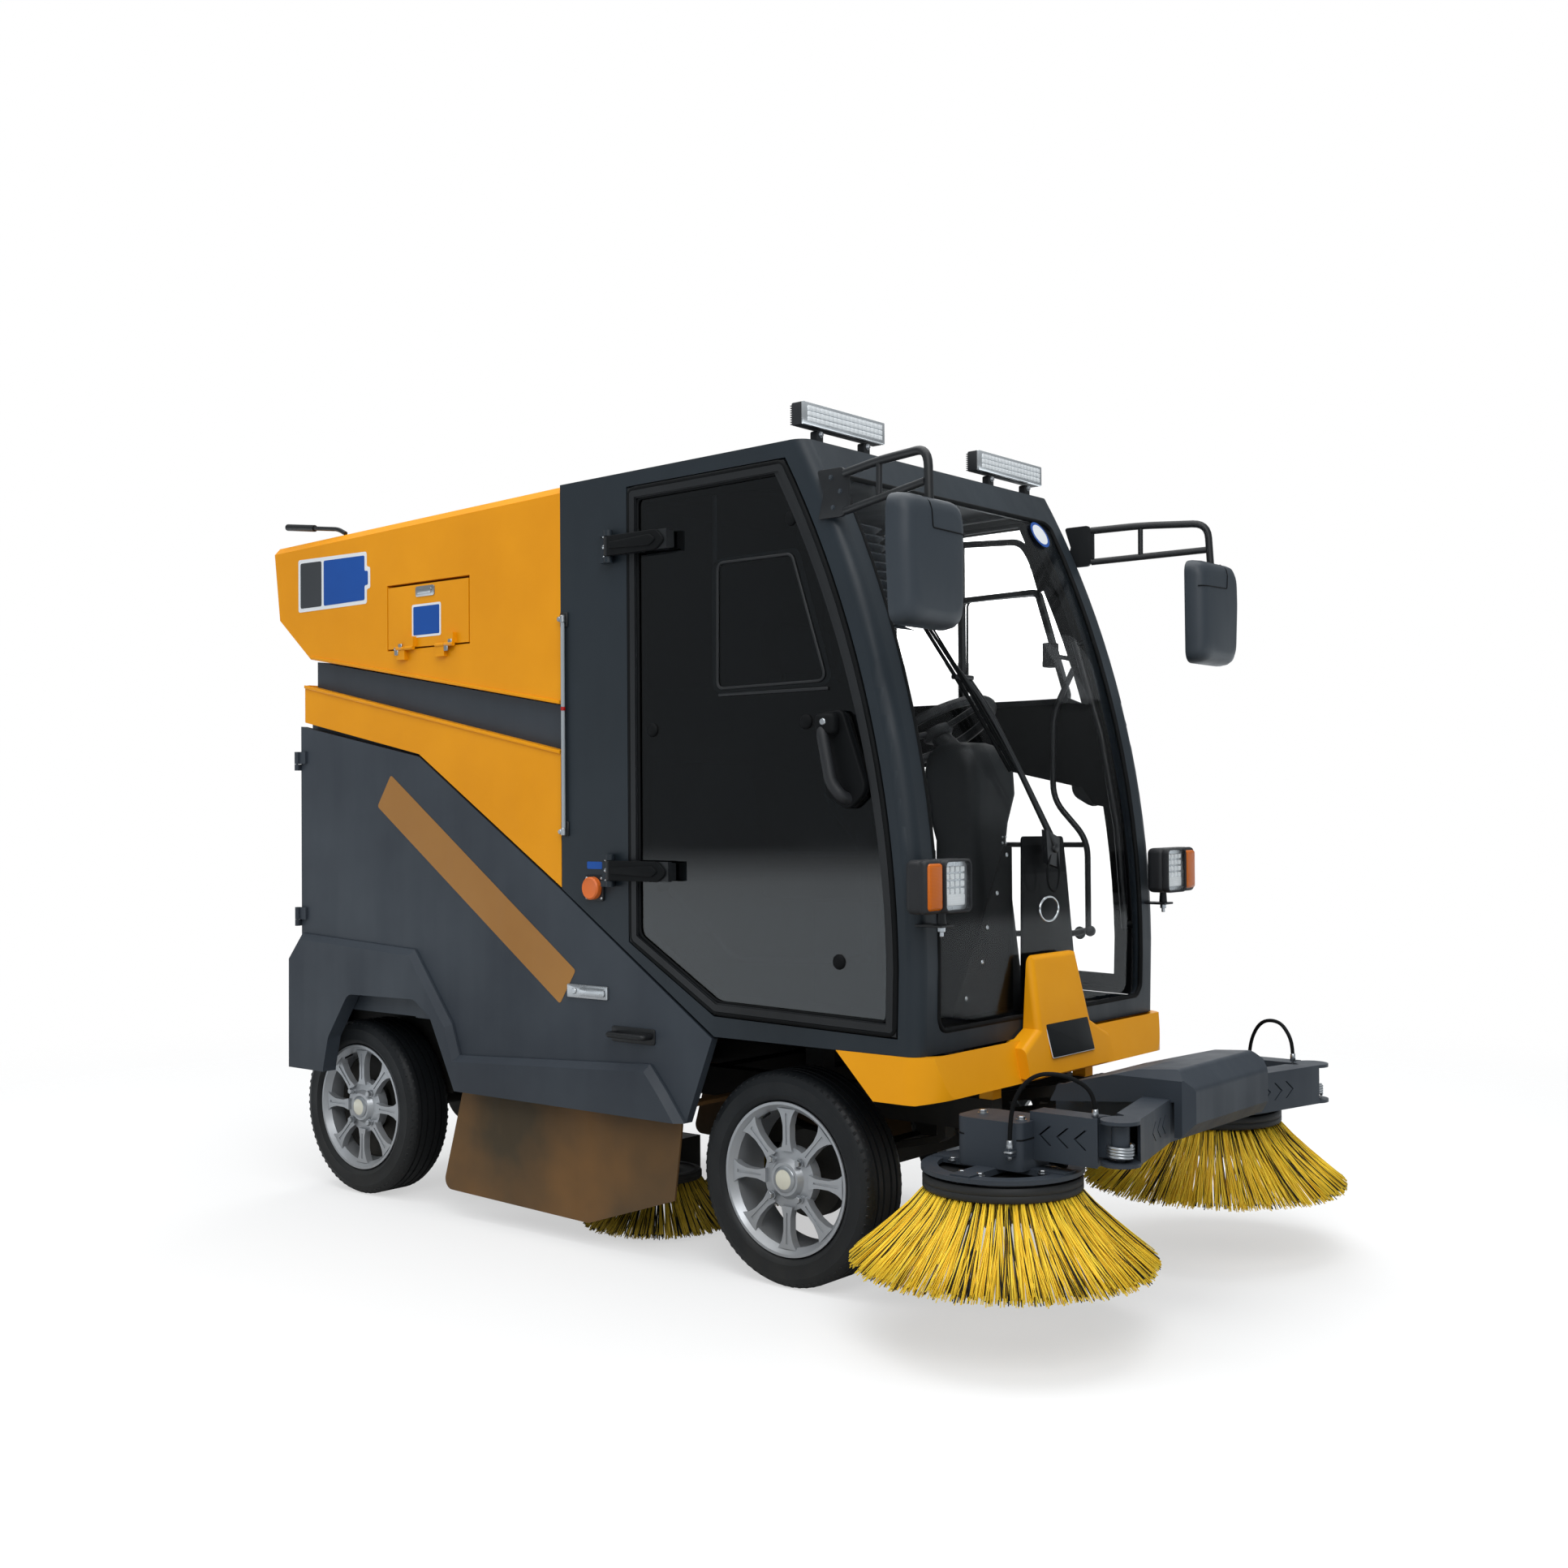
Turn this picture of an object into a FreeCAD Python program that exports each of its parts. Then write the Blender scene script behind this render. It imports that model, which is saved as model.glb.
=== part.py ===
import FreeCAD, Part

import math
import os

import Sketcher

# Compact electric street sweeper with a glazed cab, two front side brushes on a lifting carriage,
# two middle brushes and a suction mouth.
# Millimetres. X points forward, Y to the left and Z up, with the ground at zero. Stations named
# "..._x" are measured forward from the front axle line.

Vector = FreeCAD.Vector

SIZES = (
    # Running gear
    ("front_axle_x", 551.0),
    ("wheelbase", 1740.0),
    ("track_half", 463.0),
    ("tyre_radius", 273.0),
    ("tyre_half_width", 77.5),
    ("tyre_tread_half", 52.0),
    ("bead_radius", 184.0),
    ("bead_half_width", 57.0),
    ("fit_gap", 0.3),
    ("flange_radius", 195.0),
    ("flange_half_width", 70.0),
    ("barrel_radius", 173.0),
    ("spoke_root_width", 36.0),
    ("spoke_waist", 23.0),
    ("spoke_tip_width", 60.0),
    ("spoke_depth", 24.0),
    ("spoke_groove", 3.0),
    ("spoke_face", 62.0),
    ("hub_radius", 80.0),
    ("hub_boss", 46.0),
    ("hub_back", 6.0),
    ("hub_bore", 19.0),
    ("cap_radius", 33.0),
    ("lug_circle", 64.0),
    ("lug_radius", 8.0),
    ("spindle_radius", 18.0),
    ("kingpin_y", 352.0),
    ("kingpin_radius", 11.0),
    ("kingpin_boss_radius", 24.0),
    ("kingpin_boss_height", 64.0),
    ("knuckle_lug", 14.0),
    ("knuckle_gap", 1.0),
    ("brake_radius", 112.0),
    ("brake_depth", 40.0),
    ("axle_beam_depth", 60.0),
    ("axle_beam_width", 50.0),
    ("axle_tube_radius", 36.0),
    ("drive_case_radius", 105.0),
    ("spring_half_span", 300.0),
    ("spring_width", 44.0),
    ("spring_leaf", 16.0),
    # Chassis
    ("rail_y", 230.0),
    ("rail_width", 50.0),
    ("rail_bottom", 400.0),
    ("rail_depth", 80.0),
    ("rail_rear_x", -1925.0),
    ("rail_front_x", 440.0),
    ("cross_width", 60.0),
    # Cab
    ("cab_rear_x", -747.0),
    ("cab_front_x", 458.0),
    ("cab_toe_x", 453.0),
    ("cab_half_width", 588.0),
    ("cab_corner", 36.0),
    ("cab_wall", 30.0),
    ("cab_bottom", 624.0),
    ("cab_knee", 830.0),
    ("roof_front_x", 122.0),
    ("roof_front_z", 2125.0),
    ("roof_joint_z", 2113.0),
    ("front_bow", 2675.0),
    ("seam_top_z", 990.0),
    ("seam_foot_x", -184.0),
    ("screen_half_width", 505.0),
    ("screen_sill", 672.0),
    ("screen_header", 2040.0),
    ("glass_thickness", 6.0),
    ("floor_thickness", 24.0),
    ("door_rear_x", -484.0),
    ("door_top_z", 2078.0),
    ("door_margin", 62.0),
    ("door_foot_z", 668.0),
    ("door_heel_x", -183.0),
    ("door_heel_z", 681.0),
    ("door_shoulder_z", 856.0),
    ("door_gap", 5.0),
    ("door_thickness", 30.0),
    ("door_rim", 30.0),
    ("door_bow", 2610.0),
    ("hinge_x", -540.0),
    ("hinge_out", 18.0),
    ("hinge_barrel", 12.0),
    ("hinge_pin", 5.0),
    ("hinge_strap_end_x", -318.0),
    ("hinge_strap_height", 52.0),
    ("hinge_height", 88.0),
    ("hinge_upper_z", 1919.0),
    ("hinge_lower_z", 1045.0),
    # Rear body
    ("body_half_width", 588.0),
    ("body_wall", 24.0),
    ("lining_gap", 7.0),
    ("body_chamfer", 22.0),
    ("roof_rear_x", -2108.0),
    ("roof_rear_z", 2072.0),
    ("tail_notch_x", -2077.0),
    ("tail_notch_z", 1832.0),
    ("upper_rear_x", -1909.0),
    ("upper_rear_z", 1695.0),
    ("upper_front_z", 1502.0),
    ("stripe_rear_x", -1941.0),
    ("stripe_rear_top", 1613.0),
    ("stripe_front_top", 1373.0),
    ("stripe_rear_bottom", 1506.0),
    ("panel_rear_x", -1963.0),
    ("panel_rear_top", 1488.0),
    ("panel_bend_x", -1368.0),
    ("panel_bend_z", 1377.0),
    ("panel_gap", 6.5),
    ("panel_thickness", 24.0),
    ("skirt_rear_x", -2001.0),
    ("skirt_bottom", 388.0),
    ("skirt_shoulder_z", 761.0),
    ("skirt_crown_z", 817.0),
    ("flare_depth", 25.0),
    ("flare_chamfer", 18.0),
    ("base_floor", 580.0),
    ("base_wall", 20.0),
    ("bin_front_x", -1140.0),
    ("bay_front_x", -800.0),
    ("skirt_gap", 20.0),
    ("panel_hinge_x", -1973.0),
    ("panel_hinge_out", 9.0),
    ("panel_hinge_barrel", 8.0),
    ("small_pin", 3.0),
    ("rear_door_inset", 19.0),
    ("rear_door_bottom", 800.0),
    ("rear_door_top", 1440.0),
    ("hatch_rear_x", -1517.0),
    ("hatch_front_x", -1132.0),
    ("hatch_bottom", 1697.0),
    ("hatch_top", 1898.0),
    ("hatch_hinge_out", 12.0),
    ("hatch_barrel", 6.0),
    ("tail_hinge_x", -1977.0),
    ("tail_hinge_z", 1446.0),
    ("tail_hinge_y", 330.0),
    ("hinge_leaf", 40.0),
    ("flap_inset", 32.0),
    ("flap_thickness", 6.0),
    # Battery and suction
    ("battery_rear_x", -1105.0),
    ("battery_length", 290.0),
    ("battery_half_width", 500.0),
    ("battery_height", 390.0),
    ("mouth_lead", 410.0),
    ("mouth_length", 260.0),
    ("mouth_half_width", 330.0),
    ("mouth_bottom", 12.0),
    ("mouth_height", 120.0),
    ("mouth_wall", 8.0),
    ("duct_half_width", 150.0),
    ("duct_length", 130.0),
    # Brushes
    ("front_brush_x", 652.0),
    ("front_brush_y", 539.0),
    ("front_tip_radius", 354.0),
    ("front_tip_z", 178.0),
    ("front_disc_radius", 183.0),
    ("front_disc_z", 343.0),
    ("front_disc_depth", 36.0),
    ("mid_brush_lead", 1043.0),
    ("mid_brush_y", 252.0),
    ("mid_tip_radius", 220.0),
    ("mid_tip_z", 15.0),
    ("mid_disc_radius", 120.0),
    ("mid_disc_z", 140.0),
    ("mid_disc_depth", 26.0),
    ("tuft_inset", 24.0),
    ("tuft_sink", 6.0),
    ("tuft_thickness", 16.0),
    ("tuft_root_width", 20.0),
    ("shaft_radius", 16.0),
    ("shaft_gap", 0.5),
    # Lifting carriage
    ("arm_hinge_x", 943.0),
    ("arm_hinge_y", 519.0),
    ("arm_bottom", 426.0),
    ("arm_height", 100.0),
    ("arm_half_width", 30.0),
    ("fork_plate", 8.0),
    ("fork_radius", 44.0),
    ("fork_pin", 10.0),
    ("fork_clearance", 6.0),
    ("motor_half_width", 66.0),
    ("motor_rear_x", 560.0),
    ("motor_front_x", 742.0),
    ("motor_bottom", 386.0),
    ("motor_top", 506.0),
    ("guard_radius", 186.0),
    ("guard_inner", 148.0),
    ("guard_thickness", 10.0),
    ("beam_rear_x", 840.0),
    ("beam_front_x", 910.0),
    ("beam_wall", 6.0),
    ("bracket_heel", 64.0),
    ("slot_reach", 22.0),
    ("slot_point", 27.0),
    ("slot_width", 6.0),
    ("slot_pitch", 44.5),
    ("cover_half_width", 222.0),
    ("cover_rear_x", 590.0),
    ("cover_rear_low", 494.0),
    ("cover_lip_x", 611.0),
    ("cover_rear_top", 531.0),
    ("cover_ridge_x", 820.0),
    ("cover_ridge_drop", 8.0),
    ("cover_top", 594.0),
    ("cover_brow_x", 922.0),
    ("cover_nose_x", 965.0),
    ("cover_nose_top", 550.0),
    ("cover_nose_bottom", 471.0),
    ("cover_bottom", 438.0),
    ("cover_step_x", 921.0),
    ("cover_side_low", 520.0),
    ("cover_wall", 6.0),
    ("cover_chamfer", 24.0),
    ("hose_radius", 5.0),
    ("clip_reach", 14.0),
    ("clip_top", 66.0),
    ("link_rear_x", 150.0),
    ("link_front_x", 560.0),
    ("link_rear_z", 358.0),
    ("link_rise", 82.0),
    ("link_spacing", 56.0),
    ("link_eye", 21.0),
    ("link_half_depth", 14.0),
    ("link_bar", 10.0),
    ("link_outer_y", 88.0),
    ("link_pin", 9.0),
    ("rib_y", 100.0),
    ("rib_thickness", 8.0),
    # Front bumper
    ("bumper_top", 624.0),
    ("bumper_bottom", 522.0),
    ("bumper_rear_x", 212.0),
    ("bumper_heel_x", 323.0),
    ("bumper_brow_x", 480.0),
    ("bumper_toe_x", 502.0),
    ("bumper_wall", 26.0),
    ("bumper_corner", 90.0),
    ("nose_top", 830.0),
    ("nose_top_x", 472.0),
    ("nose_foot_x", 528.0),
    ("nose_top_half", 115.0),
    ("nose_foot_half", 133.0),
    ("nose_base_half", 211.0),
    ("nose_round", 18.0),
    # Lamps, mirrors and small pieces
    ("bar_inner_y", 226.0),
    ("bar_outer_y", 567.0),
    ("bar_lift", 39.0),
    ("bar_height", 58.0),
    ("bar_front_x", 112.0),
    ("bar_depth", 46.0),
    ("lamp_inner_y", 500.0),
    ("lamp_outer_y", 640.0),
    ("lamp_bottom", 965.0),
    ("lamp_top", 1090.0),
    ("lamp_back_x", 478.0),
    ("lamp_depth", 72.0),
    ("lamp_bolt_z", 936.0),
    ("mirror_x", 583.0),
    ("mirror_y", 702.0),
    ("mirror_bottom", 1617.0),
    ("mirror_top", 1905.0),
    ("mirror_width", 185.0),
    ("mirror_depth", 62.0),
    ("mirror_tube", 11.0),
    ("mirror_foot_x", 245.0),
    ("mirror_arm_top", 2018.0),
    ("mirror_arm_low", 1940.0),
    ("handle_x", 246.0),
    ("handle_z", 1320.0),
    ("handle_plate", 12.0),
    ("handle_grip", 12.0),
    ("wiper_z", 1090.0),
    ("wiper_y", 14.0),
    ("wiper_stand", 16.0),
    # Driver's place
    ("pod_rear_x", 128.0),
    ("pod_front_x", 304.0),
    ("pod_half_width", 116.0),
    ("pod_neck_z", 1150.0),
    ("pod_belly_z", 1243.0),
    ("pod_top", 1382.0),
    ("wheel_x", 140.0),
    ("wheel_z", 1440.0),
)


class Dim:
    """A size as a number, with the sheet expression that drives it."""

    def __init__(self, value, text=None):
        self.value = float(value)
        self.text = text or "({:.6g})".format(self.value)

    def _with(self, other, sign, value):
        return Dim(value, "({} {} {})".format(self.text, sign, other.text))

    def __add__(self, other):
        other = dim(other)
        return self._with(other, "+", self.value + other.value)

    def __sub__(self, other):
        other = dim(other)
        return self._with(other, "-", self.value - other.value)

    def __mul__(self, other):
        other = dim(other)
        return self._with(other, "*", self.value * other.value)

    def __truediv__(self, other):
        other = dim(other)
        return self._with(other, "/", self.value / other.value)

    def __neg__(self):
        return Dim(0) - self

    def root(self):
        return Dim(math.sqrt(self.value), "sqrt({})".format(self.text))

    def __radd__(self, other):
        return dim(other) + self

    def __rsub__(self, other):
        return dim(other) - self

    def __rmul__(self, other):
        return dim(other) * self


def dim(size):
    """Takes a plain number or a driven size and gives a driven size."""
    return size if isinstance(size, Dim) else Dim(size)


class Bow:
    """Marks the next edge of an outline as an arc that bulges to the right of its travel."""

    def __init__(self, radius):
        self.radius = dim(radius)


class Sizes:
    """The spreadsheet of driving sizes, each one reached by its alias."""

    def __init__(self, document, rows):
        self.sheet = document.addObject("Spreadsheet::Sheet", "Sizes")
        for row, (alias, value) in enumerate(rows, start=1):
            self.sheet.set("A{}".format(row), alias)
            self.sheet.set("B{}".format(row), str(value))
            self.sheet.setAlias("B{}".format(row), alias)
            setattr(self, alias, Dim(value, "Sizes.{}".format(alias)))


doc = FreeCAD.newDocument("StreetSweeper")
S = Sizes(doc, SIZES)
doc.recompute()
nodes = {}


SKIRT_HALF = S.body_half_width - S.panel_thickness - S.skirt_gap
BODY_INNER = S.body_half_width - S.panel_thickness - S.lining_gap
PANEL_HINGE_Y = S.body_half_width + S.panel_hinge_out
REAR_DOOR_HALF = SKIRT_HALF - S.rear_door_inset
HATCH_HINGE_Y = S.body_half_width + S.hatch_hinge_out
FLAP_Y = S.body_half_width - S.flap_inset
HINGE_Y = S.cab_half_width + S.hinge_out
MOUTH_REAR = S.mouth_lead - S.wheelbase
MID_BRUSH_X = S.mid_brush_lead - S.wheelbase
BAR_BOTTOM = S.roof_front_z + S.bar_lift


def ahead(x):
    """A station measured from the front axle, given from the part's origin."""
    return S.front_axle_x + x


def bind(item, **sizes):
    """Drives an object's properties; a double underscore stands for a dot in the name."""
    for name, size in sizes.items():
        item.setExpression(name.replace("__", "."), dim(size).text)


def keep(label, item):
    """Names a finished sub-part, which is then written to its own file."""
    item.Label = label
    nodes[label] = item
    return item


# Outlines

VIEWS = {
    "side": (FreeCAD.Rotation(Vector(1, 0, 0), 90), "y", Vector(0, 1, 0)),
    "front": (FreeCAD.Rotation(Vector(1, 1, 1), 120), "x", Vector(1, 0, 0)),
    "plan": (FreeCAD.Rotation(), "z", Vector(0, 0, 1)),
}
PLANES = {"side": ("XZ_Plane", -1), "front": ("YZ_Plane", 1), "plan": ("XY_Plane", 1)}


def flat(point):
    return Vector(point[0].value, point[1].value, 0)


def read_outline(outline, shift):
    """Splits an outline into its corners, their radii and the arcs between them."""
    corners, radii, bows = [], [], {}
    for item in outline:
        if isinstance(item, Bow):
            bows[len(corners) - 1] = item.radius
            continue
        corners.append((dim(item[0]) + shift if shift else dim(item[0]), dim(item[1])))
        radii.append(dim(item[2]) if len(item) > 2 else None)
    return corners, radii, bows


def corner_arc(before, here, after, radius):
    """The arc that rounds a corner, its two ends and whether it turns to the left."""
    back = (before - here).normalize()
    on = (after - here).normalize()
    half = back.getAngle(on) / 2
    reach = radius / math.tan(half)
    centre = here + (back + on).normalize() * (radius / math.sin(half))
    start, end = here + back * reach, here + on * reach
    left = (here - before).cross(after - here).z > 0
    first, last = (start, end) if left else (end, start)
    return centre, start, end, first, last, left


def angle_at(centre, point):
    return math.atan2(point.y - centre.y, point.x - centre.x)


def arc_between(centre, radius, first, last):
    circle = Part.Circle(centre, Vector(0, 0, 1), radius)
    return Part.ArcOfCircle(circle, angle_at(centre, first), angle_at(centre, last))


def bowed_edge(start, end, radius):
    """An edge of a given radius from start to end; a negative radius bulges to the left."""
    along = end - start
    left = Vector(-along.y, along.x, 0).normalize()
    depth = math.sqrt(radius * radius - along.Length ** 2 / 4)
    centre = (start + end) * 0.5 + left * math.copysign(depth, radius)
    ends = (start, end) if radius > 0 else (end, start)
    return arc_between(centre, abs(radius), *ends)


def draw(sketch, outline, shift=None):
    """Draws a closed outline with every corner and radius driven from the sheet."""
    corners, radii, bows = read_outline(outline, shift)
    count = len(corners)
    points = [flat(corner) for corner in corners]
    starts, ends, arcs = list(points), list(points), {}
    for i, radius in enumerate(radii):
        if radius:
            arc = corner_arc(points[i - 1], points[i], points[(i + 1) % count], radius.value)
            arcs[i] = arc
            ends[i], starts[i] = arc[1], arc[2]
    first = sketch.GeometryCount
    shapes, extra = [], []
    for i in range(count):
        end = ends[(i + 1) % count]
        if i in bows:
            shapes.append(bowed_edge(starts[i], end, bows[i].value))
        else:
            shapes.append(Part.LineSegment(starts[i], end))
    sketch.addGeometry(shapes, False)
    rules, sizes = [], []

    def rule(*terms, size=None):
        rules.append(Sketcher.Constraint(*terms))
        if size is not None:
            sizes.append((len(rules) - 1, size))

    def edge_end(i, last):
        turned = i in bows and bows[i].value < 0
        return (first + i, 2 if last != turned else 1)

    for i, (x, y) in enumerate(corners):
        before, after = edge_end((i - 1) % count, True), edge_end(i, False)
        if i in arcs:
            centre, _, _, begin, finish, left = arcs[i]
            arc = sketch.addGeometry(arc_between(centre, radii[i].value, begin, finish), False)
            mark = sketch.addGeometry(Part.Point(points[i]), True)
            rule("Tangent", *before, arc, 1 if left else 2)
            rule("Tangent", arc, 2 if left else 1, *after)
            rule("Radius", arc, radii[i].value, size=radii[i])
            rule("PointOnObject", mark, 1, before[0])
            rule("PointOnObject", mark, 1, after[0])
            target = (mark, 1)
        else:
            rule("Coincident", *before, *after)
            target = after
        rule("DistanceX", *target, x.value, size=x)
        rule("DistanceY", *target, y.value, size=y)
        if i in bows:
            rule("Radius", first + i, abs(bows[i].value),
                 size=bows[i] if bows[i].value > 0 else -bows[i])
    offset = sketch.ConstraintCount
    sketch.addConstraint(rules)
    for index, size in sizes:
        sketch.setExpression("Constraints[{}]".format(offset + index), size.text)


def draw_circle(sketch, x, y, radius):
    """Draws a circle whose place and radius are driven from the sheet."""
    x, y, radius = dim(x), dim(y), dim(radius)
    circle = Part.Circle(Vector(x.value, y.value, 0), Vector(0, 0, 1), radius.value)
    index = sketch.addGeometry(circle, False)
    offset = sketch.ConstraintCount
    sketch.addConstraint([
        Sketcher.Constraint("DistanceX", index, 3, x.value),
        Sketcher.Constraint("DistanceY", index, 3, y.value),
        Sketcher.Constraint("Radius", index, radius.value),
    ])
    for step, size in enumerate((x, y, radius)):
        sketch.setExpression("Constraints[{}]".format(offset + step), size.text)


# Part solids

def prism(view, start, end, *outlines):
    """Extrudes outlines drawn in a side (x, z), front (y, z) or plan (x, y) view."""
    turn, axis, direction = VIEWS[view]
    start, end = dim(start), dim(end)
    shift = None if view == "front" else S.front_axle_x
    if view == "front":
        start, end = ahead(start), ahead(end)
    sketch = doc.addObject("Sketcher::SketchObject", "Outline")
    sketch.Placement = FreeCAD.Placement(direction * start.value, turn)
    sketch.setExpression("Placement.Base." + axis, start.text)
    for outline in outlines:
        draw(sketch, outline, shift)
    solid = doc.addObject("Part::Extrusion", "Prism")
    solid.Base = sketch
    solid.DirMode = "Custom"
    solid.Dir = direction
    solid.Solid = True
    solid.FaceMakerClass = "Part::FaceMakerBullseye"
    bind(solid, LengthFwd=end - start)
    return solid


def block(x_range, y_range, z_range):
    """A box between two stations, two sides and two heights."""
    (x0, x1), (y0, y1), (z0, z1) = x_range, y_range, z_range
    box = doc.addObject("Part::Box", "Block")
    bind(box, Placement__Base__x=ahead(x0), Placement__Base__y=y0, Placement__Base__z=z0,
         Length=dim(x1) - x0, Width=dim(y1) - y0, Height=dim(z1) - z0)
    return box


TURNS = {
    "x": FreeCAD.Rotation(Vector(0, 1, 0), 90),
    "y": FreeCAD.Rotation(Vector(1, 0, 0), -90),
    "z": FreeCAD.Rotation(),
}


def rod(axis, x, y, z, radius, length):
    """A cylinder that starts at a point and runs along an axis."""
    cylinder = doc.addObject("Part::Cylinder", "Rod")
    cylinder.Placement = FreeCAD.Placement(Vector(), TURNS[axis])
    bind(cylinder, Placement__Base__x=ahead(x), Placement__Base__y=y, Placement__Base__z=z,
         Radius=radius, Height=length)
    return cylinder


def fuse(*items):
    """Joins solids into one."""
    union = doc.addObject("Part::MultiFuse", "Union")
    union.Shapes = list(items)
    union.Refine = True
    return union


def cut(base, *tools):
    """Takes the tools away from the base."""
    result = doc.addObject("Part::Cut", "Cut")
    result.Base = base
    result.Tool = tools[0] if len(tools) == 1 else fuse(*tools)
    result.Refine = True
    return result


def common(first, second):
    """What two solids share."""
    result = doc.addObject("Part::MultiCommon", "Common")
    result.Shapes = [first, second]
    result.Refine = True
    return result


def rounded_off(item, radius, chosen):
    """Rounds the edges of a solid that a test picks."""
    doc.recompute()
    edges = [(i + 1, radius.value, radius.value) for i, edge in enumerate(item.Shape.Edges)
             if chosen(edge)]
    result = doc.addObject("Part::Fillet", "Rounded")
    result.Base = item
    result.Edges = edges
    return result


def mirrored(item):
    """The same solid on the other side of the vehicle."""
    twin = doc.addObject("Part::Mirroring", "Mirror")
    twin.Source = item
    twin.Base = Vector(0, 0, 0)
    twin.Normal = Vector(0, 1, 0)
    return twin


def both_sides(item):
    """A solid and its mirror image, as one sub-part."""
    return fuse(item, mirrored(item))


def tube(points, radius, bend=None):
    """A round bar along a route, with a given bend radius or bends as open as its runs allow."""
    places = [Vector(*(dim(c).value for c in (ahead(p[0]), p[1], p[2]))) for p in points]
    edges, start, bends = [], places[0], []
    for before, here, after in zip(places, places[1:], places[2:]):
        back, on = before - here, after - here
        half = back.getAngle(on) / 2
        shorter = min(back.Length, on.Length)
        reach = bend.value / math.tan(half) if bend else 0.45 * shorter
        bends.append(reach * math.tan(half))
        back, on = back.normalize(), on.normalize()
        middle = here + (back + on).normalize() * (bends[-1] / math.sin(half) - bends[-1])
        edges.append(Part.LineSegment(start, here + back * reach).toShape())
        edges.append(Part.Arc(here + back * reach, middle, here + on * reach).toShape())
        start = here + on * reach
    edges.append(Part.LineSegment(start, places[-1]).toShape())
    path = Part.Wire(edges)
    if not bend:
        print("hose bend radii", [round(b, 1) for b in bends], "length", round(path.Length, 1))
    circle = Part.Circle(places[0], places[1] - places[0], radius.value).toShape()
    item = doc.addObject("Part::Feature", "Tube")
    item.Shape = path.makePipeShell([Part.Wire([circle])], True, False)
    return item


# Bodies built from features

def body(name):
    item = doc.addObject("PartDesign::Body", name)
    item.AllowCompound = True
    return item


def origin_part(item, role):
    return next(part for part in item.Origin.OriginFeatures if part.Role == role)


def sketch_in(item, view, start):
    """A sketch on one of the body's own planes, moved along its normal."""
    role, sign = PLANES[view]
    sketch = item.newObject("Sketcher::SketchObject", "Sketch")
    sketch.AttachmentSupport = (origin_part(item, role), [""])
    sketch.MapMode = "FlatFace"
    start = dim(start) * sign
    sketch.AttachmentOffset = FreeCAD.Placement(Vector(0, 0, start.value), FreeCAD.Rotation())
    sketch.setExpression("AttachmentOffset.Base.z", start.text)
    return sketch


def sweep(item, kind, view, start, end, outlines, shift):
    """Adds a straight pad or pocket of some outlines between two stations."""
    sketch = sketch_in(item, view, start)
    for outline in outlines:
        draw(sketch, outline, shift)
    feature = item.newObject("PartDesign::" + kind, kind)
    feature.Profile = sketch
    feature.Reversed = (view == "side") == (kind == "Pad")
    bind(feature, Length=dim(end) - start)
    return feature


def pad(item, view, start, end, *outlines, shift=None):
    return sweep(item, "Pad", view, start, end, outlines, shift)


def pocket(item, view, start, end, *outlines, shift=None):
    return sweep(item, "Pocket", view, start, end, outlines, shift)


def turned(item, outline):
    """Revolves an outline of (radius, height) corners about the body's upright axis."""
    sketch = sketch_in(item, "side", 0)
    draw(sketch, outline)
    feature = item.newObject("PartDesign::Revolution", "Revolution")
    feature.Profile = sketch
    feature.ReferenceAxis = (sketch, ["V_Axis"])
    feature.Angle = 360
    return feature


def around(item, feature, count):
    """Repeats a feature about the body's upright axis."""
    pattern = item.newObject("PartDesign::PolarPattern", "Pattern")
    pattern.Originals = [feature]
    pattern.Axis = (origin_part(item, "Z_Axis"), [""])
    pattern.Angle = 360
    pattern.Occurrences = count
    item.Tip = pattern
    return pattern


def soften(item, radius, chosen, kind="Fillet"):
    """Rounds or chamfers the edges of the body's last feature that a test picks."""
    doc.recompute()
    base = item.Tip
    names = ["Edge{}".format(i + 1) for i, edge in enumerate(base.Shape.Edges) if chosen(edge)]
    feature = item.newObject("PartDesign::" + kind, kind)
    feature.Base = (base, names)
    bind(feature, **{"Radius" if kind == "Fillet" else "Size": radius})
    item.Tip = feature
    return feature


def place(item, x, y, z, turn=FreeCAD.Rotation()):
    """Sets a body built about its own axis at its place on the vehicle."""
    item.Placement = FreeCAD.Placement(Vector(), turn)
    bind(item, Placement__Base__x=ahead(x), Placement__Base__y=y, Placement__Base__z=z)
    return item


# Wheels

SPOKES = 8
LUGS = 4
OUTWARD = {-1: FreeCAD.Rotation(Vector(1, 0, 0), 90), 1: FreeCAD.Rotation(Vector(1, 0, 0), -90)}


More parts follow.
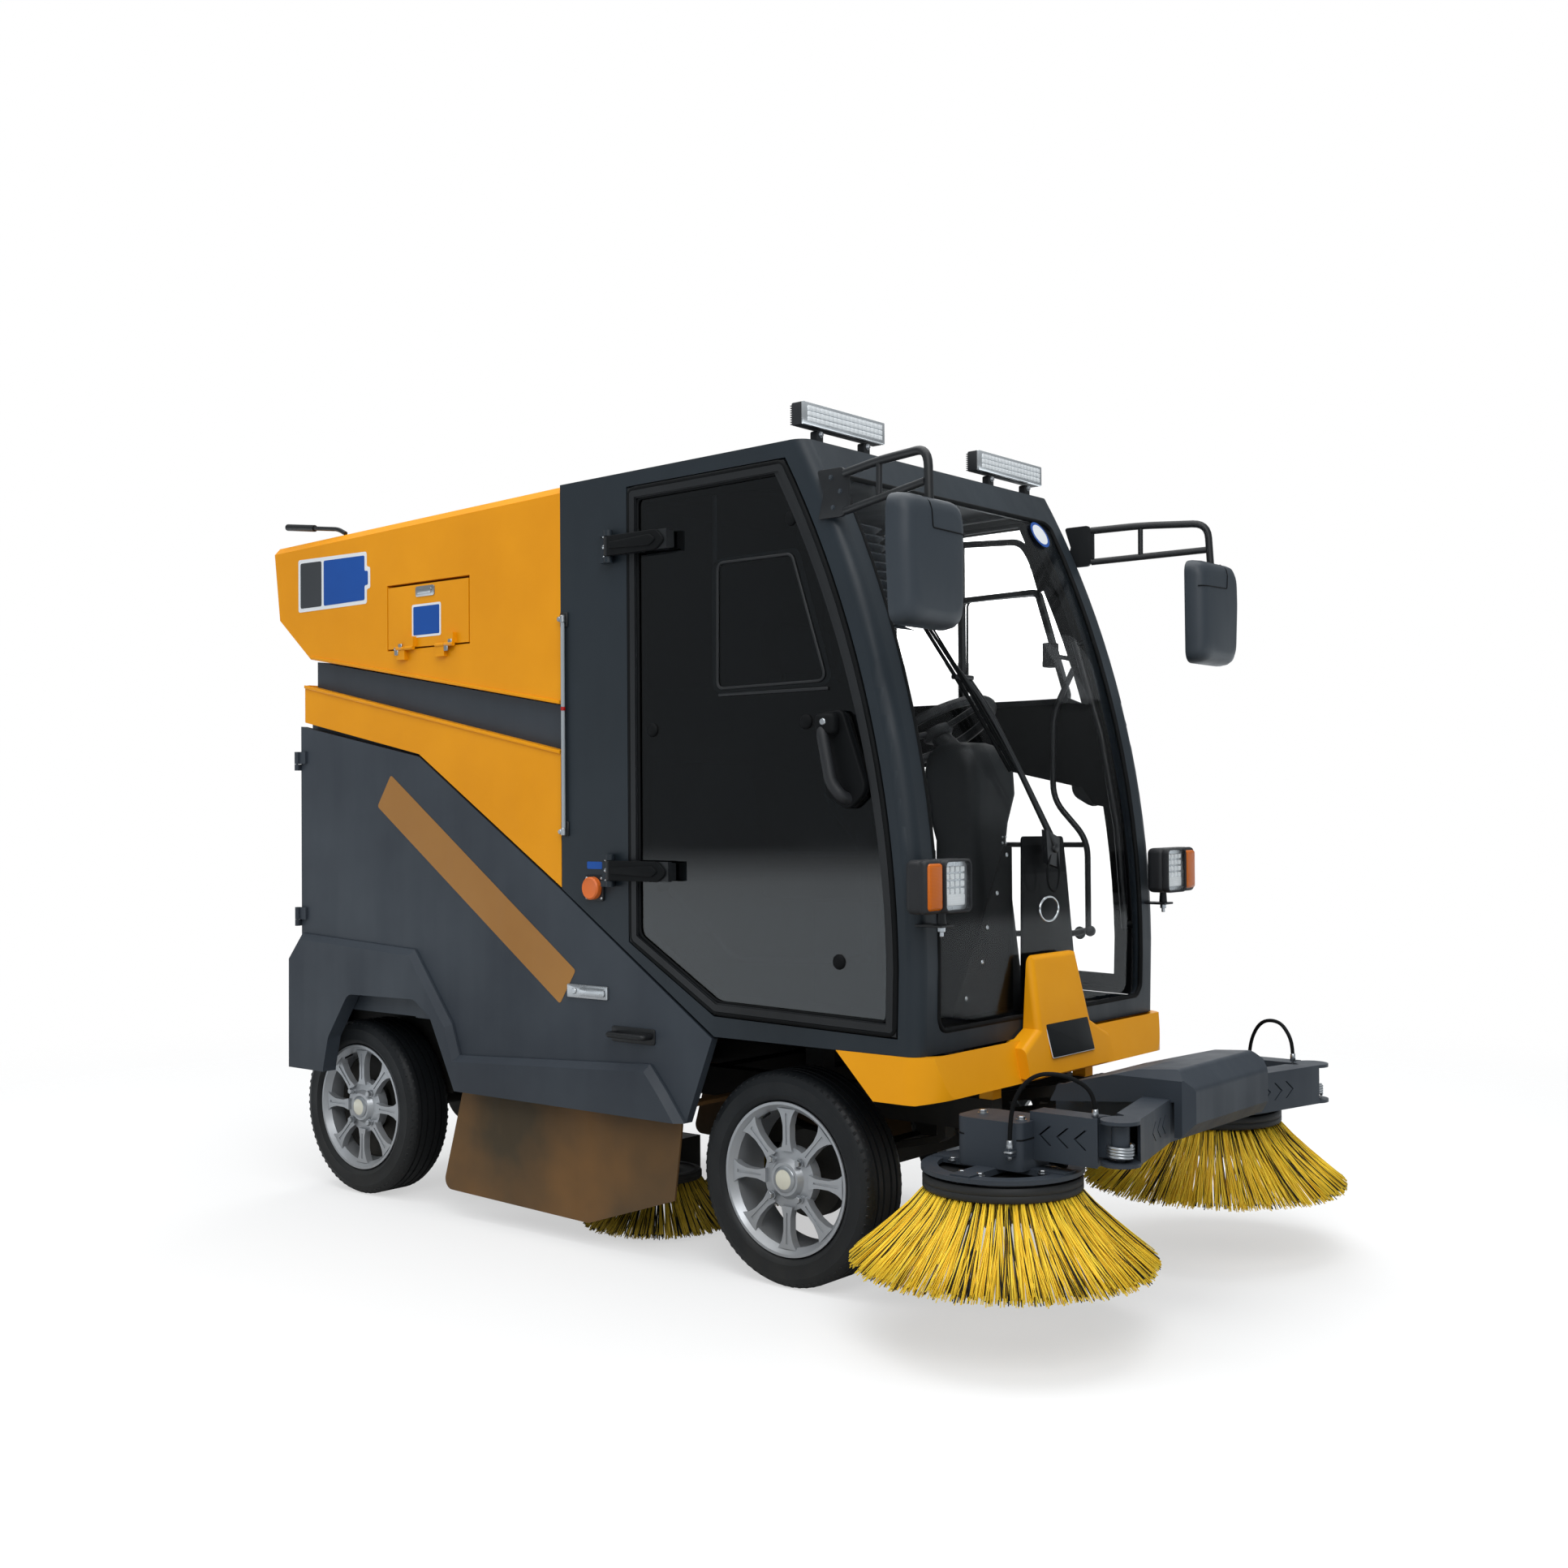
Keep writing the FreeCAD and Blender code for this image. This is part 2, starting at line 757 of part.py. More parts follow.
def make_rim(label):
    """A cast rim: barrel, eight spokes, hub and centre cap."""
    rim = body(label)
    seat, wide = S.bead_radius, S.flange_half_width
    turned(rim, [
        (S.barrel_radius, -S.bead_half_width), (S.flange_radius, -wide),
        (S.flange_radius, 5 - wide), (seat, -S.bead_half_width), (seat, S.bead_half_width),
        (S.flange_radius, wide - 5), (S.flange_radius, wide), (S.flange_radius - 7, wide),
        (S.barrel_radius, S.bead_half_width - 6),
    ])
    face = S.spoke_face
    turned(rim, [
        (S.hub_bore, S.hub_back), (S.hub_boss, S.hub_back), (S.hub_radius, S.hub_back + 14),
        (S.hub_radius, face - 12), (S.hub_boss + 6, face - 8), (S.hub_boss - 4, face + 6),
        (S.hub_bore, face + 6),
    ])
    turned(rim, [
        (0, face - 6), (S.cap_radius, face - 6), (S.cap_radius, face + 8),
        (S.cap_radius - 4, face + 11), (0, face + 11),
    ])
    root, waist, tip = S.spoke_root_width / 2, S.spoke_waist / 2, S.spoke_tip_width / 2
    start, end = S.hub_radius - 10, S.barrel_radius + 4
    reach, bend = end - start, 40
    edge = [(start, root), (start + reach * 0.25, waist, bend), (start + reach * 0.6, waist, bend),
            (start + reach * 0.85, waist * 0.45 + tip * 0.45, bend), (end, tip)]
    under = [(r, -half, *rest) for r, half, *rest in edge]
    spoke = pad(rim, "plan", face - S.spoke_depth, face - 2, under + edge[::-1])
    around(rim, spoke, SPOKES)
    groove = pocket(rim, "plan", face - 2 - S.spoke_groove, face, [
        (start + 16, -2), (end - 12, -4), (end - 12, 4), (start + 16, 2),
    ])
    around(rim, groove, SPOKES)
    sketch = sketch_in(rim, "plan", face - 12)
    draw_circle(sketch, S.lug_circle * math.cos(math.pi / LUGS),
                S.lug_circle * math.sin(math.pi / LUGS), S.lug_radius)
    lug = rim.newObject("PartDesign::Pad", "Lug")
    lug.Profile = sketch
    bind(lug, Length=12)
    around(rim, lug, LUGS)
    return rim


def make_tyre(label):
    """A road tyre as one turned ring on the rim's bead seats."""
    tyre = body(label)
    bead = S.bead_radius + S.fit_gap
    lip = S.flange_radius + S.fit_gap
    foot = S.bead_half_width - S.fit_gap
    wall, tread, crown = S.tyre_half_width, S.tyre_tread_half, S.tyre_radius
    turned(tyre, [
        (bead, -foot), (lip + 2, -foot), (lip + 8, 3 - wall), (lip + 38, -wall),
        (crown - 16, 4 - wall), (crown - 4, -tread - 12), (crown, -tread), (crown, tread),
        (crown - 4, tread + 12), (crown - 16, wall - 4), (lip + 38, wall), (lip + 8, wall - 3),
        (lip + 2, foot), (bead, foot),
    ])
    return tyre


def make_wheels():
    stations = {"front": 0, "rear": -S.wheelbase}
    sides = {"right": -1, "left": 1}
    for end, x in stations.items():
        for name, side in sides.items():
            spot = (x, S.track_half * side, S.tyre_radius, OUTWARD[side])
            keep("rim_{}_{}".format(end, name), place(make_rim("Rim"), *spot))
            keep("tyre_{}_{}".format(end, name), place(make_tyre("Tyre"), *spot))


# Axles and knuckles

def leaf_spring(x):
    """A leaf spring on both sides, from its hangers under the rail down to the axle."""
    span, leaf, low = S.spring_half_span, S.spring_leaf, S.tyre_radius + S.axle_beam_depth / 2
    half = S.spring_width / 2
    y = S.rail_y
    top = S.rail_bottom - S.fit_gap
    spring = prism("side", y - half, y + half, [
        (x - span, top - 30), (x - span + 20, top - 44), (x - 60, low), (x + 60, low),
        (x + span - 20, top - 44), (x + span, top - 30), (x + span, top),
        (x + span - 24, top), (x + span - 24, top - 26), (x + 60, low + leaf),
        (x - 60, low + leaf), (x - span + 24, top - 26), (x - span + 24, top), (x - span, top),
    ])
    return both_sides(spring)


def make_front_axle():
    half, depth = S.axle_beam_width / 2, S.axle_beam_depth / 2
    boss = S.kingpin_boss_height / 2
    beam = block((-half, half), (-S.kingpin_y, S.kingpin_y),
                 (S.tyre_radius - depth, S.tyre_radius + depth))
    eye = rod("z", 0, S.kingpin_y, S.tyre_radius - boss, S.kingpin_boss_radius,
              S.kingpin_boss_height)
    bore = rod("z", 0, S.kingpin_y, S.tyre_radius - boss - 1, S.kingpin_radius + S.shaft_gap,
               S.kingpin_boss_height + 2)
    clear = rod("z", 0, S.kingpin_y, S.tyre_radius - boss, S.kingpin_boss_radius + 8,
                S.kingpin_boss_height)
    trimmed = cut(beam, both_sides(clear))
    neck = block((-S.kingpin_boss_radius + 6, S.kingpin_boss_radius - 6),
                 (S.kingpin_y - 60, S.kingpin_y), (S.tyre_radius - depth, S.tyre_radius + depth))
    ends = cut(fuse(eye, neck), bore)
    keep("front_axle", fuse(trimmed, both_sides(ends), leaf_spring(dim(0))))


def make_knuckle():
    """Right-hand knuckle: fork, kingpin, brake drum back and spindle."""
    z, boss = S.tyre_radius, S.kingpin_boss_height / 2
    lug, gap = S.knuckle_lug, S.knuckle_gap
    y = -S.kingpin_y
    pin = rod("z", 0, y, z - boss - gap - lug, S.kingpin_radius,
              S.kingpin_boss_height + 2 * gap + 2 * lug)
    back = -S.kingpin_y - S.kingpin_boss_radius - 6
    half = S.kingpin_boss_radius - 4
    upper = block((-half, half), (back, y + 14), (z + boss + gap, z + boss + gap + lug))
    lower = block((-half, half), (back, y + 14), (z - boss - gap - lug, z - boss - gap))
    drum_back = -S.track_half - S.hub_back
    web = block((-half, half), (back - 14, back), (z - boss - gap - lug, z + boss + gap + lug))
    brake_start = back - 14 - S.brake_depth
    brake = rod("y", 0, brake_start, z, S.brake_radius, S.brake_depth)
    spindle_end = drum_back - S.spoke_face + 14
    spindle = rod("y", 0, spindle_end, z, S.spindle_radius, brake_start - spindle_end)
    arm = block((-130, -half + 2), (y - 12, y + 14), (z - boss - gap - lug, z - boss - gap))
    return fuse(pin, upper, lower, web, brake, spindle, arm)


def make_rear_axle():
    z, x = S.tyre_radius, -S.wheelbase
    inner = S.track_half - S.hub_back - 52
    tube_rod = rod("y", x, -inner, z, S.axle_tube_radius, inner * 2)
    case = rod("y", x, -100, z, S.drive_case_radius, 200)
    motor = rod("x", x + 60, 0, z, S.drive_case_radius - 25, 230)
    brake = rod("y", x, inner - 14, z, S.brake_radius, S.brake_depth)
    end = rod("y", x, inner - 14, z, S.spindle_radius, S.track_half + S.spoke_face - 14 - inner + 14)
    keep("rear_axle", fuse(tube_rod, case, motor, both_sides(fuse(brake, end)), leaf_spring(x)))


# Chassis

def make_chassis():
    half = S.rail_width / 2
    top = S.rail_bottom + S.rail_depth
    rail = block((S.rail_rear_x, S.rail_front_x), (S.rail_y - half, S.rail_y + half),
                 (S.rail_bottom, top))
    members = []
    for x in (S.rail_rear_x, MOUTH_REAR - 80, MOUTH_REAR + 370, MID_BRUSH_X + 137, dim(-300)):
        members.append(block((x, x + S.cross_width), (-S.rail_y, S.rail_y),
                             (S.rail_bottom + 10, top - 10)))
    for x in (dim(-150), dim(300)):
        post = block((x, x + S.cross_width), (S.rail_y - half, S.rail_y + half),
                     (top, S.cab_bottom - S.fit_gap))
        members.append(both_sides(post))
    for x in (dim(-1900), dim(-1400), dim(-860)):
        bed = block((x, x + S.cross_width), (-330, 330), (top, S.base_floor - S.fit_gap))
        members.append(bed)
    outer = S.rib_y + S.rib_thickness
    cheek = prism("side", S.rib_y, outer, [
        (S.link_rear_x - 60, S.rail_bottom + 40), (S.link_rear_x - 30, S.link_rear_z - 22, 12),
        (S.link_rear_x + 24, S.link_rear_z - 22, 12), (S.link_rear_x + 30, top - 10),
        (S.link_rear_x - 60, top - 10),
    ])
    bridge = block((S.link_rear_x - 60, S.link_rear_x - 30), (-S.rail_y, S.rail_y),
                   (S.rail_bottom + 40, top - 10))
    pins = [rod("y", S.link_rear_x, -outer, z, S.link_pin, outer * 2)
            for z in (S.link_rear_z, S.link_rear_z + S.link_spacing)]
    hanger = fuse(
        block((MID_BRUSH_X - 45, MID_BRUSH_X + 45), (S.mid_brush_y - 50, S.mid_brush_y + 30),
              (S.mid_disc_z + 150, S.rail_bottom)),
        rod("z", MID_BRUSH_X, S.mid_brush_y, S.mid_disc_z + S.mid_disc_depth + 8, 52, 130),
        rod("z", MID_BRUSH_X, S.mid_brush_y, S.mid_disc_z + 8, S.shaft_radius - S.shaft_gap, 60),
    )
    pads = [both_sides(block((x - 35, x + 35), (S.rail_y - half, S.rail_y + half),
                             (S.rail_bottom - 12, S.rail_bottom + 1)))
            for x in (dim(-420), dim(-1360))]
    keep("chassis_frame", fuse(both_sides(rail), *members, both_sides(cheek), bridge, *pins,
                               both_sides(hanger), *pads))


# Cab

def cab_outline(inset, sink):
    """Side outline of the cab, drawn in by a wall."""
    return [
        (S.seam_foot_x, S.cab_bottom + sink), (S.cab_toe_x - inset, S.cab_bottom + sink),
        (S.cab_front_x - inset, S.cab_knee), Bow(S.front_bow),
        (S.roof_front_x - inset, S.roof_front_z - inset),
        (S.cab_rear_x + inset, S.roof_joint_z - inset),
        (S.cab_rear_x + inset, S.seam_top_z + sink),
    ]


def door_outline(grow):
    """Side outline of a door, grown by a gap for its opening or drawn in by a rim."""
    return [
        (S.door_heel_x - grow * 0.3, S.door_heel_z - grow),
        (S.cab_toe_x - S.door_margin + grow, S.door_foot_z - grow),
        (S.cab_front_x - S.door_margin + grow, S.cab_knee), Bow(S.door_bow),
        (S.roof_front_x - S.door_margin + grow, S.door_top_z + grow),
        (S.door_rear_x - grow, S.door_top_z - 6 + grow),
        (S.door_rear_x - grow, S.door_shoulder_z - grow * 0.5),
    ]


def screen_outline(grow):
    """Front outline of the windscreen opening."""
    half, low, high = S.screen_half_width + grow, S.screen_sill - grow, S.screen_header + grow
    return [(-half, low, 30), (half, low, 30), (half, high, 40), (-half, high, 40)]


def front_at(z, inset=0):
    """The station of the cab's bowed front at a height, or of its inner face."""
    top_z, run = S.roof_front_z - inset, S.roof_front_x - S.cab_front_x
    rise = top_z - S.cab_knee
    chord = rise * rise + run * run
    depth = (S.front_bow * S.front_bow / chord - 0.25).root()
    centre_x = (S.roof_front_x + S.cab_front_x) / 2 - inset - rise * depth
    centre_z = (top_z + S.cab_knee) / 2 + run * depth
    up = z - centre_z
    return centre_x + (S.front_bow * S.front_bow - up * up).root()


def behind_front(z, y, back):
    """A point at a distance behind the cab's inner front, measured square to it."""
    here = front_at(z, S.cab_wall).value
    square = Vector(1, 0, here - front_at(z + 1, S.cab_wall).value).normalize()
    return Vector(here, y.value, z) - square * back


def make_cab():
    w = S.cab_half_width
    shell = body("CabShell")
    pad(shell, "side", -w, w, cab_outline(dim(0), dim(0)), shift=S.front_axle_x)
    limit = S.front_axle_x.value + S.roof_front_x.value + 5

    def front_corner(edge):
        box = edge.BoundBox
        return (box.YLength < 1 and abs(abs(box.YMin) - w.value) < 1 and box.XMin > limit - 10
                and box.ZLength > 100)

    soften(shell, S.cab_corner, front_corner)
    wall = S.cab_wall
    inside = prism("side", wall - w, w - wall, cab_outline(wall, -60))
    doorway = prism("side", -w - 10, w + 10, door_outline(S.door_gap))
    screen = prism("front", dim(-40), S.cab_front_x + 60, screen_outline(dim(0)))
    frame = cut(shell, inside, doorway, screen)
    lugs = []
    for z in (S.hinge_upper_z, S.hinge_lower_z):
        z0, z1 = z - S.hinge_height / 2, z + S.hinge_height / 2
        pad_y = (w, HINGE_Y)
        base = block((S.hinge_x - 30, S.hinge_x - 15), pad_y, (z0, z1))
        gap = S.hinge_strap_height / 2 + 2
        ears = [
            fuse(rod("z", S.hinge_x, HINGE_Y, low, S.hinge_barrel, high - low),
                 block((S.hinge_x - 30, S.hinge_x), (w + 4, HINGE_Y + 6), (low, high)))
            for low, high in ((z0, z - gap), (z + gap, z1))
        ]
        pin = rod("z", S.hinge_x, HINGE_Y, z0, S.hinge_pin, S.hinge_height)
        lugs.append(both_sides(fuse(base, *ears, pin)))
    keep("cab_frame", fuse(frame, *lugs))

    under, thick = S.cab_bottom, S.floor_thickness
    inner = w - wall - S.fit_gap
    floor = prism("side", -inner, inner, [
        (S.seam_foot_x, under), (S.cab_toe_x - wall - 1, under),
        (S.cab_toe_x - wall - 1, under + thick), (S.seam_foot_x + 8, under + thick),
        (S.cab_rear_x + wall + 1, S.seam_top_z + 4), (S.cab_rear_x + wall + 1, S.seam_top_z - 22),
    ])
    keep("cab_floor", floor)

    glass, fit = S.glass_thickness, S.fit_gap
    slab = prism("side", -S.screen_half_width, S.screen_half_width, [
        (S.cab_toe_x - 26, S.screen_sill), (S.cab_toe_x - 26 + glass, S.screen_sill),
        (S.cab_front_x - 26 + glass, S.cab_knee), Bow(S.front_bow),
        (S.roof_front_x + glass, S.roof_front_z - 18), (S.roof_front_x, S.roof_front_z - 18),
        Bow(-S.front_bow), (S.cab_front_x - 26, S.cab_knee),
    ])
    outline = prism("front", 0, S.cab_front_x, screen_outline(-fit))
    keep("windscreen", common(slab, outline))


def make_door():
    """Right-hand door: rim, two strap hinges, outer handle and inner rail; and its glass."""
    w, thick = S.cab_half_width, S.door_thickness
    rim = prism("side", -w, thick - w, door_outline(dim(0)), door_outline(-S.door_rim))
    pieces = [rim]
    strap_y = HINGE_Y
    for z in (S.hinge_upper_z, S.hinge_lower_z):
        low, high = z - S.hinge_strap_height / 2, z + S.hinge_strap_height / 2
        strap = fuse(
            block((S.hinge_x, S.hinge_strap_end_x), (-strap_y - 8, 6 - strap_y), (low, high)),
            rod("z", S.hinge_x, -strap_y, low, S.hinge_barrel, S.hinge_strap_height),
            block((S.door_rear_x + 2, S.hinge_strap_end_x), (-strap_y, 4 - w), (low + 4, high - 4)),
        )
        bore = rod("z", S.hinge_x, -strap_y, low - 1, S.hinge_pin + S.fit_gap,
                   S.hinge_strap_height + 2)
        pieces.append(cut(strap, bore))
    x, z = S.handle_x, S.handle_z
    plate = prism("side", -w - S.handle_plate, 10 - w, [
        (x - 70, z + 120, 16), (x, z + 126, 22), (x + 72, z - 70, 40), (x + 16, z - 116, 30),
        (x - 50, z - 80, 40),
    ])
    grip = tube([(x - 42, -w - 8, z + 90), (x - 40, -w - 38, z + 76), (x - 10, -w - 42, z - 50),
                 (x + 12, -w - 30, z - 82), (x + 16, -w - 8, z - 88)], S.handle_grip, dim(12))
    pieces.append(fuse(plate, grip))
    door = fuse(*pieces)
    pane = prism("side", 10 - w, 10 + S.glass_thickness - w,
                 door_outline(-S.door_rim - S.fit_gap))
    return door, pane


def make_interior():
    floor_top = S.cab_bottom + S.floor_thickness + S.fit_gap
    seat_base = block((-160, 60), (-210, 210), (floor_top, 960))
    cushion = block((-350, 90), (-235, 235), (960, 1050))
    back = prism("side", -225, 225, [
        (-300, 1050), (-350, 1050), (-430, 1640, 20), (-370, 1650, 20), (-220, 1050),
    ])
    keep("seat", fuse(seat_base, cushion, back))
    rear, front, half = S.pod_rear_x, S.pod_front_x, S.pod_half_width
    tower = prism("side", 20 - half, half - 20, [
        (rear + 22, floor_top), (front + 96, floor_top), (front + 96, floor_top + 60),
        (front - 10, S.pod_neck_z - 150, 60), (front - 20, S.pod_neck_z + 30),
        (rear + 22, S.pod_neck_z + 30),
    ])
    pod = common(
        prism("side", -half, half, [
            (rear + 22, S.pod_neck_z), (front - 22, S.pod_neck_z, 20), (front, S.pod_belly_z, 60),
            (front - 20, S.pod_top - 36, 30), (front - 70, S.pod_top, 30),
            (rear + 60, S.pod_top, 50), (rear, S.pod_top - 70, 40), (rear, S.pod_belly_z, 60),
        ]),
        prism("front", rear - 10, front + 10, [
            (24 - half, S.pod_neck_z), (half - 24, S.pod_neck_z, 20), (half, S.pod_belly_z, 60),
            (half - 8, S.pod_top - 50, 50), (half - 60, S.pod_top, 40), (60 - half, S.pod_top, 40),
            (8 - half, S.pod_top - 50, 50), (-half, S.pod_belly_z, 60),
        ]))
    foot = Vector(S.wheel_x.value + 46, 0, S.pod_top.value - 20)
    head = Vector(S.wheel_x.value, 0, S.wheel_z.value)
    lean = (head - foot).normalize()
    column = tube([tuple(foot), tuple(head)], dim(24), dim(1))
    keep("dash_console", fuse(tower, pod, column))
    wheel = body("SteeringWheel")
    turned(wheel, [(153, -11), (175, -11), (175, 11), (153, 11)])
    turned(wheel, [(0, -22), (34, -22), (34, 10), (0, 10)])
    spoke = pad(wheel, "plan", -8, 4, [(28, -14), (156, -10), (156, 10), (28, 14)])
    around(wheel, spoke, 3)
    spot = head + lean * (22 + S.fit_gap.value)
    keep("steering_wheel", place(wheel, spot.x, 0, spot.z,
                                 FreeCAD.Rotation(Vector(0, 0, 1), lean)))
    y = S.cab_half_width - S.cab_wall - 30
    rail = tube([behind_front(z, y, 34) for z in (860, 1150, 1420, 1700)], dim(12), dim(120))
    feet = [tube([behind_front(z, y, 34), behind_front(z, y, S.fit_gap.value)], dim(10), dim(1))
            for z in (872, 1688)]
    keep("grab_rails", both_sides(fuse(rail, *feet)))


# Rear body

PANEL_HINGES = (840, 1340)


def hull_outline(inset):
    """Side outline of the upper shell."""
    return [
        (S.cab_rear_x - S.fit_gap, S.upper_front_z), (S.cab_rear_x - S.fit_gap, S.roof_joint_z - inset),
        (S.roof_rear_x + inset, S.roof_rear_z - inset), (S.tail_notch_x + inset, S.tail_notch_z),
        (S.upper_rear_x + inset, S.upper_rear_z),
    ]


def make_body():
    w, wall = S.body_half_width, S.body_wall
    shell = body("UpperShell")
    pad(shell, "side", -w, w, hull_outline(dim(0)), shift=S.front_axle_x)

    def top_edge(edge):
        box = edge.BoundBox
        return box.YLength < 1 and box.ZMin > S.roof_rear_z.value - 2

    soften(shell, S.body_chamfer, top_edge, kind="Chamfer")
    inside = prism("side", wall - w, w - wall, [
        (S.cab_rear_x + 40, S.upper_front_z - 60), (S.cab_rear_x + 40, S.roof_joint_z - wall),
        (S.roof_rear_x + wall, S.roof_rear_z - wall), (S.tail_notch_x + wall, S.tail_notch_z),
        (S.upper_rear_x + wall, S.upper_rear_z), (S.upper_rear_x + wall, S.upper_rear_z - 60),
    ])
    gap = S.door_gap
    hatch_hole = block((S.hatch_rear_x, S.hatch_front_x), (-w - 5, wall - w + 5),
                       (S.hatch_bottom, S.hatch_top))
    hatch = block((S.hatch_rear_x + gap, S.hatch_front_x - gap), (-w, wall - w - 4),
                  (S.hatch_bottom + gap, S.hatch_top - gap - 3))
    fixed, moving, bores = [], [], []
    axis_z = S.hatch_bottom + gap / 2
    for x in (S.hatch_rear_x + 60, S.hatch_front_x - 60 - S.hinge_leaf * 2):
        middle, end = x + S.hinge_leaf, x + S.hinge_leaf * 2
        fixed += [
            rod("x", x, -HATCH_HINGE_Y, axis_z, S.hatch_barrel, S.hinge_leaf - 1),
            rod("x", x, -HATCH_HINGE_Y, axis_z, S.small_pin, S.hinge_leaf * 2),
            block((x, middle - 1), (-HATCH_HINGE_Y - 2, 1 - w), (axis_z - 34, axis_z - 4)),
        ]
        moving += [
            rod("x", middle + 1, -HATCH_HINGE_Y, axis_z, S.hatch_barrel, S.hinge_leaf - 1),
            block((middle + 1, end), (-HATCH_HINGE_Y - 2, 1 - w), (axis_z + 4, axis_z + 34)),
        ]
        bores.append(rod("x", middle, -HATCH_HINGE_Y, axis_z, S.small_pin + S.fit_gap,
                         S.hinge_leaf + 2))
    keep("body_upper", fuse(cut(shell, inside, hatch_hole), *fixed))
    keep("water_hatch", cut(fuse(hatch, *moving), *bores))

    stripe_front = S.cab_rear_x - 2
    side = prism("side", BODY_INNER, w, [
        (S.stripe_rear_x, S.stripe_rear_bottom), (S.panel_rear_x + 22, S.panel_rear_top + 6),
        (S.panel_bend_x, S.panel_bend_z + 2), (stripe_front, S.seam_top_z + 4),
        (stripe_front, S.stripe_front_top), (S.stripe_rear_x, S.stripe_rear_top),
    ])
    rear = block((S.stripe_rear_x, S.stripe_rear_x + wall), (-w, w),
                 (S.stripe_rear_bottom, S.stripe_rear_top))
    keep("body_stripe", fuse(both_sides(side), rear))

    inner = BODY_INNER - S.fit_gap
    base_rear = S.stripe_rear_x + wall + S.fit_gap
    front = S.cab_rear_x - 8
    core = prism("side", -inner, inner, [
        (base_rear, S.base_floor), (front, S.base_floor), (front, S.upper_front_z - 4),
        (base_rear, S.upper_rear_z - 6),
    ])
    posts = block((S.panel_rear_x, base_rear + 1), (-SKIRT_HALF, SKIRT_HALF),
                  (S.skirt_shoulder_z, S.stripe_rear_bottom - 4))
    skirt = prism("side", -SKIRT_HALF, SKIRT_HALF, [
        (S.skirt_rear_x, S.base_floor), (base_rear, S.base_floor),
        (base_rear, S.skirt_crown_z - 20), (S.panel_rear_x - 4, S.skirt_crown_z - 20),
        (S.skirt_rear_x, S.skirt_shoulder_z),
    ])
    tail = block((S.skirt_rear_x, S.skirt_rear_x + wall), (-365, 365),
                 (S.skirt_bottom, S.base_floor + 1))
    t = S.base_wall
    top_inside = S.upper_front_z - 22
    bin_space = block((base_rear + t, S.bin_front_x), (t - inner, inner - t),
                      (S.base_floor + t, top_inside))
    doorway = block((S.panel_rear_x - 20, base_rear + t + 5), (-REAR_DOOR_HALF, REAR_DOOR_HALF),
                    (S.rear_door_bottom, S.rear_door_top))
    bay = block((S.bin_front_x + t, S.bay_front_x), (-inner - 5, inner + 5),
                (S.base_floor + t, 1300))
    mouth = block((MOUTH_REAR + 40, MOUTH_REAR + 40 + S.duct_length),
                  (-S.duct_half_width, S.duct_half_width),
                  (S.base_floor - 5, S.base_floor + t + 5))
    arch = block((-S.wheelbase - S.tyre_radius - 60, -S.wheelbase + S.tyre_radius + 40),
                 (S.track_half - S.tyre_half_width - 15, w + 5),
                 (S.base_floor - 60, S.base_floor + 4))
    door = block((S.panel_rear_x, S.panel_rear_x + wall),
                 (gap - REAR_DOOR_HALF, REAR_DOOR_HALF - gap),
                 (S.rear_door_bottom + gap, S.rear_door_top - gap))
    x, y, z, leaf = S.tail_hinge_x, S.tail_hinge_y, S.tail_hinge_z, S.hinge_leaf
    barrel, face = S.panel_hinge_barrel, S.panel_rear_x + 1
    fixed = fuse(
        rod("y", x, y, z, barrel, leaf), rod("y", x, y - leaf, z, S.small_pin, leaf * 2),
        block((x - 2, face), (y, y + leaf), (z + 4, z + leaf)),
    )
    moving = fuse(
        rod("y", x, y - leaf - 1, z, barrel, leaf - 1),
        block((x - 2, face), (y - leaf - 1, y - 2), (z - leaf, S.rear_door_top - gap)),
        block((x - 2, x + 6), (y - leaf - 1, y - 2), (z - leaf, z - 4)),
    )
    bore = rod("y", x, y - leaf - 2, z, S.small_pin + S.fit_gap, leaf + 1)
    keep("rear_door", cut(fuse(door, both_sides(moving)), both_sides(bore)))
    lugs = []
    for low in PANEL_HINGES:
        x, y = S.panel_hinge_x, PANEL_HINGE_Y
        lugs += [
            rod("z", x, y, low, barrel, leaf / 2), rod("z", x, y, low, S.small_pin, leaf * 1.5),
            block((x - 2, x + 4), (SKIRT_HALF - 18, y), (low, low + leaf / 2)),
            block((x + 3, face), (SKIRT_HALF - 18, SKIRT_HALF), (low, low + leaf / 2)),
        ]
    keep("body_base", fuse(cut(fuse(core, posts, skirt, tail), bin_space, doorway, bay, mouth,
                               both_sides(arch)), both_sides(fuse(*lugs)), both_sides(fixed)))
    battery_floor = S.base_floor + t + S.fit_gap
    keep("battery_pack", block(
        (S.battery_rear_x, S.battery_rear_x + S.battery_length),
        (-S.battery_half_width, S.battery_half_width),
        (battery_floor, battery_floor + S.battery_height)))


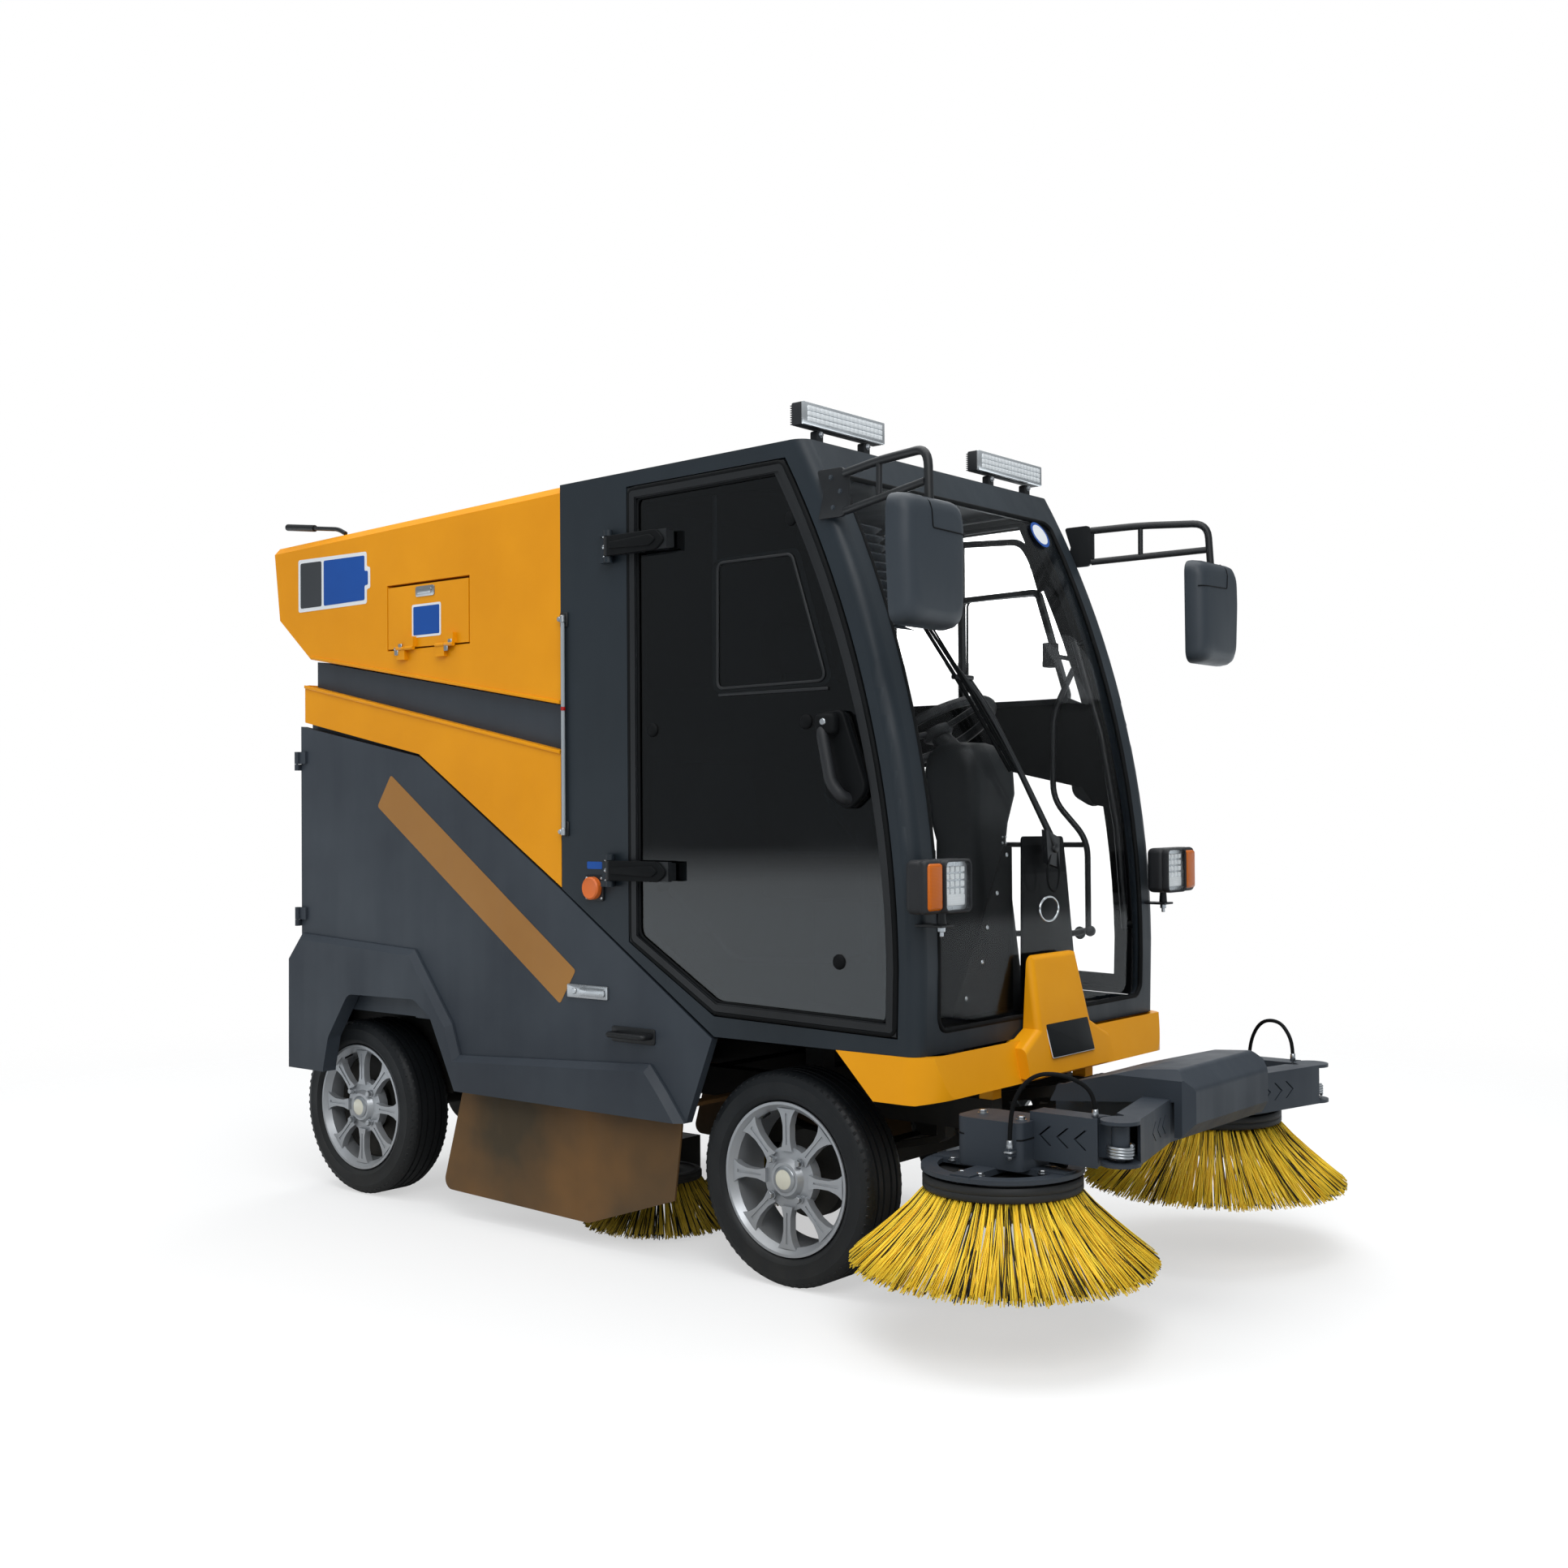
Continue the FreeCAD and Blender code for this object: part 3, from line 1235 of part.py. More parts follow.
def make_side_panel():
    """Right-hand hinged side panel with its flared sill and wheel arch."""
    w, gap = S.body_half_width, S.panel_gap
    panel = body("SidePanel")
    pad(panel, "side", -w, S.panel_thickness - w, [
        (S.panel_rear_x, S.skirt_bottom), (-284, S.skirt_bottom + 3),
        (S.seam_foot_x - 8, S.cab_bottom - gap), (S.cab_rear_x, S.seam_top_z - gap),
        (S.panel_bend_x, S.panel_bend_z - gap), (S.panel_rear_x, S.panel_rear_top - gap),
    ], shift=S.front_axle_x)
    flare_y, axle = -w - S.flare_depth, -S.wheelbase
    pad(panel, "side", flare_y, S.panel_thickness - w, [
        (S.skirt_rear_x, S.skirt_bottom - 2), (-284, S.skirt_bottom + 3), (-347, 469),
        (-406, 534), (axle + 561, 492), (axle + 528, 580), (axle + 357, 791),
        (-1949, S.skirt_crown_z), (S.skirt_rear_x + 2, S.skirt_shoulder_z),
    ], shift=S.front_axle_x)

    def crease(edge):
        box = edge.BoundBox
        return (box.YLength < 0.5 and abs(box.YMin - flare_y.value) < 0.5
                and box.ZMax > S.skirt_bottom.value + 20 and box.ZMin > S.skirt_bottom.value)

    soften(panel, S.flare_chamfer, crease, kind="Chamfer")
    pocket(panel, "side", flare_y - 5, S.panel_thickness - w + 5, [
        (axle - 82, S.skirt_bottom - 30), (axle + 556, S.skirt_bottom - 30),
        (axle + 556, S.skirt_bottom + 2), (axle + 447, 597, 30), (axle + 371, 644, 30),
        (axle + 50, 639, 40), (axle - 52, 497, 40), (axle - 78, S.skirt_bottom + 10),
    ], shift=S.front_axle_x)
    x, y, leaf = S.panel_hinge_x, -PANEL_HINGE_Y, S.hinge_leaf
    leaves, bores = [], []
    for low in PANEL_HINGES:
        start, end = low + leaf / 2 + 1, low + leaf * 1.5
        leaves += [
            rod("z", x, y, start, S.panel_hinge_barrel, end - start),
            block((x, x + leaf), (y + 2, 1 - w), (start, end)),
        ]
        bores.append(rod("z", x, y, start - 1, S.small_pin + S.fit_gap, end - start + 2))
    return cut(fuse(panel, *leaves), *bores)


def make_flap():
    """Rubber side flap that hides the suction mouth."""
    y, low = FLAP_Y, 82
    top = S.rail_bottom + 30
    flap = prism("side", y - S.flap_thickness, y, [
        (-1303, low, 30), (-683, low - 15), (-357, 173), (-329, 373), (-329, top), (-1212, top),
        (-1212, 377),
    ])
    inner = S.rail_y + S.rail_width / 2 + S.fit_gap
    holders = [block((x, x + 40), (inner, y - S.flap_thickness + 1), (top - 10, top))
               for x in (-1180, -770, -360)]
    keep("side_flaps", both_sides(fuse(flap, *holders)))


def make_mouth():
    """Suction mouth under the frame with its duct up to the bin."""
    x0, x1 = MOUTH_REAR, MOUTH_REAR + S.mouth_length
    w, t = S.mouth_half_width, S.mouth_wall
    low, high = S.mouth_bottom, S.mouth_bottom + S.mouth_height
    hood = cut(block((x0, x1), (-w, w), (low, high)),
               block((x0 + t, x1 - t), (t - w, w - t), (low - 5, high - t)))
    d0, d1 = x0 + 40, x0 + 40 + S.duct_length
    dw = S.duct_half_width - S.fit_gap
    duct = block((d0, d1), (-dw, dw), (high - t, S.base_floor - S.fit_gap))
    bore = block((d0 + t, d1 - t), (t - dw, dw - t), (low, S.base_floor + 5))
    ties = block((d0 + 20, d1 - 20), (-S.rail_y + S.rail_width / 2 + S.fit_gap,
                                      S.rail_y - S.rail_width / 2 - S.fit_gap), (430, 450))
    keep("suction_mouth", cut(fuse(hood, duct, ties), bore))


# Brushes

def make_brush(label, x, y, tip_radius, tip_z, disc_radius, disc_z, disc_depth, tufts):
    """A cup brush: a disc with a ring of slanting tufts below it."""
    brush = body("Brush")
    drop = disc_z - tip_z
    turned(brush, [
        (S.shaft_radius, 0), (disc_radius - 10, 0), (disc_radius, 6), (disc_radius, disc_depth - 4),
        (disc_radius - 16, disc_depth), (S.shaft_radius, disc_depth),
    ])
    root = disc_radius - S.tuft_inset
    thick = S.tuft_thickness
    root_half = S.tuft_root_width / 2
    tip_half = tip_radius * (math.pi / tufts * 0.82)
    top = sketch_in(brush, "plan", S.tuft_sink)
    draw(top, [(root - thick, -root_half), (root, -root_half), (root, root_half),
               (root - thick, root_half)])
    tip = sketch_in(brush, "plan", -drop)
    draw(tip, [(tip_radius - thick * 1.6, -tip_half), (tip_radius, -tip_half),
               (tip_radius, tip_half), (tip_radius - thick * 1.6, tip_half)])
    loft = brush.newObject("PartDesign::AdditiveLoft", "Tuft")
    loft.Profile = top
    loft.Sections = [tip]
    loft.Ruled = True
    around(brush, loft, tufts)
    return keep(label, place(brush, x, y, disc_z))


def make_brushes():
    for name, side in (("right", -1), ("left", 1)):
        make_brush("front_brush_" + name, S.front_brush_x, S.front_brush_y * side,
                   S.front_tip_radius, S.front_tip_z, S.front_disc_radius, S.front_disc_z,
                   S.front_disc_depth, 26)
        make_brush("middle_brush_" + name, MID_BRUSH_X, S.mid_brush_y * side,
                   S.mid_tip_radius, S.mid_tip_z, S.mid_disc_radius, S.mid_disc_z,
                   S.mid_disc_depth, 20)


def chevrons(view, tips, z, depth, side):
    """Arrow-shaped slots through a plate, their wings on one side of their tips."""
    wing, width, reach = S.slot_point * side, S.slot_width * side, S.slot_reach
    return [prism(view, *depth, [
        (tip, z), (tip + wing, z + reach), (tip + wing + width, z + reach), (tip + width, z),
        (tip + wing + width, z - reach), (tip + wing, z - reach),
    ]) for tip in tips]


def make_brush_arm():
    """Right-hand trailing arm: hinge barrel, boxed arm, motor housing and guard ring."""
    hx, hy = S.arm_hinge_x, -S.arm_hinge_y
    low, high = S.arm_bottom, S.arm_bottom + S.arm_height
    inner_low = low + S.fork_plate + S.fork_clearance
    inner_high = high - S.fork_plate - S.fork_clearance
    swing = S.fork_radius + S.fork_clearance
    barrel = rod("z", hx, hy, inner_low, 20, inner_high - inner_low)
    web = block((hx - swing - 6, hx - 12), (hy - 9, hy + 9), (inner_low, inner_high))
    half = S.arm_half_width
    arm = block((S.motor_front_x - 10, hx - 20), (hy - half, hy + half), (low - 8, high))
    hollow = block((S.motor_front_x, hx - swing - 12), (hy - half + 6, hy + half - 6),
                   (low - 2, high - 6))
    turning = rod("z", hx, hy, low - 10, swing, S.arm_height + 20)
    my, mw = -S.front_brush_y, S.motor_half_width
    motor = prism("plan", S.motor_bottom + 12, S.motor_top, [
        (S.motor_rear_x, my - mw, 40), (S.motor_front_x, my - mw, 16),
        (S.motor_front_x, my + mw, 16), (S.motor_rear_x, my + mw, 40),
    ])
    clip = block((S.motor_front_x - 28, S.motor_front_x - 12),
                 (my - mw - S.clip_reach - 8, my - mw + 8),
                 (S.motor_bottom + S.clip_top - 18, S.motor_bottom + S.clip_top))
    plate_z = S.front_disc_z + S.front_disc_depth + 7
    ring = cut(rod("z", S.front_brush_x, my, plate_z, S.guard_radius, S.guard_thickness),
               rod("z", S.front_brush_x, my, plate_z - 1, S.guard_inner, S.guard_thickness + 2))
    bars = [
        block((S.front_brush_x - S.guard_radius + 10, S.front_brush_x + S.guard_radius - 10),
              (my - 26, my + 26), (plate_z, plate_z + S.guard_thickness + 4)),
        block((S.front_brush_x - 26, S.front_brush_x + 26),
              (my - S.guard_radius + 10, my + S.guard_radius - 10),
              (plate_z, plate_z + S.guard_thickness + 4)),
    ]
    shaft = rod("z", S.front_brush_x, my, S.front_disc_z + 4, S.shaft_radius - S.shaft_gap, 90)
    pin_hole = rod("z", hx, hy, low, S.fork_pin + S.shaft_gap, S.arm_height)
    tips = [S.motor_front_x + 12 + S.slot_pitch * step for step in range(3)]
    slots = chevrons("side", tips, (low + high) / 2, (hy - half - 5, hy + half + 5), 1)
    shell = cut(arm, hollow, turning)
    arm_box = cut(fuse(shell, barrel, web), pin_hole, *slots)
    return fuse(arm_box, motor, clip, ring, *bars, shaft)


def cover_hull(line, half, top, nose, chamfer):
    """The carriage cover's side outline between its two sides, with chamfered corners."""
    rear, low = S.cover_rear_x - 20, S.cover_bottom - 60
    front_view = [(-half, low), (half, low), (half, top - chamfer), (half - chamfer, top),
                  (chamfer - half, top), (-half, top - chamfer)]
    plan_view = [(rear, -half), (nose - chamfer, -half), (nose, chamfer - half),
                 (nose, half - chamfer), (nose - chamfer, half), (rear, half)]
    return common(common(prism("side", -half, half, line),
                         prism("front", rear, nose + 10, front_view)),
                  prism("plan", low, top + 10, plan_view))


def make_cover():
    """Folded cover over the carriage's beam, open below."""
    t, drop = S.cover_wall, S.cover_bottom - 40
    rear, nose, top = S.cover_rear_x, S.cover_nose_x, S.cover_top
    ridge = top - S.cover_ridge_drop
    outer = [
        (rear, S.cover_rear_low - 4), (rear, S.cover_rear_low), (S.cover_lip_x, S.cover_rear_top),
        (S.cover_ridge_x, ridge), (S.cover_brow_x, top, 20), (nose, S.cover_nose_top, 20),
        (nose, S.cover_nose_bottom), (nose - 28, S.cover_bottom), (S.cover_step_x, S.cover_bottom),
        (S.cover_step_x, S.cover_side_low),
    ]
    inner = [
        (rear + t, drop), (rear + t, S.cover_rear_low), (S.cover_lip_x + 4, S.cover_rear_top - t),
        (S.cover_ridge_x, ridge - t), (S.cover_brow_x - 3, top - t, 14),
        (nose - t, S.cover_nose_top - 3, 14), (nose - t, S.cover_nose_bottom + 3),
        (nose - 32, S.cover_bottom), (nose - 32, drop),
    ]
    w, fold = S.cover_half_width, S.cover_chamfer
    return cut(cover_hull(outer, w, top, nose, fold),
               cover_hull(inner, w - t, top - t, nose - t, fold - t * 0.6))


def make_bracket():
    """Left-hand boxed bracket from the beam out to the fork round the arm's hinge pin."""
    hx, hy, w, t = S.arm_hinge_x, S.arm_hinge_y, S.cover_half_width, S.beam_wall
    low, high, plate = S.arm_bottom, S.arm_bottom + S.arm_height, S.fork_plate
    tip = (hx + S.fork_radius * 0.77, hy - S.fork_radius * 0.63)
    heel = (hx - S.fork_radius, hy - S.bracket_heel)
    box = prism("plan", low, high, [
        (S.beam_rear_x, w - 2), (S.beam_front_x, w - 2), tip, heel,
    ])
    space = prism("plan", low + plate, high - plate, [
        (S.beam_rear_x + t, w + 4), (S.beam_front_x - t, w + 4), (tip[0] - t, tip[1] + 12),
        (heel[0] + t, heel[1] + 14),
    ])
    tips = [w + 76 + S.slot_pitch * step for step in range(3)]
    slots = chevrons("front", tips, (low + high) / 2, (S.beam_front_x - t, tip[0] + 10), -1)
    plates = [fuse(rod("z", hx, hy, z, S.fork_radius, plate),
                   prism("plan", z, z + plate, [(hx - 20, hy - 55), tip, (hx, hy)]))
              for z in (low, high - plate)]
    pin = rod("z", hx, hy, low, S.fork_pin, S.arm_height)
    return fuse(cut(box, space, *slots), *plates, pin)


def make_carriage():
    low, high, t = S.arm_bottom, S.arm_bottom + S.arm_height, S.beam_wall
    w = S.cover_half_width
    beam = cut(block((S.beam_rear_x, S.beam_front_x), (1 - w, w - 1), (low, high)),
               block((S.beam_rear_x + t, S.beam_front_x - t), (1 + t - w, w - t - 1),
                     (low - 5, high - t)))
    front_z = S.link_rear_z + S.link_rise
    rib = prism("side", S.rib_y, S.rib_y + S.rib_thickness, [
        (S.link_front_x - 22, front_z - 18, 12), (S.beam_rear_x + 1, front_z - 8),
        (S.beam_rear_x + 1, front_z + 60), (S.link_front_x + 30, front_z + S.link_spacing + 18),
        (S.link_front_x - 22, front_z + S.link_spacing + 18, 12),
    ])
    bridge = block((S.cover_rear_x + 60, S.cover_rear_x + 90), (1 - w, w - 1),
                   (S.cover_rear_low + 2, S.cover_rear_low + 16))
    outer = S.rib_y + S.rib_thickness
    pins = [rod("y", S.link_front_x, -outer, front_z + rise, S.link_pin, outer * 2)
            for rise in (dim(0), S.link_spacing)]
    keep("brush_carriage", fuse(make_cover(), beam, both_sides(make_bracket()), both_sides(rib),
                                bridge, *pins))


def make_link(z_shift, outer_y):
    """A pair of link bars with eyes, joined by a cross tube."""
    x0, x1 = S.link_rear_x, S.link_front_x
    z0 = S.link_rear_z + z_shift
    z1 = z0 + S.link_rise
    d = S.link_half_depth
    y0, y1 = outer_y - S.link_bar, outer_y
    bar = fuse(
        prism("side", y0, y1, [(x0, z0 - d), (x1, z1 - d), (x1, z1 + d), (x0, z0 + d)]),
        rod("y", x0, y0, z0, S.link_eye, S.link_bar),
        rod("y", x1, y0, z1, S.link_eye, S.link_bar),
    )
    bores = [rod("y", x, y0 - 1, z, S.link_pin + S.shaft_gap, S.link_bar + 2)
             for x, z in ((x0, z0), (x1, z1))]
    tie = rod("y", (x0 + x1) / 2, -y0 - 2, (z0 + z1) / 2, 10, y0 * 2 + 4)
    return fuse(both_sides(cut(bar, *bores)), tie)


def make_hose():
    """Right-hand hydraulic hose, from the motor's clip over to the arm's top plate."""
    top = S.arm_bottom + S.arm_height + S.fit_gap
    motor, arm = -S.front_brush_y - S.motor_half_width - S.clip_reach, -S.arm_hinge_y - 12
    front, low = S.motor_front_x, S.motor_bottom + S.clip_top
    route = [
        (front - 20, motor, low), (front - 20, motor, top - 22), (front - 8, motor + 4, top + 44),
        (front + 30, motor + 20, top + 92), (front + 88, motor + 42, top + 96),
        (front + 130, arm - 10, top + 70), (front + 146, arm, top + 36), (front + 146, arm, top),
    ]
    return tube(route, S.hose_radius)


def make_lift():
    keep("lift_arm", make_link(dim(0), S.link_outer_y))
    keep("lift_link", make_link(S.link_spacing, S.link_outer_y - 16))
    make_carriage()
    arm = keep("brush_arm_right", make_brush_arm())
    keep("brush_arm_left", mirrored(arm))
    hose = keep("hose_right", make_hose())
    keep("hose_left", mirrored(hose))


# Front bumper, lamps, mirrors and small fittings

def make_bumper():
    w, wall = S.cab_half_width + 2, S.bumper_wall
    low, high = S.bumper_bottom, S.bumper_top - S.fit_gap
    corner, nook = S.bumper_corner, S.bumper_corner - wall
    toe = S.bumper_toe_x
    ring = prism("plan", low - 15, high, [
        (S.bumper_rear_x, -w), (toe, -w, corner), (toe, w, corner), (S.bumper_rear_x, w),
        (S.bumper_rear_x, w - wall), (toe - wall, w - wall, nook), (toe - wall, wall - w, nook),
        (S.bumper_rear_x, wall - w),
    ])
    side = prism("side", -w - 1, w + 1, [
        (S.bumper_rear_x, high), (S.bumper_heel_x, low - 11), (toe - 60, low - 11), (toe, low),
        (S.bumper_brow_x, high),
    ])
    nose_side = [
        (S.nose_foot_x, low + 11), (S.nose_top_x, S.nose_top, 16),
        (S.cab_front_x + 1, S.nose_top), (S.cab_front_x + 1, high),
        (S.bumper_brow_x - wall - 8, high), (S.bumper_brow_x - wall - 8, low + 11),
    ]
    nose_front = [
        (-S.nose_base_half, low + 10), (S.nose_base_half, low + 10), (S.nose_base_half, high - 16),
        (S.nose_foot_half, high + 24, 30), (S.nose_top_half, S.nose_top, 24),
        (-S.nose_top_half, S.nose_top, 24), (-S.nose_foot_half, high + 24, 30),
        (-S.nose_base_half, high - 16),
    ]

    def front_side(edge):
        box = edge.BoundBox
        return (box.XMin > ahead(S.nose_top_x).value - 1 and box.ZMin > low.value + 20
                and box.ZLength > 5)

    def tower(side_outline, front_outline):
        return common(prism("side", -S.nose_base_half, S.nose_base_half, side_outline),
                      prism("front", S.cab_front_x - 40, S.nose_foot_x + 10, front_outline))

    sharp = tower([point[:2] for point in nose_side], [point[:2] for point in nose_front])
    nose = common(rounded_off(sharp, S.nose_round, front_side), tower(nose_side, nose_front))
    stay = both_sides(block((S.rail_front_x + S.fit_gap, toe - wall + 1),
                            (S.rail_y - 20, S.rail_y + 20), (low, low + 30)))
    foot = both_sides(block((S.rail_front_x - 38, S.rail_front_x + S.fit_gap + 1),
                            (S.rail_y - 20, S.rail_y + 20),
                            (S.rail_bottom + S.rail_depth + S.fit_gap, low + 30)))
    keep("front_bumper", fuse(common(ring, side), nose, stay, foot))


def make_lamps():
    bar = block((S.bar_front_x - S.bar_depth, S.bar_front_x), (S.bar_inner_y, S.bar_outer_y),
                (BAR_BOTTOM, BAR_BOTTOM + S.bar_height))
    feet = [block((S.bar_front_x - 36, S.bar_front_x - 10), (y, y + 24),
                  (S.roof_front_z + S.fit_gap, BAR_BOTTOM + 2))
            for y in (S.bar_inner_y + 60, S.bar_outer_y - 90)]
    head = prism("front", S.lamp_back_x, S.lamp_back_x + S.lamp_depth, [
        (S.lamp_inner_y, S.lamp_bottom, 16), (S.lamp_outer_y, S.lamp_bottom, 16),
        (S.lamp_outer_y, S.lamp_top, 16), (S.lamp_inner_y, S.lamp_top, 16),
    ])
    stem = fuse(
        rod("z", S.lamp_back_x + 18, 554, S.lamp_bolt_z - 20, 7, S.lamp_bottom - S.lamp_bolt_z + 22),
        block((front_at(S.lamp_bolt_z - 6) + S.fit_gap, S.lamp_back_x + 30), (506, 570),
              (S.lamp_bolt_z - 6, S.lamp_bolt_z)))
    tail = rod("x", S.skirt_rear_x - 14, 470, 700, 42, 14 - S.fit_gap)
    keep("lamps", both_sides(fuse(fuse(bar, *feet), fuse(head, stem), tail)))


def make_mirrors():
    x, y = S.mirror_x, S.mirror_y
    half = S.mirror_width / 2
    head = prism("front", x - S.mirror_depth / 2, x + S.mirror_depth / 2, [
        (y - half, S.mirror_bottom, 40), (y + half, S.mirror_bottom, 40),
        (y + half - 6, S.mirror_top, 40), (y - half + 6, S.mirror_top, 40),
    ])
    foot_x, foot_y = S.mirror_foot_x, S.cab_half_width
    low_z, high_z = S.mirror_arm_low - 22, S.mirror_arm_top + 12
    edge = S.door_margin - S.door_gap - 4
    foot = prism("side", foot_y + S.fit_gap, foot_y + 12, [
        (front_at(low_z) - edge, low_z), (foot_x + 20, low_z), (foot_x + 20, high_z),
        (front_at(high_z) - edge, high_z),
    ])
    top = tube([(foot_x, foot_y + 10, S.mirror_arm_top), (x - 16, y - 14, S.mirror_arm_top),
                (x - 4, y, S.mirror_top - 20)], S.mirror_tube, dim(40))
    low = tube([(foot_x, foot_y + 10, S.mirror_arm_low), (x - 6, y - 2, S.mirror_arm_low)],
               S.mirror_tube, dim(40))
    keep("mirrors", both_sides(fuse(head, foot, top, low)))


def make_fittings():
    """Water level tube, charging socket and roof handle."""
    w = S.cab_half_width + S.fit_gap
    gauge = fuse(rod("z", -730, -w - 14, 1137, 7, 613),
                 block((-742, -718), (-w - 22, -w), (1137, 1165)),
                 block((-742, -718), (-w - 22, -w), (1722, 1750)))
    socket = rod("y", -614, -w - 16, 993, 34, 16)
    blade = [(front_at(S.wiper_z + rise) + S.wiper_stand, S.wiper_y + across, S.wiper_z + rise)
             for rise, across in ((0, 0), (260, -214), (510, -414))]
    wiper = tube(blade, dim(6), dim(300))
    start = front_at(S.wiper_z)
    pivot = tube([(start - 15.6, S.wiper_y, S.wiper_z), (start + 24, S.wiper_y, S.wiper_z)],
                 dim(12), dim(1))
    keep("fittings", fuse(gauge, socket, fuse(wiper, pivot)))


make_wheels()
make_front_axle()
right_knuckle = keep("knuckle_right", make_knuckle())
keep("knuckle_left", mirrored(right_knuckle))
make_rear_axle()
make_chassis()
make_cab()
right_door, right_pane = make_door()
keep("door_right", right_door)
keep("door_glass_right", right_pane)
keep("door_left", mirrored(right_door))
keep("door_glass_left", mirrored(right_pane))
make_interior()
make_body()
right_panel = keep("side_panel_right", make_side_panel())
keep("side_panel_left", mirrored(right_panel))
make_flap()
make_mouth()
make_brushes()
make_lift()
make_bumper()
make_lamps()
make_mirrors()
make_fittings()

doc.recompute()

problems = [item.Label for item in doc.Objects if {"Invalid", "Error"} & set(item.State)]
for label, item in nodes.items():
    if item.Shape.isNull() or not item.Shape.isValid() or not item.Shape.Solids:
        problems.append(label)
if problems:
    raise RuntimeError("These objects did not build: " + ", ".join(problems))

os.makedirs("parts", exist_ok=True)
for label, item in nodes.items():
    item.Shape.exportStep("parts/{}.step".format(label))
print("wrote {} sub-parts".format(len(nodes)))
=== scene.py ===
"""Looks of a compact electric street sweeper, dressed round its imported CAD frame.

Lengths are millimetres. Stations are measured forward from the front axle line, y to the left
and z up from the ground, as in the CAD source; `at` turns them into the frame's metres.
"""
import logging
import math
from dataclasses import dataclass
from enum import Enum
from typing import Callable, Iterable, Optional, Sequence

import bmesh
import bpy
from mathutils import Matrix, Vector


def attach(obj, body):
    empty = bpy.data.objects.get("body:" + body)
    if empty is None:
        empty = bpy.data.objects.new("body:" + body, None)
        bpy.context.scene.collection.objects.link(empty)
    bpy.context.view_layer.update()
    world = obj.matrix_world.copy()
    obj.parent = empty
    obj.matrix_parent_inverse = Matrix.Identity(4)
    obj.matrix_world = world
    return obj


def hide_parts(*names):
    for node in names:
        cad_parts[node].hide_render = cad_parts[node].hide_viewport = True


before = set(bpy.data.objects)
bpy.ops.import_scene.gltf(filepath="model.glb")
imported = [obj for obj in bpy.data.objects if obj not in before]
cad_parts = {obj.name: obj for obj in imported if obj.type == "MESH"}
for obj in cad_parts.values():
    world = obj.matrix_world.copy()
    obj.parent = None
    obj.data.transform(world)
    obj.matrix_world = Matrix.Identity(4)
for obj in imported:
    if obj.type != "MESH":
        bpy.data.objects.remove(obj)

LOG = logging.getLogger("sweeper")
FRONT_AXLE_X = 551.0
REAR_AXLE_X = -1740.0
BODY_HALF = 588.0
MM = 0.001
AXES = "xyz"
Point = Sequence[float]
Outline = list[tuple[float, float]]
Ring = list[Vector]


class Side(Enum):
    """The two sides of the vehicle, with the sign of y on each."""

    RIGHT = -1
    LEFT = 1

    @property
    def word(self) -> str:
        """The side's name as the CAD nodes and bodies spell it."""
        return self.name.lower()


def at(x: float, y: float, z: float) -> Vector:
    """A point of the vehicle in the frame's metres."""
    return Vector(((x + FRONT_AXLE_X) * MM, y * MM, z * MM))


def run(sign: int, *points: Point) -> Ring:
    """Points of the vehicle, given for its left and put on the side that a sign names."""
    return [at(x, y * sign, z) for x, y, z in points]


def span(sign: int, near: float, far: float) -> tuple[float, float]:
    """Two y values on the side that a sign names, the lower one first."""
    return tuple(sorted((near * sign, far * sign)))


def sided(*stems: str) -> list[str]:
    """The names of the CAD nodes that both sides have."""
    return [f"{stem}_{side.word}" for stem in stems for side in Side]


def linear(code: str) -> tuple[float, float, float, float]:
    """Turns a six-figure screen colour into the linear colour a shader takes.

    Args:
        code: Red, green and blue as two hexadecimal figures each.

    Returns:
        The linear colour with an alpha of one.
    """
    parts = [int(code[i:i + 2], 16) / 255 for i in (0, 2, 4)]
    red, green, blue = (
        c / 12.92 if c <= 0.04045 else ((c + 0.055) / 1.055) ** 2.4 for c in parts)
    return red, green, blue, 1.0


def link(name: str, data: bpy.types.ID) -> bpy.types.Object:
    """Makes an object of some data and links it to the scene."""
    made = bpy.data.objects.new(name, data)
    bpy.context.scene.collection.objects.link(made)
    return made


# Node graphs

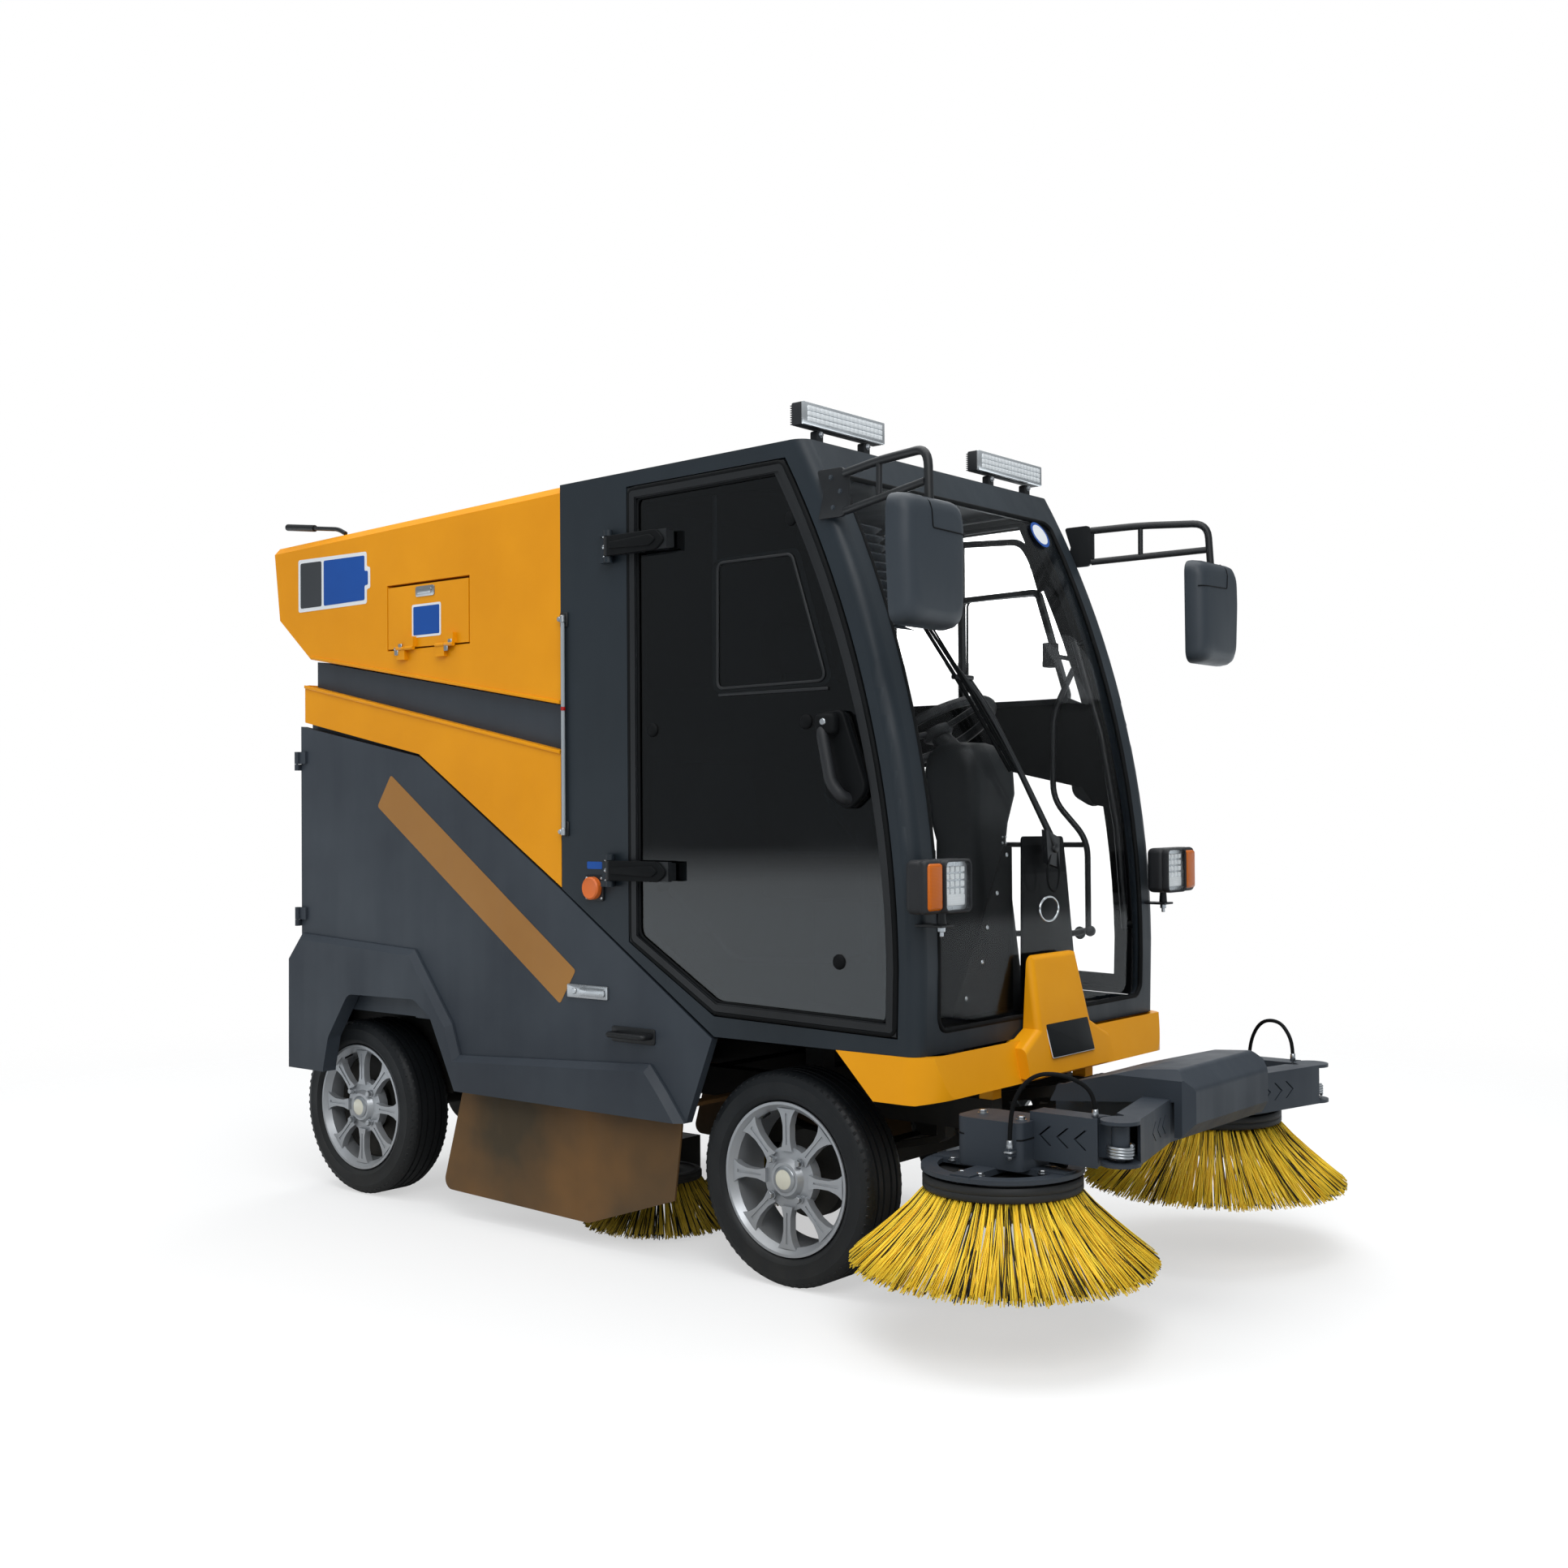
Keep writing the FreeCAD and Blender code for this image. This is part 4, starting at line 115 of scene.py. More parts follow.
class Graph:
    """A node tree that short calls fill."""

    def __init__(self, tree: bpy.types.NodeTree) -> None:
        """Starts filling a tree."""
        self.tree = tree

    @classmethod
    def of(cls, owner: bpy.types.ID) -> "Graph":
        """The emptied tree of a material or a world."""
        owner.use_nodes = True
        owner.node_tree.nodes.clear()
        return cls(owner.node_tree)

    def add(self, kind: str, feeds: Optional[dict] = None, **settings: object) -> bpy.types.Node:
        """Adds a node.

        Args:
            kind: The node's Blender type.
            feeds: Values or output sockets for its inputs, by name or index.
            settings: Properties of the node itself.

        Returns:
            The new node.
        """
        node = self.tree.nodes.new(kind)
        for name, value in settings.items():
            setattr(node, name, value)
        for key, value in (feeds or {}).items():
            self.feed(node.inputs[key], value)
        return node

    def feed(self, socket: bpy.types.NodeSocket, value: object) -> None:
        """Sets an input to a value, or links it to an output socket."""
        if isinstance(value, bpy.types.NodeSocket):
            self.tree.links.new(value, socket)
        else:
            socket.default_value = value

    def math(self, operation: str, *values: object) -> bpy.types.NodeSocket:
        """Adds a sum on numbers and returns its result."""
        feeds = dict(enumerate(values))
        return self.add("ShaderNodeMath", feeds, operation=operation).outputs[0]

    def mix(self, share: object, first: object, second: object) -> bpy.types.NodeSocket:
        """Mixes two colours, by the share of the second."""
        return self.add("ShaderNodeMix", {0: share, 6: first, 7: second},
                        data_type="RGBA").outputs[2]

    def blend(self, share: object, first: object, second: object) -> bpy.types.NodeSocket:
        """Mixes two shaders, by the share of the second."""
        return self.add("ShaderNodeMixShader", {0: share, 1: first, 2: second}).outputs[0]

    def spread(self, value: object, low: float, high: object, start: object = 0.0,
               end: object = 1.0, **settings: object) -> bpy.types.NodeSocket:
        """Maps the range from low to high to the range from start to end."""
        return self.add("ShaderNodeMapRange", {
            "Value": value, "From Min": low, "From Max": high, "To Min": start,
            "To Max": end}, **settings).outputs[0]

    def noise(self, place: object, scale: object, detail: float) -> bpy.types.NodeSocket:
        """Adds a noise pattern and returns its height."""
        return self.add("ShaderNodeTexNoise", {
            "Vector": place, "Scale": scale, "Detail": detail}).outputs["Fac"]

    def bump(self, height: object, strength: float) -> bpy.types.NodeSocket:
        """Turns a height into a normal."""
        return self.add("ShaderNodeBump", {
            "Height": height, "Strength": strength, "Distance": MM}).outputs[0]

    def place(self) -> bpy.types.NodeSocket:
        """The place on the object."""
        return self.add("ShaderNodeTexCoord").outputs["Object"]

    def principled(self, feeds: dict) -> bpy.types.NodeSocket:
        """Adds the surface shader."""
        return self.add("ShaderNodeBsdfPrincipled", feeds).outputs[0]


def new_group(name: str, kind: str, inputs: Sequence[tuple], outputs: Sequence[tuple]) -> Graph:
    """Makes an empty node group with named sockets.

    Args:
        name: The group's name.
        kind: The tree's Blender type.
        inputs: Name, socket type and default value of each input.
        outputs: Name and socket type of each output.

    Returns:
        The graph of the group.
    """
    tree = bpy.data.node_groups.new(name, kind)
    for label, socket, value in inputs:
        made = tree.interface.new_socket(label, in_out="INPUT", socket_type=socket)
        if value is not None:
            made.default_value = value
    for label, socket in outputs:
        tree.interface.new_socket(label, in_out="OUTPUT", socket_type=socket)
    return Graph(tree)


def wear_group() -> bpy.types.NodeTree:
    """Builds the shared group that gives paint its drift in tone, its road dust and its grain.

    Returns:
        A shader group that puts out a tone mask, a dust mask, a roughness and a fine height.
    """
    sizes = {"Patch Scale": 3.0, "Grain Scale": 900.0, "Dust Height": 0.5, "Dust": 0.3,
             "Smooth": 0.3, "Rough": 0.5}
    graph = new_group("SurfaceWear", "ShaderNodeTree", [
        ("Vector", "NodeSocketVector", None),
        *((label, "NodeSocketFloat", value) for label, value in sizes.items())],
        [(label, "NodeSocketFloat") for label in ("Tone", "Dust", "Roughness", "Height")])
    ins = graph.add("NodeGroupInput").outputs
    patch = graph.noise(ins["Vector"], ins["Patch Scale"], 4.0)
    stretched = graph.add("ShaderNodeMapping", {
        "Vector": ins["Vector"], "Scale": (9.0, 9.0, 1.2)}).outputs[0]
    streak = graph.noise(stretched, 2.0, 6.0)
    grain = graph.noise(ins["Vector"], ins["Grain Scale"], 2.0)
    height = graph.add("ShaderNodeSeparateXYZ", {"Vector": ins["Vector"]}).outputs["Z"]
    faded = graph.math("POWER", graph.spread(height, 0.0, ins["Dust Height"], 1.0, 0.0), 1.6)
    splashed = graph.math("MULTIPLY", faded, graph.math("MULTIPLY", streak, 1.5))
    blotch = graph.math("MULTIPLY", graph.math("ADD", patch, streak), 0.5)
    graph.add("NodeGroupOutput", {
        "Tone": graph.spread(patch, 0.3, 0.7),
        "Dust": graph.math("MULTIPLY", splashed, ins["Dust"]),
        "Roughness": graph.spread(blotch, 0.35, 0.65, ins["Smooth"], ins["Rough"]),
        "Height": grain})
    return graph.tree


WEAR = wear_group()
ROAD_DUST = linear("8A8375")


@dataclass(frozen=True)
class Look:
    """What a piece is dressed in: a material that is built the first time it is asked for."""

    name: str

    def material(self) -> bpy.types.Material:
        """The look as a material."""
        made = bpy.data.materials.get(self.name)
        if not made:
            made = bpy.data.materials.new(self.name)
            graph = Graph.of(made)
            graph.add("ShaderNodeOutputMaterial", {"Surface": self.surface(graph)})
        return made

    def surface(self, graph: Graph) -> bpy.types.NodeSocket:
        """Builds the look's shader in a material's graph."""
        raise NotImplementedError


@dataclass(frozen=True)
class Finish(Look):
    """A painted, moulded or bare surface with its own tone drift, grain and road dust."""

    colour: str
    shade: str
    smooth: float = 0.3
    rough: float = 0.45
    metallic: float = 0.0
    coat: float = 0.0
    grain: float = 900.0
    bump: float = 0.05
    dust: float = 0.3
    dust_height: float = 0.55
    patch: float = 3.0
    shine: float = 0.5

    def surface(self, graph: Graph) -> bpy.types.NodeSocket:
        """Builds the surface from the shared wear group."""
        wear = graph.add("ShaderNodeGroup", node_tree=WEAR)
        for key, value in {
            "Vector": graph.place(), "Patch Scale": self.patch, "Grain Scale": self.grain,
            "Dust Height": self.dust_height, "Dust": self.dust, "Smooth": self.smooth,
            "Rough": self.rough,
        }.items():
            graph.feed(wear.inputs[key], value)
        tone = graph.mix(wear.outputs["Tone"], linear(self.colour), linear(self.shade))
        return graph.principled({
            "Base Color": graph.mix(wear.outputs["Dust"], tone, ROAD_DUST),
            "Roughness": wear.outputs["Roughness"], "Metallic": self.metallic,
            "Coat Weight": self.coat, "Coat Roughness": 0.12, "Specular IOR Level": self.shine,
            "Normal": graph.bump(wear.outputs["Height"], self.bump)})


@dataclass(frozen=True)
class GlassFinish(Look):
    """A clear or tinted pane with faint smears in its gloss."""

    tint: str
    roughness: float = 0.02
    ior: float = 1.45
    lets_in: float = 0.35

    def surface(self, graph: Graph) -> bpy.types.NodeSocket:
        """Builds a pane that bounced light crosses straight, to keep noise out of the cab."""
        smear = graph.noise(graph.place(), 5.0, 5.0)
        rays = graph.add("ShaderNodeLightPath").outputs
        bounced = graph.math("MAXIMUM", rays["Is Diffuse Ray"], rays["Is Glossy Ray"])
        light = graph.math("MULTIPLY", bounced,
                           graph.math("SUBTRACT", 1.0, rays["Is Transmission Ray"]))
        shadow = graph.math("MULTIPLY", rays["Is Shadow Ray"], self.lets_in)
        passed = graph.math("MAXIMUM", shadow, light)
        return graph.principled({
            "Base Color": linear(self.tint), "IOR": self.ior,
            "Roughness": graph.spread(smear, 0.4, 0.75, self.roughness, self.roughness + 0.04),
            "Alpha": graph.math("SUBTRACT", 1.0, passed), "Transmission Weight": 1.0})


@dataclass(frozen=True)
class BristleFinish(Look):
    """Nylon strands, most of them in one colour and the rest in another."""

    colour: str
    shade: str
    dark: str
    dark_share: float

    def surface(self, graph: Graph) -> bpy.types.NodeSocket:
        """Builds the strands' surface from each strand's own number."""
        number = graph.add("ShaderNodeAttribute", attribute_name="strand").outputs["Fac"]
        tone = graph.mix(number, linear(self.colour), linear(self.shade))
        is_dark = graph.math("GREATER_THAN", number, 1.0 - self.dark_share)
        return graph.principled({"Base Color": graph.mix(is_dark, tone, linear(self.dark)),
                                 "Roughness": 0.42, "Specular IOR Level": 0.2})


@dataclass(frozen=True)
class LensFinish(Look):
    """A moulded lamp lens: bright or amber plastic with fine flutes."""

    colour: str
    flutes: float
    glow: float = 0.0
    light: str = "E4E8EA"

    def surface(self, graph: Graph) -> bpy.types.NodeSocket:
        """Builds the lens with flutes in its bump."""
        wave = graph.add("ShaderNodeTexWave", {
            "Vector": graph.place(), "Scale": self.flutes, "Distortion": 0.2},
            bands_direction="Z").outputs["Fac"]
        tone = graph.mix(graph.math("MULTIPLY", wave, 0.35), linear(self.colour),
                         linear(self.light))
        return graph.principled({
            "Base Color": tone, "Roughness": 0.2, "Specular IOR Level": 0.25,
            "Emission Color": tone, "Emission Strength": self.glow,
            "Normal": graph.bump(wave, 0.3)})


YELLOW = Finish("YellowPaint", "E99A0A", "DD8F06", 0.32, 0.46, coat=0.03, dust=0.08, bump=0.03,
                shine=0.14)
BUMPER_YELLOW = Finish("BumperYellow", "F0A414", "E5980A", 0.34, 0.48, coat=0.03, dust=0.06,
                       shine=0.16)
DARK = Finish("DarkPaint", "323941", "2A3038", 0.45, 0.6, dust=0.12, shine=0.32)
CAB_DARK = Finish("CabPaint", "20282F", "1B2228", 0.4, 0.55, dust=0.08, shine=0.28)
BLACK_STEEL = Finish("BlackSteel", "15171A", "101214", 0.4, 0.55, dust=0.1, shine=0.35)
CHASSIS = Finish("ChassisPaint", "101113", "0B0C0D", 0.55, 0.75, dust=0.2, dust_height=0.8,
                 shine=0.3)
PLASTIC = Finish("DarkPlastic", "1D1F22", "17181B", 0.45, 0.62, grain=1400, bump=0.18, dust=0.06,
                 shine=0.35)
SEAL = Finish("SealRubber", "0C0E10", "090A0B", 0.6, 0.75, dust=0.03, bump=0.02, shine=0.12)
ALLOY = Finish("WheelAlloy", "B0B4B9", "A2A6AB", 0.34, 0.5, metallic=0.55, coat=0.1,
               dust_height=0.7)
STEEL = Finish("ZincSteel", "B8BBBE", "9B9FA3", 0.22, 0.42, metallic=0.95, dust=0.1)
RUBBER = Finish("TyreRubber", "171A1D", "121518", 0.42, 0.6, grain=500, bump=0.2, dust=0.06,
                dust_height=0.5, patch=8.0, shine=0.3)
FLAP = Finish("FlapRubber", "765227", "423726", 0.5, 0.75, dust=0.12, dust_height=0.5, shine=0.3)
DISC = Finish("BrushDisc", "1D1F21", "16181A", 0.5, 0.7, grain=700, bump=0.2, dust=0.15,
              shine=0.35)
SEAT_COVER = Finish("SeatCover", "0D0E0F", "090A0A", 0.5, 0.65, grain=1600, bump=0.4, dust=0.0,
                    shine=0.3)
BATTERY = Finish("BatteryCase", "232529", "1A1C1F", 0.4, 0.6, dust=0.1)
CAP = Finish("HubCapInsert", "D8D6C6", "C9C6B4", 0.2, 0.3, coat=0.5, dust=0.05)
PLATE = Finish("PlateFace", "17191B", "131517", 0.4, 0.5, dust=0.0, shine=0.2)
STICKER = Finish("BandSticker", "A06F2C", "946425", 0.35, 0.45, dust=0.05, shine=0.35)
LABEL_BLUE = Finish("LabelBlue", "1550A4", "124896", 0.28, 0.36, dust=0.0, shine=0.2)
LABEL_WHITE = Finish("LabelWhite", "E9EBED", "DDE0E3", 0.28, 0.36, coat=0.3, dust=0.0)
LABEL_GREY = Finish("LabelGrey", "33363A", "2D3034", 0.28, 0.36, coat=0.1, dust=0.0)
ORANGE_CAP = Finish("SocketCap", "DE6E28", "CC6120", 0.4, 0.55, dust=0.05)
REFLECTOR = Finish("LampReflector", "C2C6CA", "B2B6BA", 0.2, 0.34, metallic=0.5, dust=0.0)
CHROME = Finish("BrightTrim", "DDE0E2", "CDD0D3", 0.14, 0.24, metallic=0.85, dust=0.0, bump=0.0)
MIRROR_CASE = Finish("MirrorCase", "2F363D", "293037", 0.42, 0.55, grain=1400, bump=0.15,
                     dust=0.0, shine=0.35)
TUBE = Finish("TubePlastic", "A2A9AE", "949BA0", 0.16, 0.26, coat=0.4, dust=0.0, bump=0.0)
POD = Finish("PodPlastic", "15181B", "101316", 0.5, 0.65, grain=1400, bump=0.18, dust=0.0,
             shine=0.25)
MIRROR_GLASS = Finish("MirrorGlass", "DDE2E6", "D5DADF", 0.02, 0.04, metallic=1.0, dust=0.0,
                      bump=0.0)
CLEAR = GlassFinish("ClearGlass", "FEFFFF", ior=1.1)
# One door glass in two looks: the right door's pane gets a dark tint as painted shade, and the
# left door's pane stays clear white as painted light.
SHADED_DOOR_GLASS = GlassFinish("TintedGlass", "303B43", lets_in=0.15)
LIT_DOOR_GLASS = GlassFinish("LightTint", "FFFFFF", ior=1.08)
BRISTLES = BristleFinish("BrushBristle", "FFE04A", "F8C62C", "141516", 0.17)
WORN_BRISTLES = BristleFinish("WornBristle", "D2B23C", "9C8228", "151513", 0.3)
LED_LENS = LensFinish("LedLens", "EEF1F3", 60.0, 0.12)
CELL_LENS = LensFinish("CellLens", "D4D8DB", 60.0, 0.06)
AMBER_LENS = LensFinish("AmberLens", "BE5A08", 130.0, 0.0, "D88018")
# The level mark is no lamp; its small glow is painted light.
GLOWING_RED_MARK = LensFinish("RedLens", "A8100A", 130.0, 0.02, "8E0C08")


# Outlines

def turns(steps: int, start: float = 0.0) -> list[float]:
    """The angles of a full turn in equal steps; start is a share of one step."""
    return [2 * math.pi * (i + start) / steps for i in range(steps)]


def oval(wide: float, high: float, steps: int, centre: Point = (0.0, 0.0)) -> Outline:
    """An oval outline about a centre."""
    return [(centre[0] + wide * math.cos(a), centre[1] + high * math.sin(a))
            for a in turns(steps)]


def bow(start: Point, end: Point, radius: float, steps: int = 16) -> Outline:
    """Points along an arc that bulges to the right of its travel, its first end left out.

    Args:
        start: Where the arc starts, as two numbers.
        end: Where it ends.
        radius: Its radius.
        steps: How many runs it is divided into.

    Returns:
        The points after the start, up to and with the end.
    """
    a, b = Vector(start), Vector(end)
    along = b - a
    left = Vector((-along.y, along.x)).normalized()
    centre = (a + b) / 2 + left * math.sqrt(radius ** 2 - along.length_squared / 4)
    first, last = (math.atan2(*(p - centre).yx) for p in (a, b))
    last += 2 * math.pi * round((first - last) / (2 * math.pi))
    return [tuple(centre + radius * Vector((math.cos(t), math.sin(t))))
            for t in (first + (last - first) * i / steps for i in range(1, steps + 1))]


def rounded(points: Sequence[Point], radius: float, steps: int = 6) -> Outline:
    """A closed outline with its corners rounded; a point's third number is its own radius."""
    out = []
    for before, here, after in zip([points[-1], *points[:-1]], points, [*points[1:], points[0]]):
        b, h, a = (Vector(p[:2]) for p in (before, here, after))
        own = here[2] if len(here) > 2 else radius
        back, on = (b - h).normalized(), (a - h).normalized()
        half = back.angle(on) / 2
        reach = min(own / math.tan(half), (b - h).length / 2, (a - h).length / 2)
        if reach < 0.01:
            out.append(tuple(h))
            continue
        for i in range(steps + 1):
            t = i / steps
            out.append(tuple((1 - t) ** 2 * (h + back * reach) + 2 * t * (1 - t) * h
                             + t * t * (h + on * reach)))
    return out


def panel(low: Point, high: Point, radius: float) -> Outline:
    """A rectangle with rounded corners, from its lowest corner to its highest."""
    return rounded([low, (high[0], low[1]), high, (low[0], high[1])], radius)


def inset(points: Sequence[Point], by: float) -> Outline:
    """A closed outline drawn in by a distance; a negative distance grows it."""
    flat = [Vector(p[:2]) for p in points]
    area = sum(a.x * b.y - b.x * a.y for a, b in zip(flat, [*flat[1:], flat[0]]))
    sign = 1 if area > 0 else -1
    out = []
    for b, h, a in zip([flat[-1], *flat[:-1]], flat, [*flat[1:], flat[0]]):
        n1 = Vector((-(h - b).y, (h - b).x)).normalized() * sign
        n2 = Vector((-(a - h).y, (a - h).x)).normalized() * sign
        middle = (n1 + n2).normalized()
        out.append(tuple(h + middle * by / max(0.3, middle.dot(n1))))
    return out


# Mesh building

class Form:
    """Solids gathered into one mesh, given in the vehicle's millimetres."""

    def __init__(self) -> None:
        """Starts with an empty mesh."""
        self.mesh = bmesh.new()

    def take(self, name: str) -> bpy.types.Mesh:
        """Hands the mesh over as Blender data and lets go of it."""
        data = bpy.data.meshes.new(name)
        self.mesh.to_mesh(data)
        self.mesh.free()
        return data

    def box(self, xs: Point, ys: Point, zs: Point, edge: float = 0.0, steps: int = 2) -> "Form":
        """Adds a box between two stations, sides and heights, with rounded edges."""
        low, high = at(xs[0], ys[0], zs[0]), at(xs[1], ys[1], zs[1])
        middle, size = (low + high) / 2, high - low
        matrix = Matrix.Translation(middle) @ Matrix.Diagonal((*(abs(c) for c in size), 1))
        made = bmesh.ops.create_cube(self.mesh, size=1.0, matrix=matrix)["verts"]
        self.soften({e for v in made for e in v.link_edges}, edge, steps)
        return self

    def soften(self, edges: Iterable[bmesh.types.BMEdge], edge: float, steps: int) -> None:
        """Rounds some edges."""
        if edge > 0:
            bmesh.ops.bevel(self.mesh, geom=list(edges), offset=edge * MM, segments=steps,
                            profile=0.5, affect="EDGES", clamp_overlap=True)

    def rings(self, rings: Sequence[Ring], closed: bool = False) -> "Form":
        """Joins rings of equal length into a skin, and fills its two ends.

        Args:
            rings: The rings in order, in the frame's metres.
            closed: Whether the last ring joins the first, with no ends to fill.

        Returns:
            This form.
        """
        rows = [[self.mesh.verts.new(p) for p in ring] for ring in rings]
        count = len(rows[0])
        pairs = list(zip(rows, rows[1:])) + ([(rows[-1], rows[0])] if closed else [])
        faces = []
        for a, b in pairs:
            for i in range(count):
                j = (i + 1) % count
                faces.append(self.mesh.faces.new((a[i], a[j], b[j], b[i])))
        if not closed:
            faces.append(self.mesh.faces.new(list(reversed(rows[0]))))
            faces.append(self.mesh.faces.new(rows[-1]))
        bmesh.ops.recalc_face_normals(self.mesh, faces=faces)
        return self

    def lathe(self, centre: Vector, axis: Point, profile: Sequence[Point], steps: int = 48,
              closed: bool = True) -> "Form":
        """Turns a profile of (radius, along) points about an axis.

        Args:
            centre: A point on the axis, in metres.
            axis: The axis's direction.
            profile: Radius and distance along the axis of each point, in millimetres.
            steps: How many steps make the turn.
            closed: Whether the profile's last point joins its first.

        Returns:
            This form.
        """
        up = Vector(axis).normalized()
        side = up.orthogonal().normalized()
        other = up.cross(side)
        rows = []
        for angle in turns(steps):
            out = side * math.cos(angle) + other * math.sin(angle)
            rows.append([self.mesh.verts.new(centre + (out * r + up * h) * MM)
                         for r, h in profile])
        faces = []
        count = len(profile)
        for a, b in zip(rows, [*rows[1:], rows[0]]):
            for i in range(count if closed else count - 1):
                j = (i + 1) % count
                if profile[i][0] >= 1e-6 or profile[j][0] >= 1e-6:
                    faces.append(self.mesh.faces.new((a[i], a[j], b[j], b[i])))
        bmesh.ops.remove_doubles(self.mesh, verts=[v for row in rows for v in row], dist=1e-7)
        alive = [f for f in faces if f.is_valid]
        bmesh.ops.recalc_face_normals(self.mesh, faces=alive)
        return self

    def rod(self, start: Vector, end: Vector, radius: float, end_radius: Optional[float] = None,
            steps: int = 20, edge: float = 0.0) -> "Form":
        """Adds a round bar between two points, with small chamfers on its ends."""
        along = end - start
        length = along.length / MM
        tip = radius if end_radius is None else end_radius
        lip = min(edge, length / 3, radius / 3)
        profile = [(0, 0), (radius - lip, 0), (radius, lip), (tip, length - lip),
                   (tip - lip, length), (0, length)]
        return self.lathe(start, along, profile, steps, closed=False)

    def slab(self, outline: Sequence[Point], place: Callable[[float, float], Vector],
             depth: Vector, edge: float = 0.0, steps: int = 2) -> "Form":
        """Extrudes a flat outline.

        Args:
            outline: The outline's points in its own plane.
            place: Turns a point of that plane into a point of the frame.
            depth: How far and which way it is extruded, in millimetres.
            edge: The rounding of its edges.
            steps: The steps of that rounding.

        Returns:
            This form.
        """
        base = [self.mesh.verts.new(place(*p[:2])) for p in outline]
        face = self.mesh.faces.new(base)
        made = bmesh.ops.extrude_face_region(self.mesh, geom=[face])["geom"]
        top = [v for v in made if isinstance(v, bmesh.types.BMVert)]
        bmesh.ops.translate(self.mesh, verts=top, vec=depth * MM)
        everything = {f for v in base + top for f in v.link_faces}
        bmesh.ops.recalc_face_normals(self.mesh, faces=list(everything))
        self.soften({e for f in everything for e in f.edges
                     if all(v in set(top) for v in e.verts)}, edge, steps)
        return self

    def plate(self, axis: str, level: float, outline: Sequence[Point], depth: float,
              edge: float = 0.0, steps: int = 2) -> "Form":
        """Extrudes an outline that lies square to one of the vehicle's axes.

        Args:
            axis: The axis; the outline's points are the other two coordinates in their order.
            level: Where on the axis the outline lies.
            outline: The outline.
            depth: How far it is extruded along the axis.
            edge: The rounding of its edges.
            steps: The steps of that rounding.

        Returns:
            This form.
        """
        number = AXES.index(axis)
        push = Vector((0, 0, 0))
        push[number] = depth

        def place(first: float, second: float) -> Vector:
            spot = [first, second]
            spot.insert(number, level)
            return at(*spot)

        return self.slab(outline, place, push, edge, steps)

    def tube(self, points: Sequence[Vector], radius: float, bend: float = 30.0,
             sides: int = 12, closed: bool = False) -> "Form":
        """Adds a round tube through points, with its corners bent.

        Args:
            points: The run's corners, in metres.
            radius: The tube's radius in millimetres.
            bend: The bend's reach at each inner corner, in millimetres.
            sides: How many sides the tube has.
            closed: Whether the run comes back to its start.

        Returns:
            This form.
        """
        path = bent_path(points, bend * MM, closed)
        return self.rings(tube_rings(path, radius * MM, sides, closed), closed)

    def piece(self, name: str, slot: str, finish: Look, body: str = "chassis",
              replaced: Sequence[str] = (), sharp: float = 40.0) -> bpy.types.Object:
        """Turns the form into an object that rides on a body.

        Args:
            name: The object's name.
            slot: The record's material slot; not used.
            finish: The finish that it is dressed in.
            body: The CAD body that it rides on.
            replaced: CAD nodes that it stands for.
            sharp: The angle in degrees past which an edge stays sharp.

        Returns:
            The object.
        """
        return show(name, self.take(name), finish, body, replaced, sharp)


def show(name: str, data: bpy.types.Mesh, finish: Look, body: str = "chassis",
         replaced: Sequence[str] = (), sharp: float = 40.0) -> bpy.types.Object:
    """Links a finished mesh to the scene as a piece of the sweeper."""
    data.shade_smooth()
    data.set_sharp_from_angle(angle=math.radians(sharp))
    data.materials.clear()
    data.materials.append(finish.material())
    made = link(name, data)
    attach(made, body)
    if replaced:
        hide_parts(*replaced)
    LOG.info("%s: %d faces on %s", name, len(data.polygons), body)
    return made


def bent_path(points: Sequence[Vector], reach: float, closed: bool = False,
              steps: int = 6) -> Ring:
    """A run of points with its inner corners rounded."""
    out = []
    count = len(points)
    for i, here in enumerate(points):
        if not closed and i in (0, count - 1):
            out.append(here.copy())
            continue
        before, after = points[i - 1], points[(i + 1) % count]
        back, on = before - here, after - here
        own = min(reach, back.length * 0.48, on.length * 0.48)
        start, end = here + back.normalized() * own, here + on.normalized() * own
        for k in range(steps + 1):
            t = k / steps
            out.append(start * (1 - t) ** 2 + here * 2 * t * (1 - t) + end * t * t)
    return out


def tube_rings(path: Ring, radius: float, sides: int, closed: bool = False) -> list[Ring]:
    """Rings of a tube that doesn't twist along a path."""
    rings, normal = [], None
    count = len(path)
    for i, here in enumerate(path):
        after = path[(i + 1) % count] if closed or i < count - 1 else here
        before = path[i - 1] if closed or i > 0 else here
        along = (after - before).normalized()
        if normal is None:
            normal = along.orthogonal().normalized()
        normal = (normal - along * normal.dot(along)).normalized()
        other = along.cross(normal)
        rings.append([here + (normal * math.cos(a) + other * math.sin(a)) * radius
                      for a in turns(sides)])
    return rings


# Repeats made with Geometry Nodes

